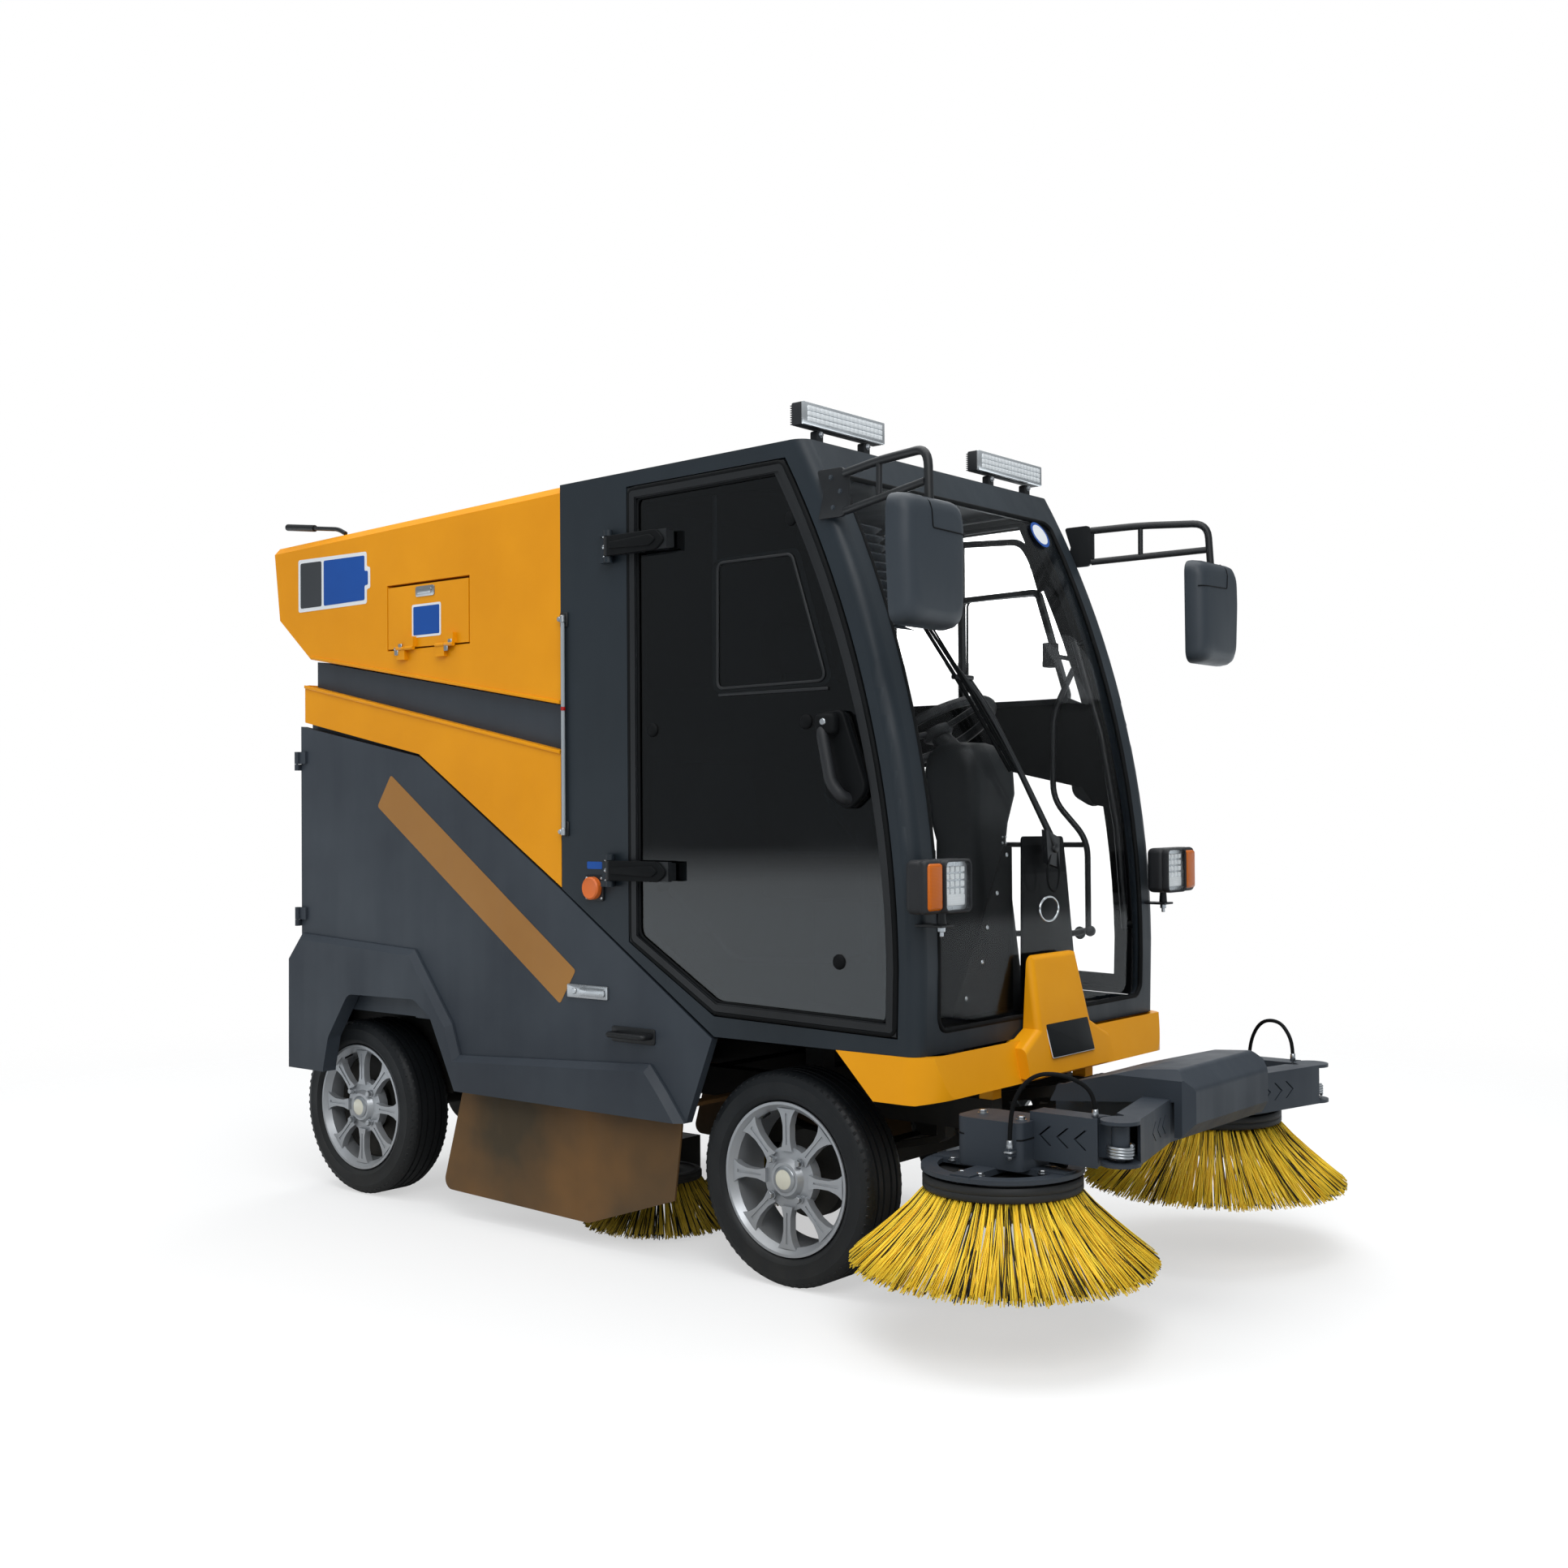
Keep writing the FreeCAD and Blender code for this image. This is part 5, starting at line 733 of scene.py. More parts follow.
class Repeats:
    """Sets one small item at many places, by a tree that all repeats share."""

    def __init__(self) -> None:
        """Builds the tree."""
        graph = new_group("RepeatItems", "GeometryNodeTree", [
            ("Geometry", "NodeSocketGeometry", None), ("Item", "NodeSocketObject", None),
            ("Scale", "NodeSocketFloat", 1.0), ("Finish", "NodeSocketMaterial", None),
        ], [("Geometry", "NodeSocketGeometry")])
        ins = graph.add("NodeGroupInput").outputs
        item = graph.add("GeometryNodeObjectInfo", {"Object": ins["Item"]}).outputs["Geometry"]
        turn, size = (graph.add("GeometryNodeInputNamedAttribute", {"Name": name},
                                data_type="FLOAT_VECTOR").outputs["Attribute"]
                      for name in ("turn", "size"))
        scaled = graph.add("ShaderNodeVectorMath", {0: size, "Scale": ins["Scale"]},
                           operation="SCALE").outputs[0]
        rotation = graph.add("FunctionNodeEulerToRotation", {0: turn}).outputs[0]
        placed = graph.add("GeometryNodeInstanceOnPoints", {
            "Points": ins["Geometry"], "Instance": item, "Rotation": rotation,
            "Scale": scaled}).outputs[0]
        real = graph.add("GeometryNodeRealizeInstances", {0: placed}).outputs[0]
        dressed = graph.add("GeometryNodeSetMaterial", {
            "Geometry": real, "Material": ins["Finish"]}).outputs[0]
        graph.add("NodeGroupOutput", {"Geometry": dressed})
        self.tree = graph.tree

    def make(self, name: str, item: Form, places: Sequence[tuple], slot: str, finish: Look,
             body: str = "chassis", sharp: float = 40.0) -> bpy.types.Object:
        """Sets an item at each place and makes one piece of them.

        Args:
            name: The piece's name.
            item: The item, built about the frame's origin with its up along z.
            places: Position, direction of the item's z axis, and optionally the direction of
                its x axis, for each place.
            slot: The record's material slot; not used.
            finish: The finish.
            body: The CAD body that the piece rides on.
            sharp: The angle in degrees past which an edge stays sharp.

        Returns:
            The piece.
        """
        item_object = bpy.data.objects.new(name + "_item", item.take(name + "_item"))
        cloud = bpy.data.meshes.new(name + "_places")
        cloud.from_pydata([tuple(p[0]) for p in places], [], [])
        turn = cloud.attributes.new("turn", "FLOAT_VECTOR", "POINT")
        size = cloud.attributes.new("size", "FLOAT_VECTOR", "POINT")
        for i, (_, up, *rest) in enumerate(places):
            up = Vector(up).normalized()
            along = Vector(rest[0]) if rest else up.orthogonal()
            along = (along - up * along.dot(up)).normalized()
            basis = Matrix((along, up.cross(along), up)).transposed()
            turn.data[i].vector = basis.to_euler()
            size.data[i].vector = (1, 1, 1)
        data = grown(link(name + "_places", cloud), self.tree, {
            "Item": item_object, "Scale": 1.0, "Finish": finish.material()}, ("turn", "size"))
        bpy.data.objects.remove(item_object)
        return show(name, data, finish, body, sharp=sharp)


def grown(holder: bpy.types.Object, tree: bpy.types.NodeTree, values: dict[str, object],
          spent: Sequence[str]) -> bpy.types.Mesh:
    """Runs a Geometry Nodes tree on an object, which is then removed.

    Args:
        holder: The object that the tree starts from.
        tree: The tree.
        values: The tree's inputs by name, set by their sockets' identifiers.
        spent: Attributes that the finished mesh has no use for.

    Returns:
        The finished mesh.
    """
    modifier = holder.modifiers.new(tree.name, "NODES")
    modifier.node_group = tree
    sockets = {item.name: item.identifier for item in tree.interface.items_tree
               if item.in_out == "INPUT"}
    for name, value in values.items():
        modifier[sockets[name]] = value
    graph = bpy.context.evaluated_depsgraph_get()
    data = bpy.data.meshes.new_from_object(holder.evaluated_get(graph))
    holder.modifiers.clear()
    bpy.data.objects.remove(holder)
    for label in spent:
        if label in data.attributes:
            data.attributes.remove(data.attributes[label])
    return data


REPEATS = Repeats()
ORIGIN, UP, AHEAD = Vector((0, 0, 0)), (0, 0, 1), (1, 0, 0)


def item_box(half_x: float, half_y: float, zs: Point, edge: float, steps: int) -> Form:
    """A small box about the frame's origin, to be repeated."""
    return Form().box((-half_x - FRONT_AXLE_X, half_x - FRONT_AXLE_X), (-half_y, half_y), zs,
                      edge, steps)


def bolt(radius: float, height: float, washer: float = 1.35) -> Form:
    """A hexagon bolt head on its washer, standing on the origin."""
    form = Form().lathe(ORIGIN, UP, [
        (0, 0), (radius * washer, 0), (radius * washer, height * 0.22), (radius, height * 0.25),
        (0, height * 0.25)], 16, closed=False)
    return form.lathe(ORIGIN, UP, [
        (0, height * 0.2), (radius, height * 0.2), (radius, height * 0.85),
        (radius * 0.82, height), (0, height)], 6, closed=False)


def dome(radius: float, height: float, steps: int = 6) -> Form:
    """A smooth domed button, standing on the origin."""
    arc = [(radius * math.cos(a), height * math.sin(a))
           for a in (math.pi / 2 * i / steps for i in range(steps))]
    return Form().lathe(ORIGIN, UP, [(0, 0), *arc, (0, height)], 20, closed=False)


# Carried-over CAD nodes

CAD_FINISHES = {
    YELLOW: ["body_upper", "body_stripe", "water_hatch"],
    BUMPER_YELLOW: ["front_bumper"],
    DARK: ["body_base", "rear_door", "brush_carriage", *sided("side_panel", "brush_arm")],
    CAB_DARK: ["cab_frame"],
    BLACK_STEEL: ["grab_rails", "fittings", "mirrors", "lamps", *sided("door")],
    CHASSIS: ["chassis_frame", "front_axle", "rear_axle", "cab_floor", "lift_arm", "lift_link",
              "suction_mouth", *sided("knuckle")],
    PLASTIC: ["dash_console", "steering_wheel"],
    BATTERY: ["battery_pack"],
    ALLOY: sided("rim_front", "rim_rear"),
    RUBBER: sided("tyre_front", "tyre_rear"),
    FLAP: ["side_flaps"],
    SEAT_COVER: ["seat"],
    SEAL: sided("hose"),
    CLEAR: ["windscreen"],
    # Painted shade on the right door's glass, painted light on the left door's glass.
    SHADED_DOOR_GLASS: ["door_glass_right"],
    LIT_DOOR_GLASS: ["door_glass_left"],
    DISC: sided("front_brush", "middle_brush"),
}


def dress_cad_nodes() -> None:
    """Gives every CAD node its finish."""
    for finish, names in CAD_FINISHES.items():
        for name in names:
            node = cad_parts[name]
            node.data.materials.clear()
            node.data.materials.append(finish.material())
    missing = set(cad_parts) - {n for names in CAD_FINISHES.values() for n in names}
    if missing:
        LOG.warning("no finish for %s", sorted(missing))


# Sub-assemblies

@dataclass
class Wheel:
    """One road wheel: tyre with grooves and shoulder blocks, lug bolts and cap insert."""

    end: str
    side: Side
    x: float
    track: float = 463.0
    radius: float = 273.0
    tread_half: float = 52.0
    groove_places: tuple[float, ...] = (-38.0, -15.0, 15.0, 38.0)
    groove_width: float = 8.0
    groove_depth: float = 8.0
    block_count: int = 72
    block_y: float = 61.5
    block_lean: float = 0.55
    lug_circle: float = 64.0
    lug_count: int = 4
    face: float = 62.0
    valve_angle: float = 112.0

    @property
    def body(self) -> str:
        """The body that the wheel turns with."""
        return f"wheel_{self.end}_{self.side.word}"

    @property
    def out(self) -> Vector:
        """The direction away from the vehicle."""
        return Vector((0, self.side.value, 0))

    def hub(self, out: float = 0.0) -> Vector:
        """The wheel's centre, or a point further out on its axis."""
        return at(self.x, self.track * self.side.value, self.radius) + self.out * out * MM

    @staticmethod
    def spoke(angle: float) -> Vector:
        """The direction away from the axis at an angle."""
        return Vector((math.cos(angle), 0, math.sin(angle)))

    def tyre_profile(self) -> Outline:
        """The tyre's section from bead to bead, as (radius, along) points."""
        crown, half = self.radius, self.tread_half
        floor = crown - self.groove_depth
        tread = [(crown, -half)]
        for place in self.groove_places:
            edge = self.groove_width / 2
            tread += [(crown, place - edge), (floor, place - edge + 1),
                      (floor, place + edge - 1), (crown, place + edge)]
        tread.append((crown, half))
        wall = [(crown - 2.0, half + 7), (crown - 6, half + 14), (crown - 14, 72.5),
                (crown - 24, 75.5), (crown - 27, 76.8), (crown - 31, 76.0), (crown - 42, 77.3),
                (crown - 58, 76.4), (crown - 60, 77.2), (crown - 63, 75.6), (204, 72.5),
                (198.5, 66.0), (197.5, 58.0)]
        inner = [(r, -h) for r, h in reversed(wall)]
        return [(184.6, -56.0), *inner, *tread, *wall, (184.6, 56.0)]

    def make(self) -> None:
        """Builds the wheel's pieces."""
        tag, out = f"{self.end}_{self.side.word}", self.out
        Form().lathe(self.hub(), out, self.tyre_profile(), 120).piece(
            f"Tyre_{tag}", "tyre_rubber", RUBBER, self.body, [f"tyre_{tag}"], 28)
        blocks = []
        for sign, start in ((-1, 0.0), (1, 0.5)):
            for radial in map(self.spoke, turns(self.block_count, start)):
                spot = self.hub() + (radial * (self.radius - 7.2) + out * sign * self.block_y) * MM
                lean = (radial + out * sign * self.block_lean).normalized()
                blocks.append((spot, lean, out * sign))
        REPEATS.make(f"TreadBlocks_{tag}", item_box(10.5, 4.6, (-4, 3.2), 1.0, 1), blocks,
                     "tyre_rubber", RUBBER, self.body)
        lugs = [(self.hub() + (radial * self.lug_circle + out * self.face) * MM, out)
                for radial in map(self.spoke, turns(self.lug_count, 0.5))]
        REPEATS.make(f"LugBolts_{tag}", bolt(9.5, 13, 1.2), lugs, "wheel_alloy", STEEL,
                     self.body)
        Form().lathe(self.hub(self.face + 10.5), out, [
            (0, 0), (25, 0), (25, 1.2), (23, 2.0), (0, 2.4)], 32, closed=False).piece(
            f"CapInsert_{tag}", "wheel_alloy", CAP, self.body)
        Form().lathe(self.hub(self.face), out, [
            (25.2, 9), (33.4, 4), (33.8, 8), (29.5, 12.0), (25.2, 12.4)], 40).piece(
            f"CapRing_{tag}", "wheel_alloy", STEEL, self.body)
        if self.end == "rear":
            Form().lathe(self.hub(), out, [
                (78, -34), (150, -34), (158, -30), (166, -22), (166, 8), (158, 12), (150, 4),
                (78, 2)]).piece(f"BrakeDrum_{tag}", "wheel_alloy", CHASSIS, self.body)
        radial = self.spoke(math.radians(self.valve_angle))
        start = self.hub() + (radial * 170 + out * 48) * MM
        Form().rod(start, start + (out * 30 - radial * 8) * MM, 3.2, 2.6, 10, 0.6).piece(
            f"Valve_{tag}", "tyre_rubber", SEAL, self.body)


class BristleTree:
    """The Geometry Nodes tree that grows a ring of slanting strands in tufts."""

    own_numbers = ("angle", "root", "sway", "reach", "depth")

    def __init__(self) -> None:
        """Builds the tree."""
        sizes = [(label, "NodeSocketFloat", 1.0) for label in (
            "Root Radius", "Tip Radius", "Drop", "Thickness", "Root Spread", "Tip Spread",
            "Length Spread")]
        counts = [(label, "NodeSocketInt", 1) for label in ("Tufts", "Strands", "Seed")]
        graph = new_group("Bristles", "GeometryNodeTree", [
            ("Geometry", "NodeSocketGeometry", None), *sizes, *counts,
            ("Finish", "NodeSocketMaterial", None)], [("Geometry", "NodeSocketGeometry")])
        self.graph = graph
        self.ins = ins = graph.add("NodeGroupInput").outputs
        m, named = graph.math, self.named
        index = graph.add("GeometryNodeInputIndex").outputs[0]
        tuft = m("FLOOR", m("DIVIDE", index, ins["Strands"]))
        total = m("MULTIPLY", ins["Tufts"], ins["Strands"])
        flow = graph.add("GeometryNodePoints", {"Count": total}).outputs[0]
        start = m("DIVIDE", m("MULTIPLY", tuft, 2 * math.pi), ins["Tufts"])
        drifts = {salt: self.drift(index, salt) for salt in range(1, 7)}
        values = {
            "angle": m("ADD", start, m("MULTIPLY", drifts[1], ins["Root Spread"])),
            "root": m("ADD", ins["Root Radius"], m("MULTIPLY", drifts[2], 0.012)),
            "sway": m("MULTIPLY", drifts[3], ins["Tip Spread"]),
            "reach": m("ADD", 1.0, m("MULTIPLY", drifts[4], ins["Length Spread"])),
            "strand": m("ADD", m("MULTIPLY", drifts[5], 0.5), 0.5),
            "depth": m("ADD", 1.0, m("MULTIPLY", drifts[6], 0.07)),
        }
        for name, value in values.items():
            flow = graph.add("GeometryNodeStoreNamedAttribute", {
                "Geometry": flow, "Name": name, "Value": value},
                data_type="FLOAT", domain="POINT").outputs[0]
        line = graph.add("GeometryNodeCurvePrimitiveLine", {
            "Start": (0, 0, 0), "End": (0, 0, 1)}).outputs[0]
        line = graph.add("GeometryNodeResampleCurve", {"Curve": line, "Count": 5}).outputs[0]
        flow = graph.add("GeometryNodeInstanceOnPoints", {
            "Points": flow, "Instance": line}).outputs[0]
        flow = graph.add("GeometryNodeRealizeInstances", {0: flow}).outputs[0]
        along = graph.add("ShaderNodeSeparateXYZ", {
            0: graph.add("GeometryNodeInputPosition").outputs[0]}).outputs["Z"]
        ease = m("POWER", along, 1.12)
        reach = m("SUBTRACT", m("MULTIPLY", ins["Tip Radius"], named("reach")), named("root"))
        radius = m("ADD", named("root"), m("MULTIPLY", reach, ease))
        turn = m("ADD", named("angle"), m("MULTIPLY", named("sway"), ease))
        height = m("MULTIPLY", m("MULTIPLY", ins["Drop"], named("depth")),
                   m("MULTIPLY", along, -1.0))
        spot = graph.add("ShaderNodeCombineXYZ", {
            0: m("MULTIPLY", radius, m("COSINE", turn)),
            1: m("MULTIPLY", radius, m("SINE", turn)), 2: height}).outputs[0]
        flow = graph.add("GeometryNodeSetPosition", {
            "Geometry": flow, "Position": spot}).outputs[0]
        ring = graph.add("GeometryNodeCurvePrimitiveCircle", {
            "Resolution": 4, "Radius": ins["Thickness"]}).outputs[0]
        flow = graph.add("GeometryNodeCurveToMesh", {
            "Curve": flow, "Profile Curve": ring, "Fill Caps": True}).outputs[0]
        flow = graph.add("GeometryNodeSetMaterial", {
            "Geometry": flow, "Material": ins["Finish"]}).outputs[0]
        graph.add("NodeGroupOutput", {"Geometry": flow})

    def drift(self, index: bpy.types.NodeSocket, salt: int) -> bpy.types.NodeSocket:
        """A random number from minus one to one for each strand."""
        seed = self.graph.math("ADD", self.ins["Seed"], salt * 17)
        node = self.graph.add("FunctionNodeRandomValue", {"ID": index, "Seed": seed},
                              data_type="FLOAT")
        floats = [s for s in node.inputs if s.type == "VALUE"]
        floats[0].default_value, floats[1].default_value = -1.0, 1.0
        return next(s for s in node.outputs if s.type == "VALUE")

    def named(self, name: str) -> bpy.types.NodeSocket:
        """Reads one of the strand's stored numbers."""
        return self.graph.add("GeometryNodeInputNamedAttribute", {"Name": name},
                              data_type="FLOAT").outputs["Attribute"]


BRISTLE_TREE = BristleTree()


@dataclass
class Brush:
    """A cup brush: its disc and a ring of strands."""

    kind: str
    side: Side
    x: float
    y: float
    disc_z: float
    disc_depth: float
    disc_radius: float
    root_radius: float
    tip_radius: float
    tip_z: float
    tufts: int
    finish: BristleFinish
    seed: int
    strands: int = 44
    thickness: float = 1.3
    tuft_half: float = 4.4
    sunk: float = 2.0

    def make(self) -> None:
        """Builds the disc and the strands."""
        tag = f"{self.kind}_{self.side.word}"
        body = f"brush_{tag}"
        base = at(self.x, self.y * self.side.value, self.disc_z)
        radius, depth = self.disc_radius, self.disc_depth
        Form().lathe(base, UP, [
            (16, 0), (radius - 14, 0), (radius - 3, 2), (radius, 6), (radius, depth * 0.45),
            (radius - 1.5, depth * 0.5), (radius, depth * 0.55), (radius, depth - 6),
            (radius - 4, depth - 1), (radius - 18, depth), (radius - 22, depth - 3),
            (60, depth - 3), (56, depth), (16, depth)], 96).piece(
            f"BrushDisc_{tag}", "dark_plastic", DISC, body)
        data = grown(link("strands", bpy.data.meshes.new("strands")), BRISTLE_TREE.graph.tree, {
            "Root Radius": self.root_radius * MM, "Tip Radius": self.tip_radius * MM,
            "Drop": (self.disc_z - self.tip_z) * MM, "Thickness": self.thickness * MM,
            "Root Spread": self.tuft_half / self.root_radius, "Tip Spread": 0.06,
            "Length Spread": 0.045, "Tufts": self.tufts, "Strands": self.strands,
            "Seed": self.seed, "Finish": self.finish.material()}, BristleTree.own_numbers)
        data.transform(Matrix.Translation(base + Vector((0, 0, self.sunk * MM))))
        show(f"Bristles_{tag}", data, self.finish, body,
             [f"{self.kind}_brush_{self.side.word}"], 180)


@dataclass
class HeadLamp:
    """A two-part lamp on a bracket: clear lens inside, amber indicator outside."""

    side: Side
    back_x: float = 478.0
    front_x: float = 548.0
    inner_y: float = 494.0
    split_y: float = 606.0
    outer_y: float = 674.0
    bottom: float = 965.0
    top: float = 1090.0
    stem_y: float = 554.0
    foot_z: float = 930.0
    cells: int = 4
    cell_pitch: float = 17.0

    def span(self, near: float, far: float) -> tuple[float, float]:
        """Two y values on this lamp's side, lower one first."""
        return span(self.side.value, near, far)

    def outline(self, draw_in: float, corner: float) -> Outline:
        """The clear lamp's rounded face outline, drawn in by a distance."""
        y0, y1 = self.span(self.inner_y + draw_in, self.split_y - draw_in)
        return panel((y0, self.bottom + draw_in), (y1, self.top - draw_in), corner)

    def make(self) -> None:
        """Builds the case, both lenses, the bracket and its bolt."""
        word, front = self.side.word, self.front_x
        case = Form().box((self.back_x, front - 16), self.span(self.inner_y, self.outer_y),
                          (self.bottom, self.top), 16, 5)
        case.box((front - 34, front - 8), self.span(self.split_y, self.outer_y),
                 (self.bottom, self.top), 12, 4)
        rim = self.outline(0, 18)
        case.rings([[at(x, y, z) for y, z in outline] for x, outline in (
            (front - 18, rim), (front - 3, rim), (front, self.outline(2, 17)),
            (front - 1, self.outline(5.5, 15)), (front - 10, self.outline(7, 14)),
            (front - 16, self.outline(7, 14)))], closed=True)
        case.piece(f"LampCase_{word}", "lamp_case", PLASTIC, replaced=["lamps"])
        flat = self.outline(6.5, 14)
        Form().plate("x", front - 17, flat, 3).piece(f"LampBowl_{word}", "lamp_case", REFLECTOR)
        Form().plate("x", front - 6, flat, 2.5, 1).piece(f"LampLens_{word}", "lamp_case", CLEAR)
        ys = self.span(self.inner_y + 16, self.split_y - 14)
        places = [(at(front - 13, ys[0] + (ys[1] - ys[0]) * (column + 0.5) / self.cells,
                      self.top - 24 - self.cell_pitch * row), AHEAD, UP)
                  for row in range(self.cells) for column in range(self.cells)]
        REPEATS.make(f"LampCells_{word}", item_box(6.5, 6.5, (-2, 3), 1.5, 1), places,
                     "lamp_case", LED_LENS)
        Form().box((front - 15, front - 8), (ys[0] + 4, ys[1] - 4),
                   (self.bottom + 17, self.bottom + 44), 5, 2).piece(
            f"LampLowBeam_{word}", "lamp_case", LED_LENS)
        Form().box((front - 26, front - 2), self.span(self.split_y + 4, self.outer_y - 7),
                   (self.bottom + 8, self.top - 8), 9, 4).piece(
            f"Indicator_{word}", "lamp_case", AMBER_LENS)
        foot, stem, seat, nut, tip = (
            at(self.back_x + 22, self.stem_y * self.side.value, z)
            for z in (self.foot_z, self.foot_z + 6, self.bottom + 3, self.foot_z - 11,
                      self.foot_z - 22))
        bracket = Form().box((440, self.back_x + 40), self.span(528, 580),
                             (self.foot_z, self.foot_z + 6), 1, 1)
        bracket.rod(stem, seat, 11, 9)
        bracket.piece(f"LampBracket_{word}", "black_steel", BLACK_STEEL)
        Form().rod(foot, tip, 5, 5, 12, 1).rod(foot, nut, 9, 9, 6, 1).piece(
            f"LampStud_{word}", "black_steel", STEEL)


@dataclass
class LightBar:
    """A roof lamp with three rows of lights in a bright frame."""

    side: Side
    inner_y: float = 226.0
    outer_y: float = 567.0
    bottom: float = 2164.0
    top: float = 2222.0
    front_x: float = 112.0
    depth: float = 44.0
    fins: int = 9
    rows: int = 3
    columns: int = 18

    def make(self) -> None:
        """Builds the housing, the bright frame, the lights and the two feet."""
        word, front, zs = self.side.word, self.front_x, (self.bottom, self.top)
        back, high = front - self.depth, self.top - self.bottom
        ys = span(self.side.value, self.inner_y, self.outer_y)
        housing = Form().box((back, front - 10), ys, zs, 4, 2)
        for i in range(self.fins):
            z = self.bottom + 5 + i * (high - 12) / (self.fins - 1)
            housing.box((back - 6, back + 4), (ys[0] + 4, ys[1] - 4), (z - 1, z + 1.2))
        housing.piece(f"BarHousing_{word}", "lamp_case", PLASTIC)
        Form().box((front - 12, front - 3), ys, zs, 3, 2).piece(
            f"BarFrame_{word}", "lamp_case", CHROME)
        places = []
        for row in range(self.rows):
            for column in range(self.columns):
                y = ys[0] + 14 + (ys[1] - ys[0] - 28) * (column + 0.5) / self.columns
                z = self.bottom + 8 + (high - 16) * (row + 0.5) / self.rows
                places.append((at(front - 2.6, y, z), AHEAD, UP))
        REPEATS.make(f"BarLights_{word}", item_box(6.0, 7.5, (-3, 3), 1.6, 2), places,
                     "lamp_case", CELL_LENS)
        feet, studs = Form(), []
        for y in (ys[0] + 66, ys[1] - 78):
            feet.box((front - 38, front - 12), (y, y + 26), (2124, 2160), 5, 2)
            feet.box((front - 44, front - 4), (y - 4, y + 30), (2121, 2128), 2, 1)
            studs.append((at(front - 12, y + 13, 2150), AHEAD))
        feet.piece(f"BarFeet_{word}", "lamp_case", BLACK_STEEL)
        REPEATS.make(f"BarStuds_{word}", bolt(6, 6), studs, "lamp_case", STEEL)


@dataclass
class Mirror:
    """An outside mirror on its tubular arm."""

    side: Side
    back: float = 552.0
    y: float = 715.0
    bottom: float = 1613.0
    top: float = 1907.0
    half: float = 126.0
    tube_radius: float = 10.5

    def ring(self, x: float, draw_in: float, corner: float) -> Ring:
        """One section of the housing, square to the vehicle's length."""
        y0, y1 = self.y - self.half + draw_in, self.y + self.half - draw_in
        z0, z1 = self.bottom + draw_in, self.top - draw_in
        flat = rounded([(y0 + 8, z0), (y1 - 12, z0), (y1, (z0 + z1) / 2 + 30, 300),
                        (y1 - 4, z1), (y0 + 5, z1)], corner, 8)
        return run(self.side.value, *((self.back + x, y, z) for y, z in flat))

    def make(self) -> None:
        """Builds the housing, the glass, the tubes and the bracket."""
        word, sign = self.side.word, self.side.value
        Form().rings([self.ring(*section) for section in (
            (0, 6, 34), (2, 0.5, 38), (12, 0, 40), (34, 3, 42), (48, 9, 46), (57, 19, 50),
            (62, 36, 46))]).piece(f"MirrorShell_{word}", "dark_plastic", MIRROR_CASE,
                                  replaced=["mirrors"], sharp=60)
        top, inner = self.top, self.y - self.half
        seam = [(38, 748, top - 4), (57.5, 748, top - 19), (62.5, 746, top - 38),
                (62.5, 742, top - 76), (62.5, inner + 42, top - 78), (57.5, inner + 21, top - 78),
                (44, inner + 8, top - 78)]
        Form().tube(run(sign, *((self.back + x, y, z) for x, y, z in seam)), 1.6, 5, 8).piece(
            f"MirrorSeam_{word}", "dark_plastic", SEAL, sharp=60)
        Form().rings([self.ring(-1.5, 9, 32), self.ring(2, 9, 32)]).piece(
            f"MirrorGlass_{word}", "clear_glass", MIRROR_GLASS)
        bar = Form().tube(run(sign, (258, 594, 2018), (394, 640, 2024), (575, 703, 2019),
                              (581, 708, top - 12)), self.tube_radius, 42)
        bar.tube(run(sign, (258, 594, 1926), (574, 709, 1944)), self.tube_radius - 1)
        bar.tube(run(sign, (394, 641, 2018), (393, 642, 1936)), self.tube_radius - 3)
        bar.piece(f"MirrorArm_{word}", "black_steel", BLACK_STEEL, sharp=60)
        outline = [(172, 2034, 8), (250, 2034, 14), (268, 2010, 14), (268, 1935, 14),
                   (250, 1914, 14), (176, 1914, 4), (192, 1975, 2)]
        Form().plate("y", (BODY_HALF + 0.4) * sign, rounded(outline, 6), 9 * sign, 1.5).piece(
            f"MirrorPlate_{word}", "black_steel", BLACK_STEEL)
        places = [(at(x, 597 * sign, z), (0, sign, 0))
                  for x, z in ((216, 2012), (222, 1938), (244, 1975))]
        REPEATS.make(f"MirrorScrews_{word}", bolt(5, 4), places, "black_steel", MIRROR_CASE)


DOOR_OUTLINE = [
    (-183, 681), (391, 668), (396, 830), *bow((396, 830), (60, 2078), 2610.0),
    (-484, 2072), (-484, 856)]


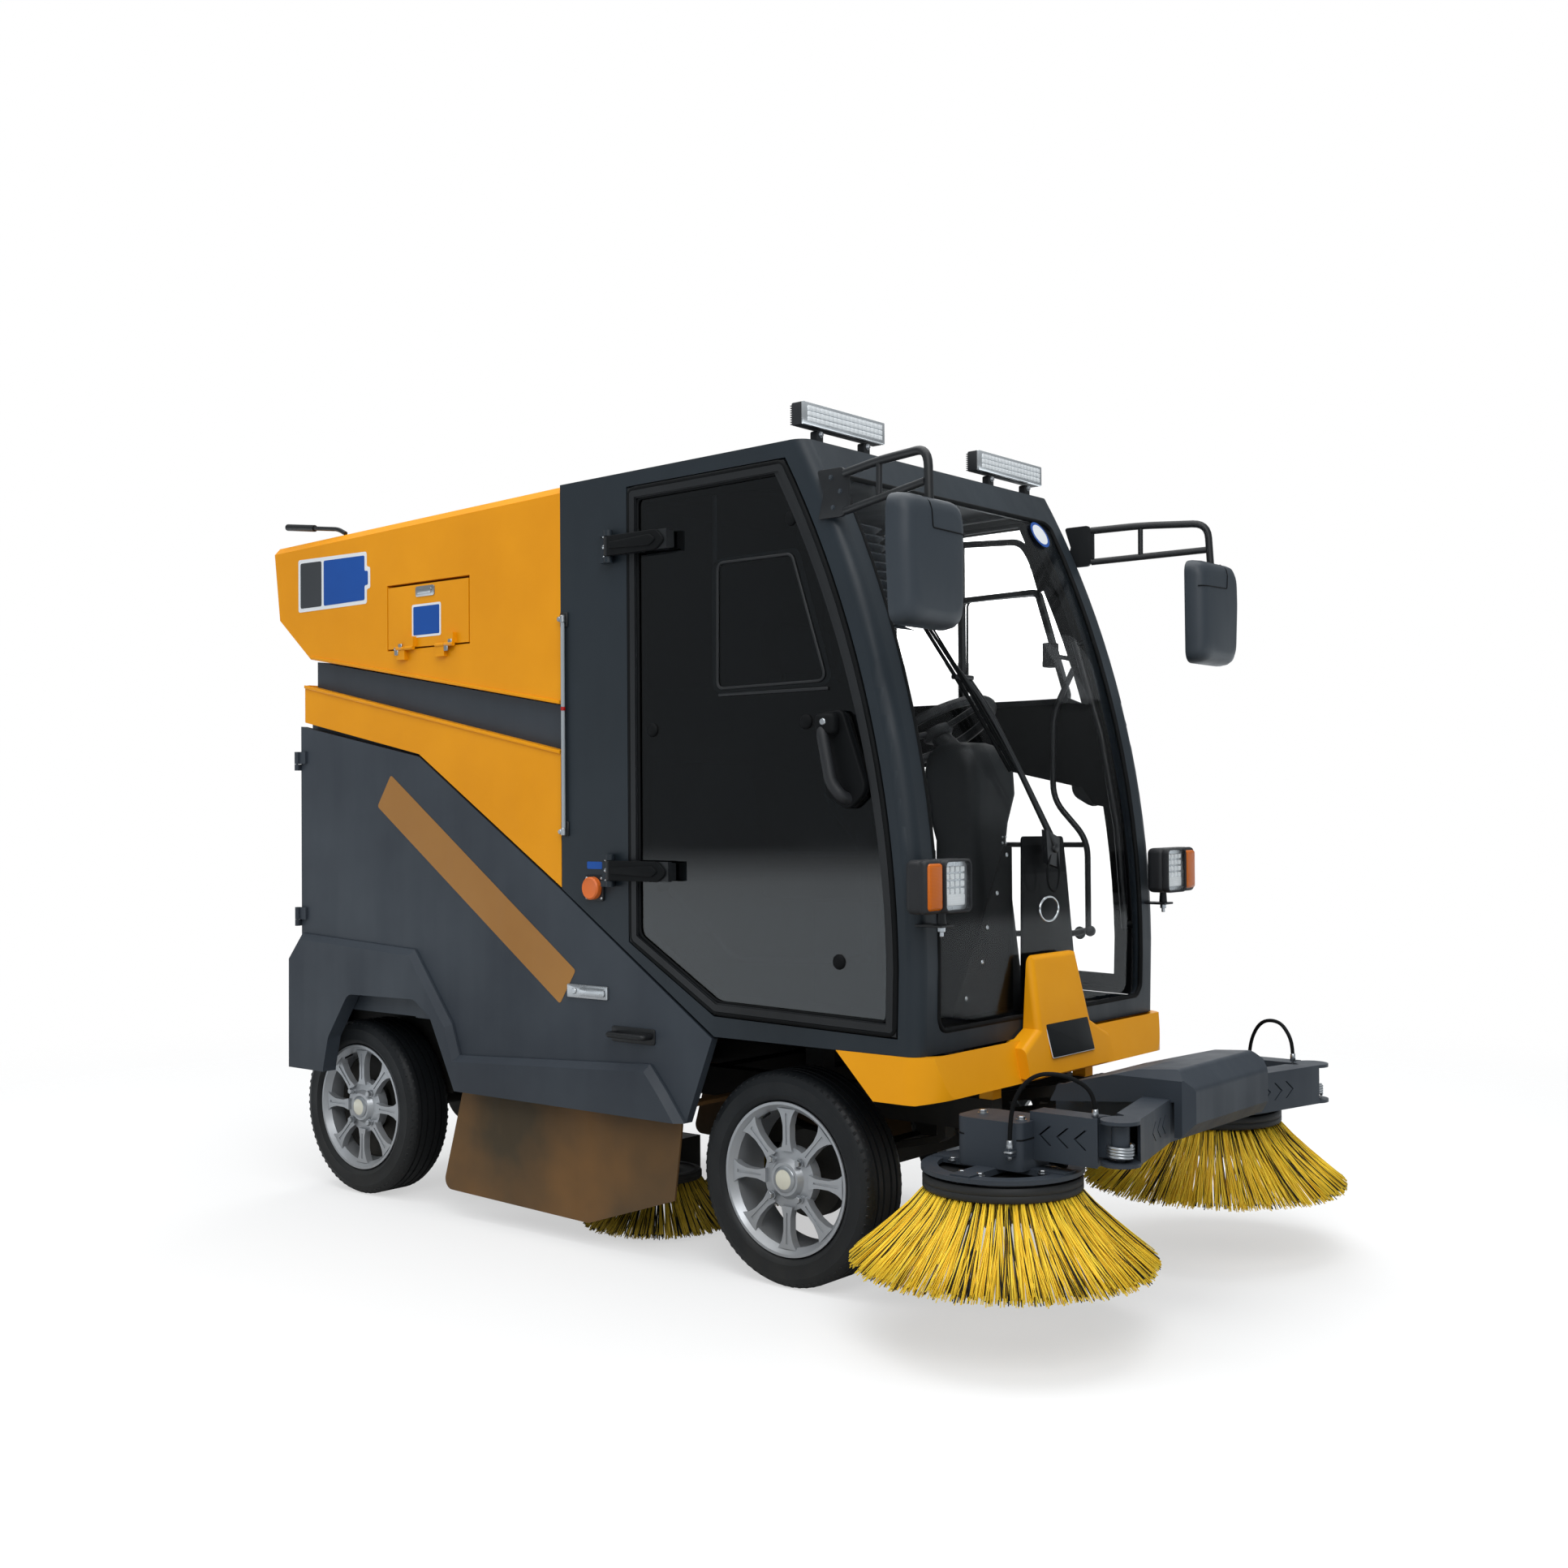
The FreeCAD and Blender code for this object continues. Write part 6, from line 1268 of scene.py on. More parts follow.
@dataclass
class Door:
    """A cab door's seals, strap covers, handle, glass buttons, sliding pane and inner rail."""

    side: Side
    glass_face: float = 578.0
    frame_back: float = 556.0
    rail_y: float = 540.0
    buttons: tuple[tuple[float, float], ...] = ((75, 1931), (-405, 1420), (119, 1423), (216, 836))
    hinge_heights: tuple[float, ...] = (1919.0, 1045.0)

    @property
    def body(self) -> str:
        """The body that the door's pieces ride on."""
        return f"cab_door_{self.side.word}"

    def flat(self, outline: Sequence[Point], y: float) -> Ring:
        """An outline set upright at a distance from the middle of the vehicle."""
        return [at(x, y * self.side.value, z) for x, z in outline]

    def hoop(self, outer: Outline, inner: Outline, ys: Sequence[float]) -> Form:
        """A flat band between two outlines of equal length.

        Args:
            outer: The outline outside.
            inner: The outline inside.
            ys: Where the band's four edges lie: outer start and end, inner start and end.

        Returns:
            The band as a form.
        """
        edges = [self.flat(outline, y)
                 for outline, y in zip((outer, outer, inner, inner), ys)]
        return Form().rings(list(zip(*edges)), closed=True)

    def make(self) -> None:
        """Builds the door's pieces."""
        word, sign, body = self.side.word, self.side.value, self.body
        seal = Form().tube(self.flat(inset(DOOR_OUTLINE, 4), BODY_HALF - 2), 6.5, 22, 10,
                           closed=True)
        seal.tube(self.flat(inset(DOOR_OUTLINE, 31), BODY_HALF - 7), 4.5, 20, 8, closed=True)
        seal.piece(f"DoorSeal_{word}", "black_steel", SEAL, body, sharp=60)
        low, high = BODY_HALF + 0.4, BODY_HALF + 3.4
        self.hoop(inset(DOOR_OUTLINE, 9), inset(DOOR_OUTLINE, 27), (low, high, high, low)).piece(
            f"DoorBand_{word}", "black_steel", BLACK_STEEL, body)
        self.hinges()
        self.handle()
        places = [(at(x, (self.glass_face + 0.2) * sign, z), (0, sign, 0))
                  for x, z in self.buttons]
        REPEATS.make(f"GlassButtons_{word}", dome(19, 9), places, "black_steel", SEAL, body, 60)
        pane = rounded([(-172, 1518), (184, 1522), (78, 1842), (-169, 1842)], 22)
        slider = Form().tube(self.flat(pane, self.glass_face + 1.5), 4.0, 4, 8, closed=True)
        slider.box((-168, 190), span(sign, self.glass_face, self.glass_face + 5), (1498, 1506),
                   1.5, 1)
        slider.piece(f"SliderFrame_{word}", "black_steel", BLACK_STEEL, body, sharp=60)
        self.inner_trim()

    def inner_trim(self) -> None:
        """Builds the dark middle panel, the inner frames and the tube rail inside the glass."""
        word, sign, body, back = self.side.word, self.side.value, self.body, self.frame_back
        band = [(-440, 1526), (196, 1526), (262, 1500), (345, 1200, 30), (275, 1212, 14),
                (236, 1262), (-20, 1316), (-440, 1340)]
        Form().plate("y", 564 * sign, rounded(band, 8), 7.6 * sign, 1.5).piece(
            f"DoorMidPanel_{word}", "black_steel", SEAL, body)
        inner = [(x, z + 30 * min(1.0, max(0.0, (z - 1880) / 150)))
                 for x, z in inset(DOOR_OUTLINE, 54)]
        trim = self.hoop(inset(DOOR_OUTLINE, 18), inner, (back, 570, 570, back))
        trim.tube(run(sign, (-440, 561, 2016), (-184, 561, 2016), (36, 561, 2004),
                      (74, 561, 1945), (104, 561, 1850)), 10.5, 40, 10)
        trim.piece(f"DoorInnerFrame_{word}", "black_steel", SEAL, body, sharp=60)
        pane = rounded([(-181, 1516), (192, 1520), (90, 1848), (-181, 1843)], 20)
        slider = self.hoop(inset(pane, -9), inset(pane, 7), (back, 577, 577, back))
        slider.box((-189, -173), span(sign, back, 577), (1836, 2020), 3, 1)
        slider.piece(f"SliderInner_{word}", "black_steel", BLACK_STEEL, body, sharp=60)
        rail = Form()
        for route, radius, bend in (
                ([(224, 1609), (155, 1481), (152, 1229), (266, 1110), (266, 850)], 9, 50),
                ([(-385, 1000), (-148, 822), (216, 836), (264, 848)], 9, 50),
                ([(-9, 1094), (262, 1096)], 8, 30)):
            rail.tube(self.flat(route, self.rail_y), radius, bend)
        ball = [(16 * math.cos(a), 16 * math.sin(a)) for a in (
            -math.pi / 2 + math.pi * k / 8 for k in range(9))]
        rail.lathe(at(272, self.rail_y * sign, 846), (0, 1, 0), ball, 20, closed=False)
        for x, z in ((-385, 1000), (224, 1609)):
            rail.rod(*run(sign, (x, self.rail_y, z), (x, 574, z)), 8)
        rail.piece(f"DoorRail_{word}", "black_steel", BLACK_STEEL, body, sharp=60)

    def hinges(self) -> None:
        """Builds the ribbed covers of the two strap hinges and their screws."""
        word, sign = self.side.word, self.side.value
        cover, screws = Form(), []
        for z in self.hinge_heights:
            shape = [(-534, z - 27, 6), (-352, z - 27, 26), (-318, z - 4, 26),
                     (-352, z + 27, 26), (-534, z + 27, 6)]
            cover.plate("y", 613.5 * sign, rounded(shape, 6), 7 * sign, 3, 3)
            ridge = [(-520, z - 9, 3), (-372, z - 15, 15), (-346, z, 15), (-372, z + 15, 15),
                     (-520, z + 9, 3)]
            cover.plate("y", 620 * sign, rounded(ridge, 4), 5 * sign, 2.5, 2)
            screws += [(at(-556, 606 * sign, z + dz), (0, sign, 0)) for dz in (-30, 0, 30)]
        cover.piece(f"HingeCovers_{word}", "black_steel", SEAL, self.body, sharp=50)
        REPEATS.make(f"HingeScrews_{word}", dome(6.5, 5), screws, "black_steel", STEEL, sharp=60)

    def handle(self) -> None:
        """Builds the pull handle with its lock."""
        word, sign, body = self.side.word, self.side.value, self.body
        shape = [(174, 1442, 18), (247, 1448, 24), (320, 1250, 42), (262, 1202, 32),
                 (194, 1240, 42)]
        form = Form().plate("y", 589 * sign, rounded(shape, 20, 8), 13.5 * sign, 5, 4)
        form.box((184, 244), span(sign, 600, 634), (1386, 1440), 14, 4)
        form.piece(f"HandleBase_{word}", "black_steel", SEAL, body, sharp=50)
        grip = run(sign, (204, 598, 1412), (206, 628, 1396), (236, 632, 1270), (258, 620, 1238),
                   (264, 597, 1231))
        Form().tube(grip, 15, 18, 16).piece(f"HandleGrip_{word}", "black_steel", PLASTIC, body,
                                            sharp=70)
        Form().rod(*run(sign, (214, 632, 1418), (214, 637, 1418)), 9, 8, 20, 1).piece(
            f"HandleLock_{word}", "black_steel", STEEL, body)


def front_at(z: float) -> float:
    """The station of the cab's bowed front at a height."""
    return -2217.2 + math.sqrt(2675.0 ** 2 - (z - 827.1) ** 2)


@dataclass
class CabInterior:
    """Seat, steering wheel, instrument tower, wiper and the parts seen through the glass."""

    seat_ends: tuple[tuple[float, float], ...] = (
        (-236, 0.72), (-229, 0.88), (-212, 0.97), (-180, 1.0), (-90, 1.01), (0, 1.0),
        (90, 1.01), (180, 1.0), (212, 0.97), (229, 0.88), (236, 0.72))
    wheel_radius: float = 164.0
    sticker_z: float = 1993.0
    blind_z: float = 1650.0

    def make(self) -> None:
        """Builds what is seen inside the cab."""
        self.seat()
        self.steering()
        self.front_plate()
        self.wiper()
        self.screen_trim()
        self.pillar_block()

    def pad(self, name: str, section: Sequence[Point], share: float = 1.0) -> None:
        """Builds a crowned cushion by lofting a rounded section across the seat.

        Args:
            name: The cushion's name.
            section: The section's outline at full size.
            share: The cushion's width as a share of the seat's.
        """
        middle = Vector((sum(p[0] for p in section) / len(section),
                         sum(p[1] for p in section) / len(section)))
        rings = []
        for y, size in self.seat_ends:
            flat = [middle + (Vector(p) - middle) * size for p in rounded(section, 34, 8)]
            rings.append([at(x, y * share, z) for x, z in flat])
        made = Form().rings(rings).piece(name, "seat_cover", SEAT_COVER, replaced=["seat"],
                                         sharp=75)

    def seat(self) -> None:
        """Builds the driver's seat."""
        self.pad("SeatCushion", [(-345, 958), (88, 958), (92, 1052), (-340, 1046)])
        self.pad("SeatBack", [(-300, 1040), (-208, 1040), (-318, 1560), (-420, 1560)])
        self.pad("HeadRest", [(-398, 1600), (-330, 1600), (-352, 1742), (-420, 1742)], 0.55)
        base = Form().box((-158, 58), (-208, 208), (650, 956), 10, 2)
        for y in (-70, 70):
            base.rod(at(-360, y, 1540), at(-372, y, 1620), 7)
        base.piece("SeatBase", "seat_cover", PLASTIC)

    def steering(self) -> None:
        """Builds the steering wheel over its column pod."""
        centre = at(112, 0, 1412)
        lean = (at(140, 0, 1440) - at(186, 0, 1362)).normalized()
        side = lean.orthogonal().normalized()
        other = lean.cross(side)
        circle = [centre + (side * math.cos(a) + other * math.sin(a)) * self.wheel_radius * MM
                  for a in turns(40)]
        wheel = Form().tube(circle, 13, 3, 12, closed=True)
        wheel.lathe(centre - lean * 18 * MM, lean, [(0, 0), (34, 0), (44, 10), (40, 26), (0, 30)],
                    24, closed=False)
        for a in (math.radians(90 + 120 * k) for k in range(3)):
            out = side * math.cos(a) + other * math.sin(a)
            wheel.tube([centre + out * 30 * MM, centre + out * 158 * MM], 9, 5, 8)
        wheel.piece("SteeringWheel", "dark_plastic", PLASTIC, replaced=["steering_wheel"],
                    sharp=60)
        rings = []
        for z, rear, front, half in (
                (652, 152, 398, 94), (700, 152, 396, 94), (760, 152, 330, 94),
                (1000, 152, 298, 96), (1120, 152, 286, 94), (1165, 142, 288, 100),
                (1243, 130, 302, 114), (1310, 131, 298, 113), (1350, 138, 282, 106),
                (1372, 154, 258, 88), (1381, 176, 236, 66)):
            rings.append([at(x, y, z) for x, y in panel((rear, -half), (front, half), 44)])
        pod = Form().rings(rings)
        pod.tube([at(180, 0, 1350), at(119, 0, 1400)], 27, 5, 16)
        pod.piece("InstrumentPod", "dark_plastic", POD, replaced=["dash_console"], sharp=60)
        places = [(at(292, y, z), AHEAD) for y in (40, 56) for z in (1128, 1112, 1058, 1042)]
        REPEATS.make("PodScrews", dome(3.5, 2.5), places, "dark_plastic", STEEL, sharp=60)

    @staticmethod
    def front_plate() -> None:
        """Builds the black plate behind the screen, with a blank oval badge and screws."""
        shape = [(-86, 690, 4), (200, 690, 4), (131, 1130, 14), (-78, 1133, 14)]
        Form().plate("x", 421, rounded(shape, 6), 5, 1.5).piece("ScreenPlate", "dark_plastic",
                                                                SEAL)
        badge = oval(47, 32, 28, (48, 940))
        Form().plate("x", 426, badge, 2, 0.8).piece("OvalBadge", "dark_plastic", SEAL)
        Form().tube([at(428, y, z) for y, z in badge], 3.6, 1, 8, closed=True).piece(
            "OvalRing", "dark_plastic", CHROME, sharp=60)
        kick = [(-370, 690), (-90, 690), (-90, 1108), (-126, 1108), (-284, 835)]
        Form().plate("x", 398, rounded(kick, 8), 5, 1.5).piece("KickPanel", "dark_plastic", SEAL)
        places = [(at(404, y, z), AHEAD) for y, z in (
            (-118, 1086), (-165, 990), (-212, 905), (-236, 820), (-310, 735))]
        REPEATS.make("PanelScrews", dome(6, 3), places, "dark_plastic", STEEL, sharp=60)

    @staticmethod
    def wiper() -> None:
        """Builds the wiper: pivot, two-bar arm and blade."""
        arm = Form().rod(at(436, 18, 1101), at(474, 18, 1101), 15, 12, 20, 2)
        foot = run(1, (452, -8, 1062), (456, 44, 1048), (462, 34, 1128), (458, -26, 1150))
        arm.rings([[p + Vector((dx * MM, 0, 0)) for p in foot] for dx in (-4, 10)])
        arm.tube(run(1, (468, 18, 1101), (446, -118, 1299), (423, -177, 1401), (401, -235, 1488),
                     (372, -296, 1560)), 6.5, 30, 8)
        arm.tube(run(1, (464, 34, 1110), (440, -100, 1301), (404, -191, 1461),
                     (372, -230, 1532)), 4.2, 30, 8)
        arm.box((360, 380), (-300, -222), (1530, 1542), 4, 2)
        arm.piece("WiperArm", "black_steel", BLACK_STEEL, replaced=["fittings"], sharp=60)
        blade = Form()
        low, high = at(430, -132, 1301), at(341, -380, 1656)
        for lift, bulge, thick in ((-4, 7, 5.0), (8, 12, 4.0), (18, 6, 2.6)):
            blade.tube([point + Vector((ahead * MM, 0, 0)) for point, ahead in (
                (low, lift), ((low + high) / 2, lift + bulge), (high, lift))], thick, 200, 8)
        blade.piece("WiperBlade", "black_steel", SEAL, sharp=60)
        Form().tube(run(1, (462, 6, 1090), (466, -20, 1040), (468, -16, 998), (468, 22, 985),
                        (468, 40, 1030), (466, 30, 1090)), 3, 25, 8).piece(
            "WasherPipe", "black_steel", SEAL, sharp=60)

    @staticmethod
    def pillar_block() -> None:
        """Builds the small display block on the left pillar."""
        block = Form().box((148, 182), (490, 532), (1616, 1688), 4, 2)
        block.rod(at(170, 512, 1650), at(215, 548, 1640), 7)
        block.piece("PillarBlock", "dark_plastic", SEAL)

    def screen_trim(self) -> None:
        """Builds the rubber round the windscreen, the blank sticker and the folded blind."""
        heights = [700 + (2022 - 700) * i / 14 for i in range(15)]
        ring = [at(front_at(z) - 3, y, z) for y, z in (
            *((503, z) for z in heights), (480, 2037), (-480, 2037),
            *((-503, z) for z in reversed(heights)), (-480, 676), (480, 676))]
        Form().tube(ring, 7, 12, 8, closed=True).piece("ScreenSeal", "black_steel", SEAL,
                                                       sharp=60)
        z = self.sticker_z
        slope = Vector((front_at(z + 1) - front_at(z - 1), 0, 2)).normalized()
        ahead = Vector((slope.z, 0, -slope.x))
        for name, size, lift, finish in (("StickerRim", 42, 0.4, LABEL_BLUE),
                                         ("StickerFace", 33, 1.0, LABEL_WHITE)):
            place = lambda u, v: (at(front_at(z), 417, z) + ahead * lift * MM
                                  + Vector((0, u * MM, 0)) + slope * v * MM)
            Form().slab(oval(size, size, 36), place, ahead * 0.6).piece(name, "clear_glass",
                                                                        finish)
        fold = [(front_at(z) - (52 if i % 2 else 24), z)
                for i, z in enumerate(self.blind_z + 12 * step for step in range(24))]
        back = [(x - 5, z) for x, z in reversed(fold)]
        Form().plate("y", -492, fold + back, 120).piece("FoldedBlind", "dark_plastic",
                                                        MIRROR_CASE)


@dataclass
class BodyDetails:
    """Badge, labels, latches, level tube, socket, roof lever, panel lips and arch liners."""

    face: float = -BODY_HALF
    hinge_z: float = 1699.5
    hinge_y: float = -600.0

    def on_side(self, x: float, z: float, proud: float = 0.0) -> Vector:
        """A point on the right-hand side, or proud of it."""
        return at(x, self.face - proud, z)

    def lay(self, outline: Sequence[Point], proud: float, thick: float, edge: float = 0.0,
            form: Optional[Form] = None, steps: int = 2) -> Form:
        """Lays a flat shape on the right-hand side, in a new form or in one that is given."""
        return (form or Form()).plate("y", self.face - proud, outline, -thick, edge, steps)

    def label(self, name: str, outline: Sequence[Point], finish: Finish, proud: float = 0.3,
              body: str = "chassis", slot: str = "yellow_paint") -> None:
        """Lays a thin label on the side."""
        self.lay(outline, proud, 0.5).piece(name, slot, finish, body)

    def make(self) -> None:
        """Builds the details."""
        self.badge()
        self.hatch()
        self.level_tube()
        self.socket()
        self.panel_fittings()
        self.roof_lever()
        self.trim()

    def badge(self) -> None:
        """Builds the battery-shaped badge, left without letters."""
        self.label("BadgeRim", rounded([
            (-1974, 1850), (-1617, 1852), (-1617, 1898), (-1600, 1898), (-1600, 1966),
            (-1617, 1966), (-1617, 2014), (-1974, 2020)], 10), LABEL_WHITE)
        self.label("BadgeCell", rounded([
            (-1962, 1862), (-1850, 1862), (-1850, 2006), (-1962, 2008)], 8), LABEL_GREY, 0.8)
        self.label("BadgeCharge", rounded([
            (-1838, 1862), (-1628, 1864), (-1628, 1910), (-1611, 1910), (-1611, 1954),
            (-1628, 1954), (-1628, 2003), (-1838, 2006)], 7), LABEL_BLUE, 0.8)

    def hatch(self) -> None:
        """Builds the hatch's label, latch and hinge leaves."""
        self.label("HatchLabelRim", panel((-1397, 1730), (-1262, 1830), 8), LABEL_WHITE,
                   body="hatch")
        self.label("HatchLabel", panel((-1390, 1737), (-1269, 1823), 5), LABEL_BLUE, 0.8, "hatch")
        latch = self.lay(panel((-1378, 1852), (-1290, 1884), 9), 0.2, 3, 1.4)
        self.lay(panel((-1366, 1860), (-1302, 1876), 5), 3, 3.5, 1.5, latch)
        latch.piece("HatchLatch", "yellow_paint", STEEL, "hatch")
        y, z = self.hinge_y, self.hinge_z
        for x in (-1446, -1214):
            for name, x0, x1, zs, body in (
                    ("HatchHinge", x + 1, x + 17.4, (1700, 1714), "hatch"),
                    ("HatchKnuckle", x - 17.4, x - 1, (1680, 1699), "chassis")):
                leaf = Form().rod(at(x0, y, z), at(x1, y, z), 6, 6, 20, 0.8)
                leaf.box((x0, x1), (-604.5, -599), zs, 1.2, 1)
                leaf.piece(f"{name}_{abs(x)}", "yellow_paint", STEEL, body)

    @staticmethod
    def level_tube() -> None:
        """Builds the water level tube with its two end fittings."""
        bore = lambda low, high: (at(-730, -597, low), at(-730, -597, high))
        Form().rod(*bore(1150, 1742), 5.5, 5.5, 16).piece("LevelTube", "clear_glass", TUBE,
                                                         replaced=["fittings"])
        rail = Form().box((-737, -733), (-592, -588.4), (1140, 1752), 0.8, 1)
        for z in (1142, 1722):
            rail.box((-745, -716), (-593, -588.4), (z - 6, z + 34), 1.5, 1)
        rail.piece("LevelRail", "dark_paint", BLACK_STEEL)
        ends = Form()
        for z in (1148, 1738):
            ends.rod(at(-741, -593, z), at(-741, -603, z), 8, 7, 16, 1.5)
            ends.rod(*bore(z - 10, z + 10), 8, 8, 16, 1.5)
        ends.piece("LevelEnds", "dark_paint", STEEL)
        # The red mark's glow is painted light.
        Form().rod(*bore(1484, 1494), 6.4, 6.4, 16).piece("LevelMark", "dark_paint", GLOWING_RED_MARK)

    def socket(self) -> None:
        """Builds the charging socket with its orange cap and a blank label."""
        self.lay(panel((-650, 960), (-579, 1030), 8), 0.3, 6, 1.5).piece(
            "SocketPlate", "dark_paint", BLACK_STEEL)
        Form().lathe(self.on_side(-616, 995, 6), (0, -1, 0), [
            (0, 0), (31, 0), (31, 14), (27, 18), (20, 16), (0, 16)], 40, closed=False).piece(
            "SocketCap", "dark_paint", ORANGE_CAP)
        places = [(self.on_side(x, z, 6), (0, -1, 0)) for x in (-643, -586) for z in (968, 1022)]
        REPEATS.make("SocketScrews", dome(4, 3), places, "dark_paint", STEEL, sharp=60)
        self.label("SocketLabel", panel((-646, 1047), (-588, 1067), 4), LABEL_BLUE,
                   slot="dark_paint")

    def panel_fittings(self) -> None:
        """Builds the band, the latch and the pull handle on the service panel."""
        body, slot = "service_panel_right", "dark_paint"
        band = rounded([(-1568, 1222), (-757, 670), (-694, 766), (-1502, 1318)], 10)
        self.label("PanelBand", band, STICKER, body=body, slot=slot)
        latch = self.lay(panel((-724, 692), (-567, 729), 4), 0.2, 5, 1.5)
        self.lay(panel((-672, 699), (-575, 722), 8), 5, 5, 2, latch)
        latch.rod(self.on_side(-696, 710, 5), self.on_side(-696, 710, 8), 9, 8, 20, 1)
        latch.piece("PanelLatch", slot, STEEL, body)
        pull = self.lay(panel((-552, 584), (-392, 626), 8), 0.2, 4, 1.5)
        pull.tube([self.on_side(x, 606, proud) for x, proud in (
            (-538, 3), (-538, 36), (-406, 36), (-406, 3))], 7.5, 12, 12)
        pull.piece("PanelPull", slot, BLACK_STEEL, body, sharp=60)

    @staticmethod
    def roof_lever() -> None:
        """Builds the lever on the rear of the roof, with its grip."""
        form = Form().tube(run(-1, (-2069, 560, 2140), (-1800, 560, 2106), (-1762, 560, 2088)),
                           7, 20)
        form.tube(run(-1, (-2072, 560, 2140.5), (-1925, 560, 2122)), 11, 5, 14)
        form.piece("RoofLever", "black_steel", BLACK_STEEL, sharp=60)

    @staticmethod
    def trim() -> None:
        """Builds the folded lips under the yellow panels and the liners of the rear arches."""
        edges = ([(-1906, 1696), (-749, 1503), (-749, 1513), (-1909, 1706)],
                 [(-1940, 1604), (-749, 1364), (-749, 1374), (-1940, 1614)])
        arch = [(-1985, 322), (-1480, 322), (-1462, 520), (-1530, 640), (-1999, 640),
                (-1999, 440)]
        for side in Side:
            sign, lips = side.value, Form()
            for edge in edges:
                lips.plate("y", (BODY_HALF + 0.2) * sign, edge, 5 * sign, 2)
            lips.piece(f"PanelLips_{side.word}", "yellow_paint", YELLOW)
            liner = Form().plate("y", 366 * sign, arch, 6 * sign, 1.5)
            liner.box((-1999, -1993), span(sign, 368, 442), (440, 640))
            liner.piece(f"ArchLiner_{side.word}", "chassis_paint", CHASSIS)


@dataclass
class NosePlate:
    """The dark blank plate with its thin pale rim on the sloping nose."""

    width: float = 212.0
    height: float = 88.0
    rim: float = 1.6
    thick: float = 1.5

    def make(self) -> None:
        """Builds the rim and the plate."""
        low, high = at(523, -98, 572), at(501, -98, 656)
        rise = (high - low).normalized()
        across = Vector((0, 1, 0))
        normal = across.cross(rise).normalized()
        place = lambda y, z: low + across * y * MM + rise * z * MM + normal * self.thick * MM
        Form().slab(panel((0, 0), (self.width, self.height), 5), place, normal * self.thick,
                    0.4).piece("NosePlateRim", "yellow_paint", LABEL_WHITE)
        Form().slab(panel((self.rim, self.rim), (self.width - self.rim, self.height - self.rim),
                          4), lambda y, z: place(y, z) + normal * self.thick * MM, normal * 0.8,
                    0.2).piece("NosePlate", "yellow_paint", PLATE)


@dataclass
class ArmFittings:
    """The fork's spring, the bolts, the motor cover's seam, the clips and the hose of an arm."""

    side: Side
    hose_route: tuple[tuple[float, float, float], ...] = (
        (722, 619, 452), (722, 619, 504.3), (734, 615, 570.3), (772, 599, 618.3),
        (830, 577, 622.3), (872, 541, 596.3), (888, 531, 562.3), (888, 531, 526.3))

    def make(self) -> None:
        """Builds the fittings."""
        sign, word, slot = self.side.value, self.side.word, "dark_paint"
        body = f"arm_{word}"
        rounds, steps = 4, 14
        helix = [at(943 + 27 * math.cos(a), sign * (519 + 27 * math.sin(a)),
                    445 + 26 * i / (rounds * steps))
                 for i, a in ((i, 2 * math.pi * i / steps) for i in range(rounds * steps + 1))]
        Form().rings(tube_rings(helix, 4 * MM, 8)).piece(
            f"ForkSpring_{word}", slot, STEEL, "carriage", sharp=70)
        guard = [(*run(sign, (652 + dx, 539 + dy, 393)), UP) for dx, dy in (
            (120, 24), (120, -24), (-120, 24), (-120, -24), (24, 130), (-24, 130))]
        REPEATS.make(f"GuardBolts_{word}", bolt(8, 8), guard, slot, STEEL, body)
        seam = rounded([(559.2, 604.8, 40), (742.8, 604.8, 16), (742.8, 473.2, 16),
                        (559.2, 473.2, 40)], 16)
        Form().plate("z", 466, [(x, sign * y) for x, y in seam], 3.5).piece(
            f"MotorSeam_{word}", slot, SEAL, body)
        tops = [(*run(sign, (x, y, 506)), UP) for x, y in ((600, 539), (716, 560))]
        REPEATS.make(f"MotorBolts_{word}", bolt(9, 9), tops, slot, STEEL, body)
        clip = Form().box((712, 732), span(sign, 606, 630), (440, 446), 1.5, 1)
        for x, y, low, high, radius, tip, sides in (
                (722, 619, 446, 470, 8.5, 7.5, 6), (722, 619, 426, 440, 5, 5, 12),
                (888, 531, 526.5, 544, 8, 7, 6)):
            clip.rod(*run(sign, (x, y, low), (x, y, high)), radius, tip, sides, 1)
        clip.piece(f"HoseClips_{word}", slot, STEEL, body, sharp=50)
        self.hose()

    def hose(self) -> None:
        """Builds the hydraulic hose along the route that the CAD gives it."""
        word, route = self.side.word, run(self.side.value, *self.hose_route)
        data = bpy.data.curves.new(f"Hose_{word}", "CURVE")
        data.dimensions = "3D"
        data.bevel_depth, data.bevel_resolution = 5 * MM, 3
        data.resolution_u = 8
        data.use_fill_caps = True
        spline = data.splines.new("NURBS")
        spline.points.add(len(route) - 1)
        for point, spot in zip(spline.points, route):
            point.co = (*spot, 1.0)
        spline.order_u = 3
        spline.use_endpoint_u = True
        data.materials.append(SEAL.material())
        made = link(f"Hose_{word}", data)
        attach(made, f"arm_{word}")
        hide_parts(f"hose_{word}")


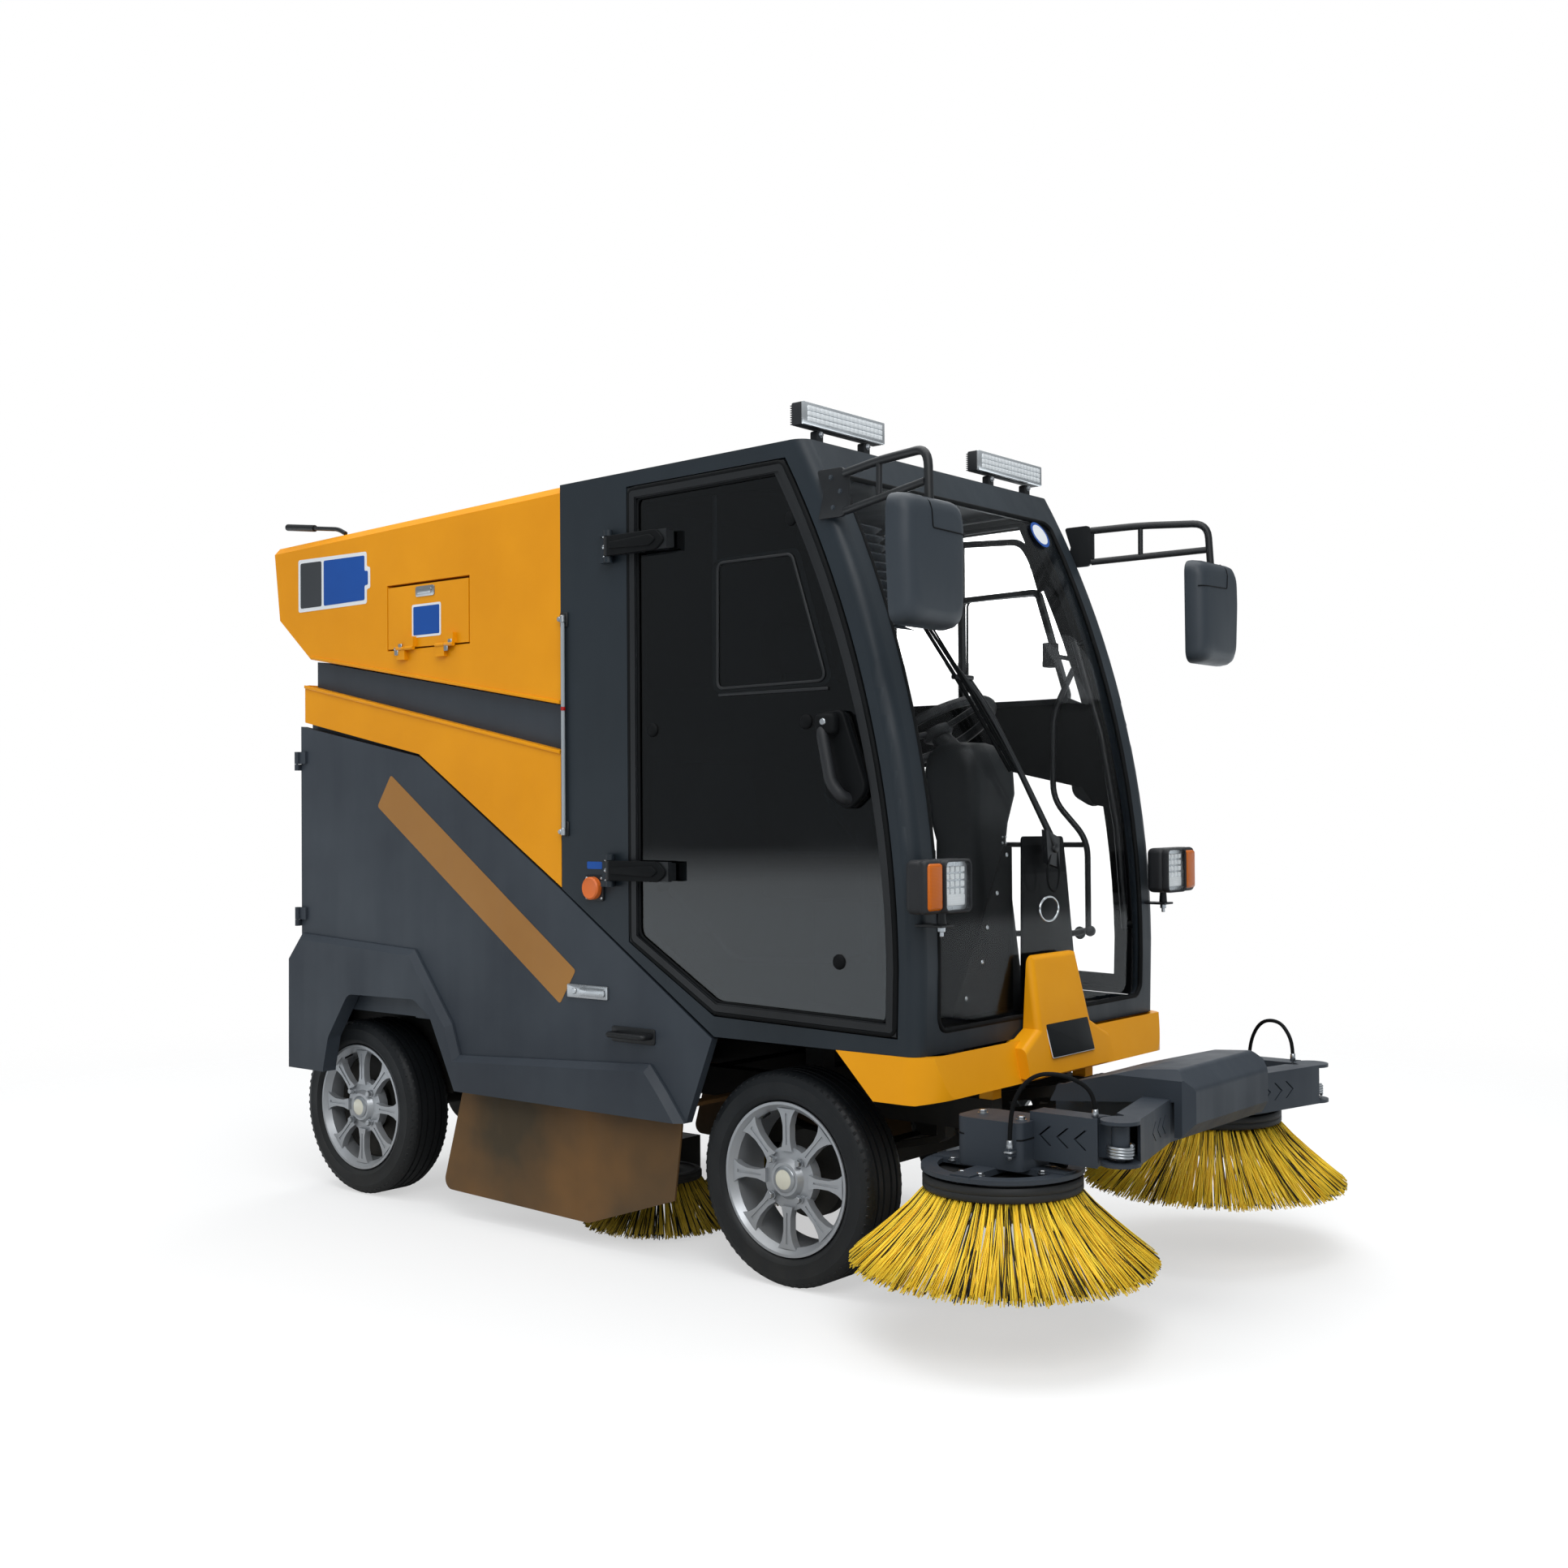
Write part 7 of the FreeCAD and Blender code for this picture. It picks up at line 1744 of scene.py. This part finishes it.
@dataclass
class Stage:
    """Floor, lights and the camera at the photograph's view."""

    azimuth: float = 39.48
    elevation: float = -0.695
    roll: float = -0.40
    lens: float = 39.749
    sensor: float = 36.0
    place: tuple[float, float, float] = (2790.0, -3909.0, 1218.0)
    floor_radius: float = 9.0
    aim: tuple[float, float, float] = (0.0, 0.0, 0.9)
    boxes: tuple[tuple, ...] = (
        ("KeyBox", (4.5, -4.5, 5.2), 4.0, 250.0),
        ("TopBox", (0.0, 0.0, 6.0), 6.0, 300.0),
        ("FillBox", (-5.0, -4.5, 2.6), 4.0, 80.0),
        ("BackBox", (-3.0, 5.5, 4.0), 4.0, 90.0),
    )

    def make(self) -> None:
        """Builds the stage."""
        self.camera()
        self.floor()
        self.lights()
        self.world()
        bpy.context.scene.view_settings.view_transform = "Standard"

    def camera(self) -> None:
        """Sets the camera that was fitted to the photograph."""
        data = bpy.data.cameras.new("Camera")
        data.lens, data.sensor_width = self.lens, self.sensor
        data.clip_start, data.clip_end = 0.05, 100
        camera = link("Camera", data)
        theta, phi, roll = (math.radians(a) for a in (self.azimuth, self.elevation, self.roll))
        forward = Vector((-math.sin(theta) * math.cos(phi), math.cos(theta) * math.cos(phi),
                          -math.sin(phi)))
        right = forward.cross(Vector((0, 0, 1))).normalized()
        up = right.cross(forward)
        turned_right = right * math.cos(roll) + up * math.sin(roll)
        turned_up = up * math.cos(roll) - right * math.sin(roll)
        basis = Matrix((turned_right, turned_up, -forward)).transposed()
        camera.matrix_world = Matrix.Translation(at(*self.place)) @ basis.to_4x4()
        bpy.context.scene.camera = camera

    def floor(self) -> None:
        """Builds a pale round floor that fades into the white round it."""
        form = Form()
        form.mesh.faces.new([form.mesh.verts.new((x, y, 0)) for x, y in oval(
            self.floor_radius, self.floor_radius, 64)])
        floor = link("Floor", form.take("Floor"))
        made = bpy.data.materials.new("PaleFloor")
        graph = Graph.of(made)
        far = graph.add("ShaderNodeVectorMath", {0: graph.place()},
                        operation="LENGTH").outputs["Value"]
        fade = graph.spread(far, 2.4, 5.5, interpolation_type="SMOOTHSTEP")
        seen = graph.add("ShaderNodeLightPath").outputs["Is Camera Ray"]
        tone = graph.mix(seen, (0.5, 0.5, 0.5, 1), (0.93, 0.93, 0.93, 1))
        pale = graph.add("ShaderNodeBsdfDiffuse", {"Color": tone}).outputs[0]
        glow = graph.add("ShaderNodeEmission", {"Color": (1, 1, 1, 1), "Strength": 1.0})
        lifted = graph.blend(graph.math("MULTIPLY", seen, 0.55), pale, glow.outputs[0])
        clear = graph.add("ShaderNodeBsdfTransparent").outputs[0]
        graph.add("ShaderNodeOutputMaterial", {"Surface": graph.blend(fade, lifted, clear)})
        floor.data.materials.append(made)

    def lights(self) -> None:
        """Sets the soft boxes; the fill box shows in no reflection."""
        for name, spot, size, power in self.boxes:
            data = bpy.data.lights.new(name, "AREA")
            data.shape, data.size, data.energy = "SQUARE", size, power
            lamp = link(name, data)
            lamp.location = spot
            lamp.visible_glossy = name != "FillBox"
            aim = Vector(self.aim) - Vector(spot)
            lamp.rotation_euler = aim.to_track_quat("-Z", "Y").to_euler()

    @staticmethod
    def world() -> None:
        """Sets a world that is white to the camera, soft as light and darker in reflections."""
        world = bpy.data.worlds.new("White")
        bpy.context.scene.world = world
        graph = Graph.of(world)
        rays = graph.add("ShaderNodeLightPath").outputs
        glossy, through = rays["Is Glossy Ray"], rays["Is Transmission Ray"]
        way = graph.add("ShaderNodeTexCoord").outputs["Generated"]
        height = graph.add("ShaderNodeSeparateXYZ", {"Vector": way}).outputs["Z"]
        mirrored = graph.math("MAXIMUM", graph.spread(height, -0.045, -0.02, 1.7, 0.0),
                              graph.spread(height, 0.15, 0.7, 0.26, 0.6))
        lit = graph.math("MULTIPLY", graph.math("SUBTRACT", 1.0, glossy), 0.42)
        strength = graph.math("ADD", graph.math("MULTIPLY", glossy, mirrored), lit)
        bright = graph.math("MULTIPLY_ADD", through, 0.12, 1.0)
        soft, white = (graph.add("ShaderNodeBackground", {
            "Color": colour, "Strength": value}).outputs[0]
            for colour, value in (((0.9, 0.96, 1, 1), strength), ((1, 1, 1, 1), bright)))
        seen = graph.math("MAXIMUM", rays["Is Camera Ray"], through)
        graph.add("ShaderNodeOutputWorld", {"Surface": graph.blend(seen, soft, white)})


FRONT_BRUSH = dict(x=652.0, y=539.0, disc_z=343.0, disc_depth=36.0, disc_radius=183.0,
                   root_radius=166.0, tip_radius=338.0, tip_z=177.0, tufts=66, finish=BRISTLES)
MIDDLE_BRUSH = dict(x=-697.0, y=252.0, disc_z=140.0, disc_depth=26.0, disc_radius=120.0,
                    root_radius=106.0, tip_radius=215.0, tip_z=20.0, tufts=46,
                    finish=WORN_BRISTLES)


def main() -> None:
    """Builds the stage and every sub-assembly."""
    logging.basicConfig(level=logging.INFO, format="%(name)s: %(message)s")
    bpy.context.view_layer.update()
    Stage().make()
    dress_cad_nodes()
    for end, x in (("front", 0.0), ("rear", REAR_AXLE_X)):
        for side in Side:
            Wheel(end, side, x).make()
    for seed, side in enumerate(Side):
        Brush("front", side, seed=11 + seed, **FRONT_BRUSH).make()
        Brush("middle", side, seed=31 + seed, **MIDDLE_BRUSH).make()
        for assembly in (HeadLamp, LightBar, Mirror, Door):
            assembly(side).make()
    CabInterior().make()
    BodyDetails().make()
    NosePlate().make()
    for side in Side:
        ArmFittings(side).make()


if __name__ == "__main__":
    main()
